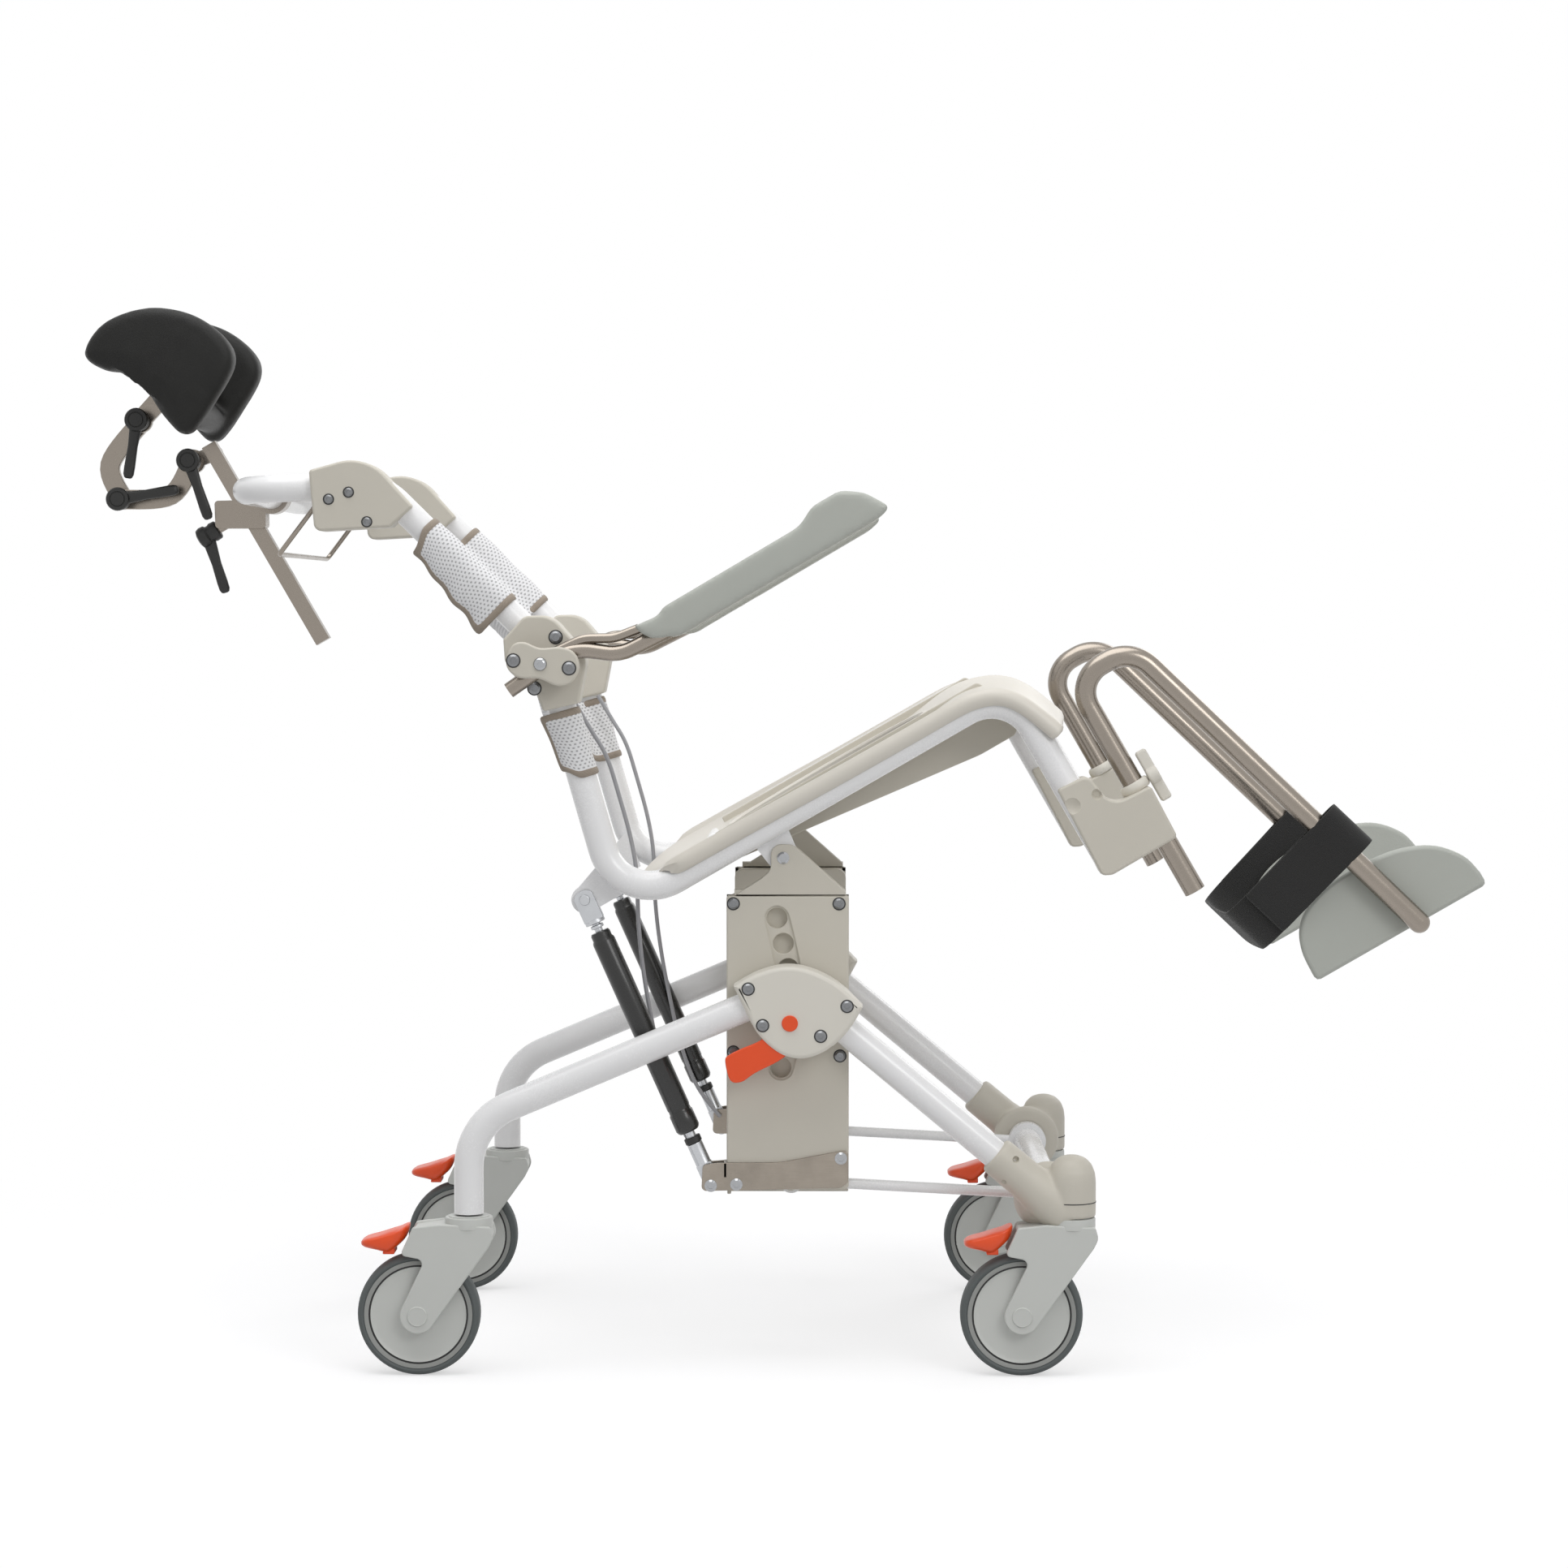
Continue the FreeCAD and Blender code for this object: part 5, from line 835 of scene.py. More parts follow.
class CHAIR_OT_towers(bpy.types.Operator):
    """Mould the lift towers and bend their brackets and straps"""
    bl_idname = "chair.towers"
    bl_label = "Lift towers"

    def execute(self, context):
        edge = context.scene.chair_sizes.edge
        panels, grooves, holes, walls, brackets, straps = (bmesh.new() for _ in range(6))
        for sign in SIDES.values():
            spot = on_chair(sign)
            plate(panels, rounded_outline(PANEL, 4), spot, *PANEL_LEVELS, edge=2.2)
            plate(grooves, groove_loop(), spot, *GROOVE_LEVELS, edge=0.01, steps=1)
            for x, z in LOCK_HOLES:
                turn(holes, LOCK_HOLE, spot(x, 0, z), SIDE * sign, steps=40)
            for corners in WALLS:
                plate(walls, box_loop(*corners), spot, *WALL_LEVELS, edge=0.3, steps=1)
            for levels in BRACKET_LEVELS:
                plate(brackets, rounded_outline(BRACKET), spot, *levels, edge=1.2)
            plate(brackets, box_loop(*BRACKET_FOOT), spot, *BRACKET_FOOT_LEVELS, edge=0.8, steps=2)
            for corners, steps, levels, rim in STRAPS:
                plate(straps, rounded_outline(corners, steps), spot, *levels, rim)
        fitted("tower_outer_covers", panels, "tower", "lift", "tower_panel", "tower_outer_panels",
               cuts=(grooves, holes))
        fitted("tower_side_walls", walls, "tower", "lift", "tower_panel")
        softened("tower_inner_covers", "tower_inner_panels", "tower", "lift", "tower_panel", edge * 0.4)
        fitted("tilt_brackets", brackets, "casting", "lift", "beige_casting", "tower_top_brackets")
        fitted("strap_plates", straps, "sheet", "lift", "strap_steel", "spring_straps")
        return {"FINISHED"}


# Castings on the seat
COVER = [(-217.8, 580.5, 4), (-159.9, 565.5, 53), (-144.9, 496.2, 3), (-175.9, 489.9, 4), (-244, 524.2, 8)]
ELBOW_BODY = [(-133.1, 334.5, 4), (-102.4, 344.3, 12), (-78.7, 331.1, 30), (-68.4, 276.4, 22),
              (-99.3, 240.6, 3), (-134.6, 251.4, 3), (-131.2, 272.8, 5), (-141.7, 286.9, 5),
              (-142.5, 315.2, 5)]
DOG_BONE = [(-137.6, 315.5), (-125.3, 323.9), (-114, 320.6), (-103.2, 307.5), (-84.9, 298), (-75.7, 285.8),
            (-78.7, 271), (-92.7, 261.9), (-107.4, 266.2), (-119.6, 281.4), (-136.1, 291.7), (-141.7, 304.7)]
LOBES = ((-132.6, 310), (-88, 275.5))
ARM_PIVOT = (-111.0, 293.5)
POST = [(0, 250), (5, 250), (5, 278), (0, 278)]
PIVOT_HEAD = [(0, 284), (6.8, 284.5), (6.8, 285.8), (5.8, 287.4), (3.4, 288.4), (2.2, 288.5), (2.2, 287.2),
              (0, 287.2)]
LEG_BLOCK = [(276, -77.3, 3), (310.1, -80, 10), (316, -119, 18), (360, -121.2, 4), (358, -180, 5),
             (281.5, -180.5, 12), (272, -175.6, 6)]
HOOK_POCKETS = ((280.8, -99.4, 8.0, 3.0), (308.5, -101.6, 5.5, 5.0))
COVER_LEVELS = (206.0, 250.0)
ELBOW_LEVELS = (206.0, 255.0)
BONE_LEVELS = (277.0, 285.0)
LEG_LEVELS = (209.0, 247.0)


def both_sides(outline, levels, edge):
    """One rounded plate on each side of the seat."""
    work = bmesh.new()
    for sign in SIDES.values():
        plate(work, outline, on_seat(sign), *levels, edge, 5)
    return work


class CHAIR_OT_seat_castings(bpy.types.Operator):
    """Mould the shoulder covers, the elbows with their pivot plates and the leg rest brackets"""
    bl_idname = "chair.seat_castings"
    bl_label = "Seat castings"

    def execute(self, context):
        edge = context.scene.chair_sizes.edge
        covers = both_sides(rounded_outline(COVER, 12), COVER_LEVELS, 3.0)
        fitted("shoulder_shells", covers, "casting", "seat", "beige_casting", "shoulder_covers")
        elbows = both_sides(rounded_outline(ELBOW_BODY, 8), ELBOW_LEVELS, 2.8)
        fitted("elbow_castings", elbows, "casting", "seat", "beige_casting", "elbow_clamps")
        bone, bolts, pockets = bmesh.new(), bmesh.new(), bmesh.new()
        for sign in SIDES.values():
            plate(bone, smooth_line(DOG_BONE, 5), on_seat(sign), *BONE_LEVELS, edge=2.4, steps=4)
            for lobe in LOBES:
                turn(bone, POST, seat_point(*lobe), SIDE * sign, steps=24)
            turn(bolts, PIVOT_HEAD, seat_point(*ARM_PIVOT), SIDE * sign, steps=32)
            for a, b, radius, depth in HOOK_POCKETS:
                floor = LEG_LEVELS[1] - depth
                turn(pockets, [(0, floor), (radius * 0.5, floor), (radius, 246), (radius * 1.4, 252), (0, 252)],
                     seat_point(a, b), SIDE * sign, steps=32)
        fitted("arm_pivot_plates", bone, "casting", "seat", "beige_casting")
        fitted("arm_pivot_bolts", bolts, "bright", "seat", "zinc", flat=False)
        hooks = both_sides(rounded_outline(LEG_BLOCK, 8), LEG_LEVELS, 2.8)
        fitted("leg_brackets", hooks, "casting", "seat", "beige_casting", "leg_rest_brackets", cuts=(pockets,))
        for side in SIDES:
            screw = "wing_screw_" + side
            softened("wing_knob_" + side, screw, "clamp", screw, "seat_plastic", edge * 0.8)
        return {"FINISHED"}


# Seat
SEAT_LINE = [(-112, 57.5), (-60, 57.2), (0, 56.2), (90, 54.4), (180, 53.6), (230, 53.4), (254, 50.4),
             (272, 43.5), (285, 33.5), (295, 20), (303, 3), (309.5, -14), (314, -27)]
BEAD = [(225, -4.5), (229, -4.9), (232, -4.2), (235, -2), (239, -0.2), (243.5, 0), (247.5, -1.8),
        (250.4, -5.4), (251.2, -10), (249.8, -14.6), (246.4, -17.6), (243.8, -18)]
UNDERSIDE = [(243.4, -12), (240, -6.6), (228, -5.2), (214, -6.2)]
SEAT_HOLE = (80.0, 120.0, 100.0)
PAN_WALL = [(-52, 54, 2), (262, 54, 6), (281, 24, 14), (274, -13, 10), (228, -13, 90), (-52, 20, 4)]


def eased(value, low, high):
    """Share of the way from low to high, eased at both ends."""
    share = min(1.0, max(0.0, (value - low) / (high - low)))
    return share * share * (3 - 2 * share)


REAR_A = SEAT_LINE[0][0]
SEAT_HOLLOW = 8.5
NOSE_CROWN = 9.0
NOSE_BULGE = 12.0
REAR_BULGE = 34.0
PAN_LEVELS = (150.0, 154.7)
HOLE_LIP = ((0.3, None), (0.3, 44.0), (-0.7, 47.4), (0.5, 49.4), (3.2, 49.8), (5.2, 48.6), (5.6, 45), (4.7, 42),
            (4.7, None))


def seat_rings():
    """Cross sections of the seat from its rear edge over the top and down the nose."""
    line = smooth_line(SEAT_LINE, 5, closed=False)
    rings = []
    for number, point in enumerate(line):
        ahead = heading(line, number)
        up = Vector((-ahead.y, ahead.x))
        hollow = SEAT_HOLLOW * eased(point.x, REAR_A, -40) * (1 - eased(point.x, 170, 250))
        crown = NOSE_CROWN * eased(point.x, 130, 262)
        bulge = NOSE_BULGE * eased(point.x, 230, 300)
        rear = -REAR_BULGE * (1 - eased(point.x, REAR_A, 10))
        end = min(number, len(line) - 1 - number)
        round_off = math.sqrt(1 - (1 - min(1.0, (end + 0.35) / 2.5)) ** 2)
        top = []
        for step in range(10):
            y = 222 * step / 10
            top.append((y, -4.5 + (crown - hollow) * (1 - (y / 225) ** 2)))
        section = top + BEAD + UNDERSIDE + [(y, height - 5.5) for y, height in reversed(top)]
        halves = []
        for sign in (1, -1):
            spots = []
            for y, height in section:
                across = max(0.0, 1 - (y / 250) ** 2)
                place = point + up * (-8 + (height + 8) * round_off)
                corner = 20 * max(0.0, (y - 205) / 46) ** 2 * (1 - eased(point.x, REAR_A, -60))
                spots.append(seat(place.x + bulge * across + rear * across ** 0.5 + corner, sign * y, place.y))
            halves.append(spots)
        rings.append(halves[0] + halves[1][-2:0:-1])
    return rings


class CHAIR_OT_seat(bpy.types.Operator):
    """Mould the seat with its side beads, its hollow and the commode opening"""
    bl_idname = "chair.seat"
    bl_label = "Seat"

    def execute(self, context):
        middle, half_a, half_y = SEAT_HOLE

        def oval(grow, level):
            ring = []
            for c, s in circle(64):
                a = middle + (half_a + grow) * c
                slope = 20 - 32 * (a - middle + half_a) / (2 * half_a)
                ring.append(seat(a, (half_y + grow) * s, slope if level is None else level))
            return ring

        skin, hole, skirt = bmesh.new(), bmesh.new(), bmesh.new()
        loft(skin, seat_rings())
        loft(hole, [oval(0, -60), oval(0, 90)])
        loft(skirt, [oval(*row) for row in HOLE_LIP], closed=True)
        fitted("seat_skin", skin, "seat", "seat", "seat_plastic", "seat_shell", cuts=(hole,), flat=False,
               crease=math.radians(60))
        fitted("opening_skirt", skirt, "seat", "seat", "seat_plastic", flat=False)
        pans = both_sides(rounded_outline(PAN_WALL, 8), PAN_LEVELS, 1.2)
        fitted("pan_walls", pans, "casting", "seat", "seat_plastic")
        return {"FINISHED"}


# Casters
DISC = [(4.1, 15.6), (12.6, 15.6), (13.4, 15.0), (13.8, 11.4), (15.0, 10.6), (44.5, 10.2), (47.0, 10.6),
        (48.9, 11.6), (49.0, 9.0)]
# Kinds of tyre faces: 0 tyre rubber, 1 grey rim ring, 2 painted shade in the gap beside the wheel disc
TYRE = [((49.1, 9.0), 2), ((49.2, 11.4), 2), ((50.6, 11.3), 2), ((50.8, 12.2), 1), ((52.6, 12.8), 1),
        ((55.2, 12.9), 1), ((55.6, 12.4), 0), ((56.4, 13.4), 0), ((58.0, 13.8), 0), ((60.2, 12.7), 0),
        ((61.8, 10.2), 0), ((62.4, 6.6), 0), ((62.5, 3.0), 0)]
FORK_RING = [(0, 87), (21.5, 87), (24.2, 88.4), (24.4, 90), (24.4, 98.2), (23.6, 99.2), (20.6, 99.4),
             (20.6, 100.4), (16.5, 100.6), (0, 100.6)]
AXLE_CAP = [(0, 22.4), (10.4, 22.4), (10.4, 23.7), (9.9, 24.3), (9.2, 24.5), (8.9, 24.2), (0, 24.3)]
TRAIL = 51.0
FORK_LEVELS = (16.0, 23.0)
FORK_CROWN = [(7.5, 57.3, 6), (-17.5, 62.3, 4), (-4.5, 91, 4), (24, 94, 8), (74, 91.5, 3), (77.4, 80, 12),
              (72.4, 70, 10)]
PEDAL = [(-58.6, 72.8), (-55.3, 78.3), (-34.4, 83.9), (-19, 88.3), (-9.5, 91.5), (-12.6, 79), (-21.5, 69.5),
         (-30.5, 63.8), (-43.2, 66.1), (-55.3, 69)]
PEDAL_RIB = [(-36, 64.5, 1), (-36, 62, 1), (-24, 62, 1), (-24, 68.5, 1)]


def fork_loop():
    """Side outline of a fork leg, in millimetres from the axle."""
    corners = FORK_CROWN + [(point.x, point.y, 0) for point in arc_points((0, 0), 18.0, -35, -206, 16)]
    return rounded_outline(corners, 5)


FORK_BRIDGE = [(-3, 72, 3), (-5.5, 89, 4), (24, 93, 8), (73, 90.5, 3), (76.2, 80, 10), (68, 68, 8), (36, 68, 4)]
PEDAL_LEVELS = (-20, -19.4, -17.5, -14, -8, 0, 8, 14, 17.5, 19.4, 20)
RIB_LEVELS = (-13, -5, 3, 11)


class CHAIR_OT_casters(bpy.types.Operator):
    """Mould the wheels, the tyres, the forks and the brake pedals"""
    bl_idname = "chair.casters"
    bl_label = "Casters"

    def execute(self, context):
        for place in CASTERS:
            hub = Vector(JOINTS["roll_" + place]["pos_m"])
            self.wheel(place, hub)
            self.fork(place, hub)
            self.pedal(place, hub)
        return {"FINISHED"}

    def wheel(self, place, hub):
        disc, tread = bmesh.new(), bmesh.new()
        profile = DISC + [(radius, -along) for radius, along in reversed(DISC)]
        turn(disc, profile + profile[:1], hub, SIDE, steps=72)
        loop = TYRE + [((radius, -along), kind) for (radius, along), kind in reversed(TYRE)] + TYRE[:1]
        for (first, kind), (last, after) in zip(loop, loop[1:]):
            turn(tread, [first, last], hub, SIDE, 72, max(kind, after) if kind * after else 0)
        weld(disc)
        weld(tread)
        body = "wheel_" + place
        fitted("wheel_disc_" + place, disc, "caster", body, "caster_grey", "caster_wheel_" + place, flat=False)
        # The tyre's third finish paints the shade in the gap beside the disc
        piece = put("tyre_" + place, to_mesh(tread, "tyre_" + place), "tyre", "rim", "shadow")
        settle(piece, body, "tyre", "caster_tyre_" + place)

    def fork(self, place, hub):
        work = bmesh.new()
        inner, outer = FORK_LEVELS
        plate(work, fork_loop(), around(hub), inner, outer, edge=1.6)
        plate(work, fork_loop(), around(hub), -outer, -inner, edge=1.6)
        plate(work, rounded_outline(FORK_BRIDGE, 5), around(hub), -17.0, 17.0, edge=0.2, steps=1)
        turn(work, FORK_RING, around(hub)(TRAIL, 0, 0), UP)
        for sign in (1, -1):
            turn(work, AXLE_CAP, hub, SIDE * sign, steps=40)
        body = "fork_" + place
        fitted(body, work, "caster", body, "caster_grey", "caster_" + body)

    def pedal(self, place, hub):
        work = bmesh.new()
        spot = around(hub)
        loop = smooth_line(PEDAL, 5)
        middle = sum(loop, Vector((0, 0))) / len(loop)
        rings = []
        for level in PEDAL_LEVELS:
            scale = (1 - (abs(level) / 20.4) ** 4) ** 0.5
            ring = []
            for point in loop:
                moved = middle + (point - middle) * (0.35 + 0.65 * scale)
                dish = 1.6 * (1 - (level / 20) ** 2) * eased(-moved.x, 26, 44) * eased(moved.y, 70, 78)
                ring.append(spot(moved.x, level, moved.y - dish))
            rings.append(ring)
        loft(work, rings)
        for low in RIB_LEVELS:
            plate(work, rounded_outline(PEDAL_RIB, 2), spot, low, low + 3, edge=0.5, steps=1)
        body = "pedal_" + place
        fitted(body, work, "orange", body, "orange", "brake_" + body, flat=False, crease=math.radians(55))


# Screws
# Each set: body, name, finish, scale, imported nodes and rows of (kind of place, level, places)
SCREWS = (
    ("base", "lock_screw", "blue_zinc", 1.0, ["base_screws"],
     ((chair_point, 263.6, ((-68.1, 396.9), (31.9, 379.4), (-53.5, 359.8), (5.2, 349))),)),
    ("lift", "panel_screw", "blue_zinc", 1.0, ["tower_screws"],
     ((chair_point, 220.6, ((-84, 480), (24, 480), (25, 324), (-84, 328))),)),
    ("lift", "pivot_screw", "bright", 1.15, [],
     ((chair_point, 223.6, ((26, 219), (-81, 192), (-107.3, 190.7))), (chair_point, 220.4, ((PIVOT_X, 526.9),)))),
    ("seat", "elbow_screw", "blue_zinc", 1.1, ["seat_screws"],
     ((seat_point, 254.6, ((-85.9, 309.9), (-130.5, 275.9))), (seat_point, 284.6, LOBES))),
    ("seat", "cover_nut", "blue_zinc", 0.8, [],
     ((seat_point, 249.6, ((-215, 545), (-194, 541), (-193, 506))),)),
)


def outward(rows):
    """Marks on both sides of the chair, looking outwards."""
    spots, aims = [], []
    for place, level, points in rows:
        for sign in SIDES.values():
            for point in points:
                spot = place(*point)
                spots.append(Vector((spot.x, sign * level * MM, spot.z)))
                aims.append(SIDE * sign)
    return spots, aims


class CHAIR_OT_screws(bpy.types.Operator):
    """Set button-head screws on the base, the lift and the seat"""
    bl_idname = "chair.screws"
    bl_label = "Screws"

    def execute(self, context):
        sizes = context.scene.chair_sizes
        tree = screw_tree()
        for body, name, finish_name, scale, nodes, rows in SCREWS:
            spots, aims = outward(rows)
            values = {"Radius": sizes.screw_radius * scale, "Height": sizes.screw_height,
                      "Socket width": sizes.socket_width * scale, "Socket depth": sizes.socket_depth,
                      "Material": FINISHES[finish_name]}
            settle(run_tree(tree, name + "s", spots, aims, values), body, "zinc", *nodes)
            if finish_name == "bright":
                continue
            # Dark disc a little wider than each head, in the shadow finish: painted shade round the screw heads
            rim = sizes.screw_radius * scale / MM
            ring = [(0, 0.5), (rim + 1.3, 0.5), (rim + 1.3, 0.75), (rim + 0.9, 0.9), (0, 0.9)]
            recess = bmesh.new()
            for spot, aim in zip(spots, aims):
                turn(recess, ring, spot, aim, steps=28)
            fitted(name + "_shade_rings", recess, "shadow", body, "zinc", flat=False)
        return {"FINISHED"}


# Back sling
ELBOW = (-103.0, 307.0)
POST_ANGLE = math.atan2(67, 270)
BACK_ANGLE = math.atan2(-62, 226.5)
ELBOW_SWEEP = 55.0
LOW_END = -138.0
LOW_TOP = -66.0
HIGH_START = 55.0
HIGH_TOP = 172.0
TAPE_WIDTH = 9.0
ROW_PITCH = 9.0
TUBE_Y = 228.0
SLING_SAG = 34.0


def back_row(t):
    """Point of the back tube at a length from the elbow, with its forward direction, in seat millimetres."""
    angle = POST_ANGLE if t < 0 else BACK_ANGLE
    lean = POST_ANGLE + (BACK_ANGLE - POST_ANGLE) * eased(t, -ELBOW_SWEEP, ELBOW_SWEEP)
    point = (ELBOW[0] + math.sin(angle) * t, ELBOW[1] + math.cos(angle) * t)
    return point, (math.cos(lean), -math.sin(lean))


def sling_section(tube_r, flap):
    """Half section of the sling from the middle outwards: distance forward of the tube and from the middle."""
    cloth_r = tube_r + 1.9
    inner = TUBE_Y - cloth_r
    points = []
    for step in range(13):
        y = (inner - 9) * step / 12
        points.append((-SLING_SAG + (SLING_SAG - 14) * (step / 12) ** 2.2, y))
    points += [(-8.0, inner - 3), (-3.0, inner)]
    for step in range(11):
        angle = math.pi * step / 10
        points.append((cloth_r * math.sin(angle), TUBE_Y - cloth_r * math.cos(angle)))
    outer = TUBE_Y + cloth_r
    points += [(-flap * 0.3, outer - 0.4), (-flap * 0.6, outer - 2.5), (-flap * 0.8, outer - 6), (-flap, outer - 12)]
    return points


def sling_spot(t, forward, y, side):
    """Row-frame point of the sling, with small slack waves along the cloth."""
    (a, b), (normal_a, normal_b) = back_row(t)
    wave = 0.7 * math.sin(t * 0.11 + y * 0.05) * math.sin(y * 0.031 + 1.0)
    forward += wave
    return seat(a + normal_a * forward, side * y, b + normal_b * forward)


def spaced(low, high, tape=TAPE_WIDTH):
    """Row levels with one narrow row of tape width at each end."""
    count = max(2, round((high - low - 2 * tape) / ROW_PITCH))
    inner = [low + tape + (high - low - 2 * tape) * i / count for i in range(count + 1)]
    return [low] + inner + [high]


def low_shape(t, forward, y):
    """Lower stretch: the hem arches up between the tubes and the flap gets narrower downwards."""
    share = (LOW_TOP - t) / (LOW_TOP - LOW_END)
    if y > TUBE_Y and forward < 0:
        return t + 11 * share * min(1.0, -forward / 17), forward * (1 - 0.3 * share)
    inside = eased(TUBE_Y - 16 - y, 0, 45)
    return t + 22 * share * inside, forward * (1 - 0.4 * share * inside)


def high_shape(t, forward, y):
    """Upper stretch: the cloth is taut at the top hem and the flap widens downwards to a wavy edge."""
    share = (t - HIGH_START) / (HIGH_TOP - HIGH_START)
    if y > TUBE_Y and forward < 0:
        reach = min(1.0, -forward / 25)
        return t - 9 * share * reach, forward * (1 - 0.35 * share) + 1.8 * math.sin(t * 0.17) * reach
    inside = eased(TUBE_Y - 16 - y, 0, 45)
    return t, forward * (1 - 0.6 * inside * eased(t, 100, HIGH_TOP))


def plain_shape(t, forward, y):
    """Middle stretch, as it is."""
    return t, forward


def add_cloth(cloth, tape, rows, section, side, ends=(False, False), edge=True, shape=plain_shape):
    """Mesh cells of one stretch of the sling. Ends and edge say which borders carry tape."""
    lengths = [0.0]
    for first, last in zip(section, section[1:]):
        lengths.append(lengths[-1] + math.dist(first, last))
    points = [[sling_spot(*shape(t, forward, y), y, side) for forward, y in section] for t in rows]
    maps = [[(side * length * MM, t * MM) for length in lengths] for t in rows]
    strip(cloth, points, maps)
    if ends[0]:
        strip(tape, points[:2], maps[:2])
    if ends[1]:
        strip(tape, points[-2:], maps[-2:])
    if edge:
        strip(tape, [row[-2:] for row in points], [row[-2:] for row in maps])


SEAM = 0.0002
SLEEVE_Y = 205.0


class CHAIR_OT_sling(bpy.types.Operator):
    """Sew the back sling: a sagging mesh panel with sleeves round the tubes and taped edges"""
    bl_idname = "chair.sling"
    bl_label = "Back sling"

    def execute(self, context):
        cloth, tape = bmesh.new(), bmesh.new()
        lower = spaced(LOW_END, LOW_TOP)
        upper = spaced(HIGH_START, HIGH_TOP)
        between = spaced(LOW_TOP, HIGH_START, tape=0.5)
        low_section = sling_section(tube_r=15.0, flap=24.0)
        high_section = sling_section(tube_r=14.0, flap=37.5)
        panel = [point for point in low_section if point[1] < 206.0 and point[0] < -10][:13]
        panel.append((-11.0, SLEEVE_Y))
        for side in SIDES.values():
            add_cloth(cloth, tape, lower, low_section, side, ends=(True, False), shape=low_shape)
            add_cloth(cloth, tape, upper, high_section, side, ends=(False, True), shape=high_shape)
            add_cloth(cloth, tape, between, panel, side)
            for rows, section, shape in ((lower[-2:], low_section, low_shape), (upper[:2], high_section, high_shape)):
                sleeve = [point for point in section if point[1] > SLEEVE_Y]
                add_cloth(tape, tape, rows, sleeve, side, edge=False, shape=shape)
        weld(cloth, SEAM)
        weld(tape, SEAM)
        crease = math.radians(80)
        sheet = put("sling_cloth", to_mesh(cloth, "sling_cloth", crease), "mesh")
        border = put("sling_tape", to_mesh(tape, "sling_tape", crease), "binding")
        settle(thickened(sheet, wall=0.0022), "seat", "sling_mesh", "back_sling")
        settle(thickened(border, wall=0.0036), "seat", "sling_mesh")
        return {"FINISHED"}


# Pads
def loose_parts(work):
    """Separate islands of faces, the largest first."""
    left = set(work.faces)
    islands = []
    while left:
        first = left.pop()
        island = {first}
        queue = [first]
        while queue:
            for edge in queue.pop().edges:
                for face in edge.link_faces:
                    if face in left:
                        left.discard(face)
                        island.add(face)
                        queue.append(face)
        islands.append(island)
    return sorted(islands, key=lambda island: -sum(face.calc_area() for face in island))


def part_of(node, index):
    """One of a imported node's separate solids, as editing geometry."""
    work = packed(node)
    islands = loose_parts(work)
    drop = [face for number, island in enumerate(islands) if number != index for face in island]
    bmesh.ops.delete(work, geom=drop, context="FACES")
    return work


def plump(piece, pressure, limit, frames=14):
    """Swell a padded piece by a short cloth simulation, with a cap on how far a point may move."""
    start = [vert.co.copy() for vert in piece.data.vertices]
    modifier = piece.modifiers.new("cloth", "CLOTH")
    settings = modifier.settings
    settings.quality = 5
    settings.mass = 0.3
    settings.tension_stiffness = settings.compression_stiffness = 25
    settings.bending_stiffness = 4
    settings.use_pressure = True
    settings.uniform_pressure_force = pressure
    settings.effector_weights.gravity = 0
    modifier.collision_settings.use_collision = False
    scene = bpy.context.scene
    for number in range(1, frames + 1):
        scene.frame_set(number)
    baked(piece)
    scene.frame_set(1)
    for vert, before in zip(piece.data.vertices, start):
        moved = vert.co - before
        if moved.length > limit:
            vert.co = before + moved.normalized() * limit


HEAD_WING = [(-374.9, 817.9), (-339.8, 835.5), (-289.3, 824.2), (-250.4, 787.7), (-239.4, 737), (-283.7, 705.4),
             (-323.5, 690.5), (-334.3, 716.8), (-337.2, 768.3), (-364.7, 793.2)]
HEAD_BACK = [(-366, 808), (-345, 828), (-322, 795), (-309, 757), (-305, 727), (-299, 706), (-321.5, 699),
             (-332, 724), (-337, 760), (-350, 785)]
WING_LEVELS = (74.0, 112.0)
BACK_LEVELS = (-90.0, 90.0)


class CHAIR_OT_head_pad(bpy.types.Operator):
    """Stuff the head pad and set its bracket behind it"""
    bl_idname = "chair.head_pad"
    bl_label = "Head pad"

    def execute(self, context):
        form = bmesh.new()
        for sign in SIDES.values():
            plate(form, smooth_line(HEAD_WING, 6), on_seat(sign), *WING_LEVELS, edge=11.0, steps=6)
        plate(form, smooth_line(HEAD_BACK, 6), on_seat(1), *BACK_LEVELS, edge=1.0)
        pad = rounded_solid("head_pad", form, "cover", voxel=0.0035, rounds=7)
        plump(pad, pressure=3.0, limit=0.004)
        smooth(pad.data, math.pi)
        settle(rounded(pad), "headrest_pad", "black_pad", "headrest_pad")
        bracket = soften(part_of("headrest_pad", 1), radius=0.0008)
        fitted("head_pad_bracket", bracket, "steel", "headrest_pad", "stainless")
        return {"FINISHED"}


class CHAIR_OT_arm_pads(bpy.types.Operator):
    """Mould the arm pads"""
    bl_idname = "chair.arm_pads"
    bl_label = "Arm pads"

    def execute(self, context):
        for side in SIDES:
            node = "armrest_pad_" + side
            pad = rounded_solid("arm_pad_" + side, part_of(node, 0), "pad", voxel=0.004, rounds=6)
            settle(pad, "armrest_" + side, "grey_plastic", node)
        return {"FINISHED"}


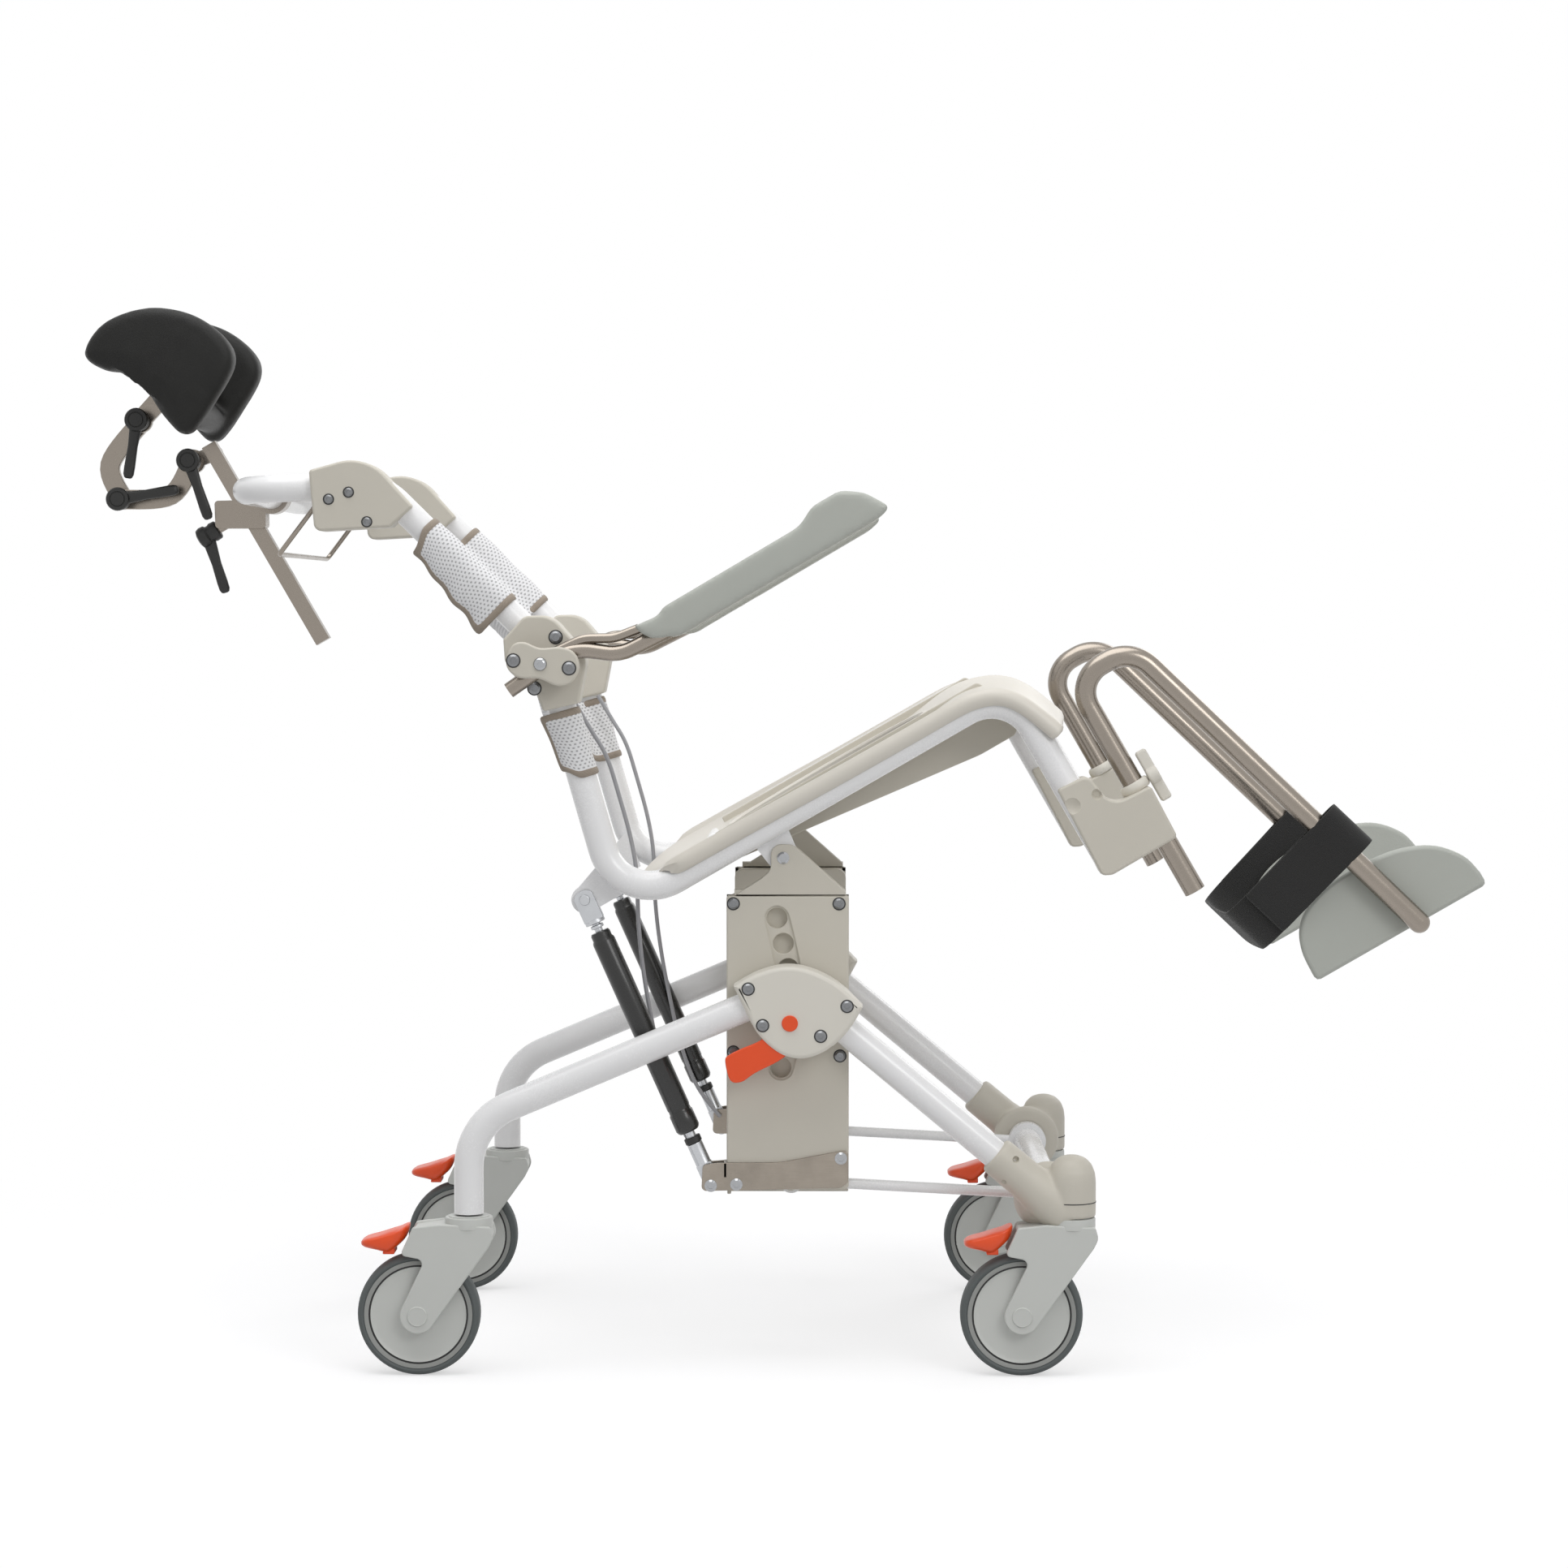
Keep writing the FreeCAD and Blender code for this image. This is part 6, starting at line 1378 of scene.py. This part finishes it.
# Leg rests
HANGER = [(347, -239, 0), (347, 9, 37), (413.5, 9, 37), (529, -381, 0)]
HANGER_Y = 222.0
HANGER_R = 11.0
COLLAR = [(11.3, -120.6), (14.2, -120.6), (15.4, -119.2), (15.8, -116), (15.4, -112.6), (14.0, -110.8),
          (11.3, -110.6), (11.3, -120.6)]
HINGE_STUD = [(0, 205), (6, 205), (6, 216), (0, 216)]
FOOT_ARCH = [(410, -374), (412, -350), (421.5, -328), (441, -312.2), (475.6, -302.9), (525.2, -303.4),
             (556, -309.6), (584.2, -323.7), (603.8, -347.2), (610, -370)]
FOOT_EDGE = [(610, -379), (608.5, -382.5), (605, -384), (415, -384), (411.5, -382.5), (410, -379)]
FOOT_LEVELS = (197.5, 208.5)


class CHAIR_OT_hangers(bpy.types.Operator):
    """Bend the leg rest hangers and set their collars"""
    bl_idname = "chair.hangers"
    bl_label = "Leg rest hangers"

    def execute(self, context):
        tubes, collars = bmesh.new(), bmesh.new()
        route = rounded_outline(HANGER, 14, closed=False)
        for sign in SIDES.values():
            line = [seat(point.x, sign * HANGER_Y, point.y) for point in route]
            straight = [line[0].lerp(line[1], step / 4) for step in range(4)]
            pipe(tubes, straight + line[1:], HANGER_R, sides=32, dome=True)
            turn(tubes, HINGE_STUD, seat_point(*HANGER[-1][:2]), SIDE * sign, steps=24)
            turn(collars, COLLAR, seat(HANGER[0][0], sign * HANGER_Y, 0), SEAT_UP, steps=40)
        fitted("hanger_tubes", tubes, "steel", "leg_rest", "stainless", "leg_rest_tubes", flat=False)
        fitted("hanger_collars", collars, "clamp", "leg_rest", "seat_plastic", flat=False)
        return {"FINISHED"}


class CHAIR_OT_footplates(bpy.types.Operator):
    """Round the folded footplates and texture their inner faces"""
    bl_idname = "chair.footplates"
    bl_label = "Footplates"

    def execute(self, context):
        loop = smooth_line(FOOT_ARCH, 5, closed=False) + [Vector(point) for point in FOOT_EDGE]
        for side, sign in SIDES.items():
            work = bmesh.new()
            for face in plate(work, loop, on_seat(sign), *FOOT_LEVELS, edge=4.6, steps=5):
                if face.normal.y * sign < -0.98:
                    face.material_index = 1
            board = put("foot_plate_" + side, to_mesh(work, "foot_plate_" + side), "pad", "grip")
            settle(weighted(board), "footplate_" + side, "grey_plastic", "footplate_" + side)
        return {"FINISHED"}


STRAP_TUBE = 142.0
STRAP_LOOP_R = HANGER_R + 2.0
STRAP_CORNER = 36.0
STRAP_SIDE_Y = 208.6
STRAP_SAG = 27.0
STRAP_LEVELS = (-27.0, -26.0, -12.0, 0.0, 12.0, 26.0, 27.0)
STRAP_REAR = (372, -303)
STRAP_FRONT = (508, -262)


def strap_route():
    """Centre line of the calf strap in its own plane: length forward from its rear and distance sideways."""
    half = [(24.0, 213.5), (60.0, 216.5), (100.0, 223.0), (STRAP_TUBE - 10, HANGER_Y + STRAP_LOOP_R - 1.2)]
    half += [tuple(point) for point in arc_points((STRAP_TUBE, HANGER_Y), STRAP_LOOP_R, 95, -95)]
    half += [(STRAP_TUBE - 20, STRAP_SIDE_Y + 0.3), (100.0, STRAP_SIDE_Y), (70.0, STRAP_SIDE_Y),
             (STRAP_CORNER + 8, STRAP_SIDE_Y)]
    inside = STRAP_SIDE_Y - STRAP_CORNER
    half += [tuple(point) for point in arc_points((STRAP_CORNER, inside), STRAP_CORNER, 90, 180, 8)[1:-1]]
    half += [(0.0, inside - 4), (-1.0, 110.0), (-2.0, 50.0)]
    return half + [(along, -y) for along, y in reversed(half)]


class CHAIR_OT_calf_strap(bpy.types.Operator):
    """Weave the calf strap from hanger to hanger with a loop round each tube"""
    bl_idname = "chair.calf_strap"
    bl_label = "Calf strap"

    def execute(self, context):
        rear = seat_point(*STRAP_REAR)
        forward = (seat_point(*STRAP_FRONT) - rear).normalized()
        upward = forward.cross(SIDE)
        if upward.z < 0:
            upward = -upward
        route = strap_route()
        length = 0.0
        rows, maps = [], []
        for number, (along, y) in enumerate(route):
            if number:
                length += math.dist(route[number - 1], route[number])
            sag = -STRAP_SAG * (y + HANGER_Y) / (2 * HANGER_Y)
            spot = rear + (forward * along + SIDE * y + upward * sag) * MM
            rows.append([spot + upward * (level * MM) for level in STRAP_LEVELS])
            maps.append([(length * MM, level * MM) for level in STRAP_LEVELS])
        work = bmesh.new()
        strip(work, rows, maps)
        bmesh.ops.recalc_face_normals(work, faces=work.faces)
        strap = put("calf_webbing", to_mesh(work, "calf_webbing", math.radians(80)), "webbing")
        settle(thickened(strap, wall=0.0026), "leg_rest", "black_webbing", "calf_strap")
        return {"FINISHED"}


# Head support levers
def grip(work, start, end, side, sizes):
    """Tapered grip with rounded sections: (share of length, half width, half thickness)."""
    along = (end - start).normalized()
    across = side.cross(along).normalized()
    rings = []
    for share, half_width, half_thick in sizes:
        centre = start.lerp(end, share)
        ring = []
        for c, s in circle(16):
            x = math.copysign(abs(c) ** 0.6, c) * half_width * MM
            y = math.copysign(abs(s) ** 0.6, s) * half_thick * MM
            ring.append(centre + across * x + side * y)
        rings.append(ring)
    loft(work, rings)


LEVER_GRIP = [(0.0, 7.2, 4.3), (0.18, 6.4, 4.3), (0.45, 5.2, 4.0), (0.8, 5.8, 4.3), (0.93, 5.6, 4.1),
              (0.985, 4.2, 3.0), (1.0, 2.4, 1.6)]
LEVER_HUB = [(4.1, 0), (10.2, 0), (11.0, -0.8), (11.0, -9.0), (9.6, -10.5), (9.6, -13.0), (11.0, -14.4),
             (12.0, -17.0), (12.6, -23.6), (11.6, -25.2), (8.4, -25.4), (8.1, -24.8), (7.6, -24.8),
             (7.2, -25.6), (0, -25.8)]
CLAMP_HUB = [(4, -3), (9, -3), (10.2, -1.8), (10.6, 4), (9.4, 6.5), (9.4, 9), (11.4, 11), (11.8, 16),
             (10.2, 20), (6, 21.6), (0, 22)]
BAR_JOINT = (-346.0, 676.0)
MIDDLE_JOINT = (-432.0, 678.0)
PAD_JOINT = (-372.0, 741.0)
LINKS = (("headrest_lower_link", (BAR_JOINT, (-384, 656), MIDDLE_JOINT), (-4.0, 4.0)),
         ("headrest_upper_link", (MIDDLE_JOINT, (-425, 718), PAD_JOINT), (4.3, 12.3)))
LINK_HALF = 10.5
CLAMP_SPOT = (-361, 599)
CLAMP_GRIP = ((-373, 594), (-386, 536))
HUB_LEVEL = -5.0
GRIP_LEVEL = -23.0
LEVERS = (("lever_bar_joint", "headrest_lower_tilt", (-359, 611)),
          ("lever_middle_joint", "headrest_upper_tilt", (-371, 655)),
          ("lever_pad_joint", "headrest_pad_tilt", (-412, 692)))


def crescent(first, middle, last):
    """Outline of a bowed link with round ends through three points."""
    line = smooth_line((first, middle, last), 8, closed=False)
    left, right = beside(line, LINK_HALF)

    def cap(end, inner):
        aim = end - inner
        angle = math.degrees(math.atan2(aim.y, aim.x))
        return arc_points(end, LINK_HALF, angle - 70, angle + 70, 8)

    return right + cap(line[-1], line[-2]) + left[::-1] + cap(line[0], line[1])


class CHAIR_OT_head_links(bpy.types.Operator):
    """Cut the crescent links of the head support"""
    bl_idname = "chair.head_links"
    bl_label = "Head support links"

    def execute(self, context):
        for node, points, levels in LINKS:
            work = bmesh.new()
            plate(work, crescent(*points), on_seat(1), *levels, edge=0.9)
            fitted(node + "_plate", work, "steel", node, "stainless", node)
        return {"FINISHED"}


class CHAIR_OT_head_levers(bpy.types.Operator):
    """Mould the black clamp levers of the head support"""
    bl_idname = "chair.head_levers"
    bl_label = "Head support levers"

    def execute(self, context):
        level = SIDE * (GRIP_LEVEL * MM)
        for node, joint, tip in LEVERS:
            centre = Vector(JOINTS[joint]["pos_m"])
            work = bmesh.new()
            turn(work, LEVER_HUB, centre + SIDE * (HUB_LEVEL * MM), SIDE, steps=32)
            grip(work, centre + level, seat_point(*tip) + level, SIDE, LEVER_GRIP)
            fitted(node.replace("lever_", "") + "_lever", work, "black", node, "black_plastic", node, flat=False)
        work = bmesh.new()
        turn(work, CLAMP_HUB, seat_point(*CLAMP_SPOT), -SEAT_FORWARD, steps=32)
        grip(work, *[seat_point(*end) for end in CLAMP_GRIP], SIDE, LEVER_GRIP)
        node = "bar_clamp_lever"
        fitted("clamp_lever", work, "black", node, "black_plastic", node, flat=False)
        return {"FINISHED"}


# Gas springs and cables
SPRING_FOOT = chair_point(-106, 192)
SPRING_HEAD = seat(-197.4, 0, 63.9)
SPRING_Y = 211.0
CABLE_Y = 195.5
CABLE_R = 2.2
CABLE_ROUTE = ((-246, 683), (-231, 657), (-214, 631), (-202, 590), (-190, 548), (-183, 508), (-183, 470),
               (-180, 429), (-174, 386), (-166, 344), (-157, 302), (-145, 262), (-129, 228), (-108, 205))
BARREL = [(5.2, 58), (9.8, 58), (11.2, 59.2), (12.6, 62), (12.6, 79), (11.6, 80.5), (11.4, 84), (12.0, 85.5),
          (12.0, 272), (11.4, 274), (10.4, 275.5), (10.4, 281), (9.2, 283.2), (0, 283.2)]
STUD = [(0, 283), (4.2, 283), (4.2, 287), (6.9, 287.3), (6.9, 290.5), (4.4, 291), (4.4, 292), (10.2, 292.4),
        (10.5, 293), (10.5, 297), (0, 297)]
CHEEK_START = 296.0
ROD_NUT = [(5.1, 45.4), (8.2, 45.4), (8.8, 46), (8.8, 51.4), (8.2, 52), (5.1, 52), (5.1, 45.4)]
FORK_EDGE = 0.0007
CHEEK_HALF = 10.2
CHEEK_LEVELS = ((5.0, 9.6), (-9.6, -5.0))
HEAD_PIN = [(0, -11.5), (5.0, -11.5), (5.6, -10.9), (5.6, -9.6), (4.0, -9.4), (4.0, 9.4), (5.6, 9.6), (5.6, 10.9),
            (5.0, 11.5), (0, 11.5)]


class CHAIR_OT_gas_springs(bpy.types.Operator):
    """Turn the gas springs with their studs and forks"""
    bl_idname = "chair.gas_springs"
    bl_label = "Gas springs"

    def execute(self, context):
        line = SPRING_HEAD - SPRING_FOOT
        axes = frame_of(line)
        top = line.length / MM + 3
        outline = [(-CHEEK_HALF, CHEEK_START), (-CHEEK_HALF, top)]
        for step in range(1, 8):
            angle = math.pi * step / 8
            outline.append((-CHEEK_HALF * math.cos(angle), top + 7 * math.sin(angle)))
        outline += [(CHEEK_HALF, top), (CHEEK_HALF, CHEEK_START)]
        barrels, nuts, forks = bmesh.new(), bmesh.new(), bmesh.new()
        for sign in SIDES.values():
            foot = SPRING_FOOT + SIDE * (sign * SPRING_Y * MM)
            turn(barrels, BARREL, foot, line, steps=40)
            turn(nuts, ROD_NUT, foot, line, steps=32)
            turn(forks, STUD, foot, line, steps=32)
            for levels in CHEEK_LEVELS:
                loft(forks, [[foot + axes @ (Vector((x, y, z)) * MM) for x, z in outline] for y in levels])
            turn(forks, HEAD_PIN, foot + line, SIDE, steps=24)
        fitted("spring_barrels", barrels, "lacquer", "gas_cylinders", "black_metal", "gas_cylinders", flat=False)
        round_edges(forks, FORK_EDGE, segments=2)
        fitted("spring_forks", forks, "zinc", "gas_cylinders", "zinc")
        fitted("rod_nuts", nuts, "black", "gas_rods", "black_metal", flat=False)
        softened("spring_rods", "gas_rods", "zinc", "gas_rods", "zinc", FORK_EDGE)
        return {"FINISHED"}


def smooth_tube(work, points, radius):
    """Round tube along a smooth curve with these control points."""
    curve = bpy.data.curves.new("route", "CURVE")
    curve.dimensions = "3D"
    spline = curve.splines.new("NURBS")
    spline.points.add(len(points) - 1)
    for item, point in zip(spline.points, points):
        item.co = (*point, 1)
    spline.order_u = 3
    spline.use_endpoint_u = True
    spline.resolution_u = 6
    guide = put("route", curve)
    line = [vert.co.copy() for vert in bpy.data.meshes.new_from_object(guide).vertices]
    bpy.data.objects.remove(guide)
    pipe(work, line, radius, sides=12)


class CHAIR_OT_cables(bpy.types.Operator):
    """Run the release cables from the back down to the springs"""
    bl_idname = "chair.cables"
    bl_label = "Release cables"

    def execute(self, context):
        work = bmesh.new()
        route = [chair_point(x, z) for x, z in CABLE_ROUTE]
        for sign in SIDES.values():
            smooth_tube(work, [point + SIDE * (sign * CABLE_Y * MM) for point in route], CABLE_R)
        cables = put("cables", to_mesh(work, "cables"), "cable")
        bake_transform(cables)
        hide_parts("release_cables")
        return {"FINISHED"}


# Stage
# Each light: name, place, target, side and power
LIGHTS = (("overhead_box", (-0.3, -0.6, 3.2), (0, 0, 0.4), 2.6, 48),
          ("front_box", (1.9, -3.0, 2.3), (0, 0, 0.5), 1.4, 26),
          ("rear_box", (1.8, 2.6, 2.2), (0, 0, 0.5), 1.6, 17))
CAMERA_LENS = 86.25
CAMERA_PLACE = (0.04495, -4.047, 0.781)
CAMERA_DIP = 2.672
CAMERA_SWING = 0.483


def light(name, place, target, side, power):
    """Square soft box that looks at a point."""
    data = bpy.data.lights.new(name, "AREA")
    data.energy = power
    data.size = side
    lamp = put(name, data)
    lamp.location = place
    lamp.rotation_euler = (Vector(target) - Vector(place)).to_track_quat("-Z", "Y").to_euler()


def seen_directly(tree):
    """One where a ray comes from the camera, a mirror or glass, otherwise nought."""
    path = add_node(tree, "ShaderNodeLightPath").outputs
    seen = calc(tree, "MAXIMUM", path["Is Camera Ray"], path["Is Glossy Ray"])
    return calc(tree, "MAXIMUM", seen, path["Is Transmission Ray"])


class CHAIR_OT_stage(bpy.types.Operator):
    """Set the white floor, the soft light and the camera"""
    bl_idname = "chair.stage"
    bl_label = "Stage"

    def execute(self, context):
        scene = context.scene
        scene.view_settings.view_transform = "Standard"
        world = bpy.data.worlds.new("white_studio")
        world.use_nodes = True
        scene.world = world
        tree = world.node_tree
        tree.nodes.clear()
        room = add_node(tree, "ShaderNodeBackground", {"Color": (1, 1, 1, 1), "Strength": 0.45})
        backdrop = add_node(tree, "ShaderNodeBackground", {"Color": (1, 1, 1, 1), "Strength": 1.0})
        mixed = add_node(tree, "ShaderNodeMixShader", {0: seen_directly(tree), 1: room.outputs[0],
                                                       2: backdrop.outputs[0]})
        add_node(tree, "ShaderNodeOutputWorld", {"Surface": mixed.outputs[0]})
        work = bmesh.new()
        bmesh.ops.create_circle(work, cap_ends=True, segments=96, radius=9.0)
        floor = put("studio_floor", to_mesh(work, "studio_floor"))
        material = bpy.data.materials.new("white_floor")
        material.use_nodes = True
        tree = material.node_tree
        tree.nodes.clear()
        plain = add_node(tree, "ShaderNodeBsdfDiffuse", {"Color": (0.62, 0.62, 0.62, 1)})
        half = add_node(tree, "ShaderNodeBsdfDiffuse", {"Color": (0.55, 0.55, 0.56, 1)})
        glow = add_node(tree, "ShaderNodeEmission", {"Strength": 0.56})
        white = add_node(tree, "ShaderNodeAddShader", {0: half.outputs[0], 1: glow.outputs[0]})
        clear = add_node(tree, "ShaderNodeEmission", {"Strength": 1.0})
        away = add_node(tree, "ShaderNodeVectorMath", {0: place_texture(tree)}, operation="LENGTH")
        faded = add_node(tree, "ShaderNodeMapRange", {"Value": away.outputs["Value"], "From Min": 0.55,
                                                      "From Max": 1.5}, interpolation_type="SMOOTHSTEP")
        near = add_node(tree, "ShaderNodeMixShader", {0: faded.outputs[0], 1: white.outputs[0], 2: clear.outputs[0]})
        shown = add_node(tree, "ShaderNodeMixShader", {0: seen_directly(tree), 1: plain.outputs[0],
                                                       2: near.outputs[0]})
        add_node(tree, "ShaderNodeOutputMaterial", {"Surface": shown.outputs[0]})
        floor.data.materials.append(material)
        for row in LIGHTS:
            light(*row)
        data = bpy.data.cameras.new("side_camera")
        data.sensor_width = 36.0
        data.lens = CAMERA_LENS
        camera = put("side_camera", data)
        camera.location = CAMERA_PLACE
        camera.rotation_euler = (math.radians(90 - CAMERA_DIP), 0, math.radians(CAMERA_SWING))
        scene.camera = camera
        return {"FINISHED"}


OPERATORS = (CHAIR_OT_tubes, CHAIR_OT_front_castings, CHAIR_OT_height_clamps, CHAIR_OT_towers, CHAIR_OT_seat_castings,
             CHAIR_OT_seat, CHAIR_OT_casters, CHAIR_OT_screws, CHAIR_OT_sling, CHAIR_OT_head_pad, CHAIR_OT_arm_pads,
             CHAIR_OT_hangers, CHAIR_OT_footplates, CHAIR_OT_calf_strap, CHAIR_OT_head_links, CHAIR_OT_head_levers,
             CHAIR_OT_gas_springs, CHAIR_OT_cables, CHAIR_OT_stage)


class CHAIR_PT_sidebar(bpy.types.Panel):
    """Lists the steps that dress the chair"""
    bl_idname = "CHAIR_PT_sidebar"
    bl_label = "Shower chair"
    bl_space_type = "VIEW_3D"
    bl_region_type = "UI"
    bl_category = "Shower chair"

    def draw(self, context):
        for operator in OPERATORS:
            self.layout.operator(operator.bl_idname)
        for group in (context.scene.chair_sizes, context.scene.chair_colours):
            for key in group.__annotations__:
                self.layout.prop(group, key)


CLASSES = (ChairColours, ChairSizes, *OPERATORS, CHAIR_PT_sidebar)


def register():
    for item in CLASSES:
        bpy.utils.register_class(item)
    bpy.types.Scene.chair_colours = PointerProperty(type=ChairColours)
    bpy.types.Scene.chair_sizes = PointerProperty(type=ChairSizes)


def unregister():
    del bpy.types.Scene.chair_sizes
    del bpy.types.Scene.chair_colours
    for item in reversed(CLASSES):
        bpy.utils.unregister_class(item)


def main():
    register()
    FINISHES.update(make_materials(bpy.context.scene.chair_colours))
    for operator in OPERATORS:
        getattr(bpy.ops.chair, operator.bl_idname.split(".")[1])()


if __name__ == "__main__":
    main()
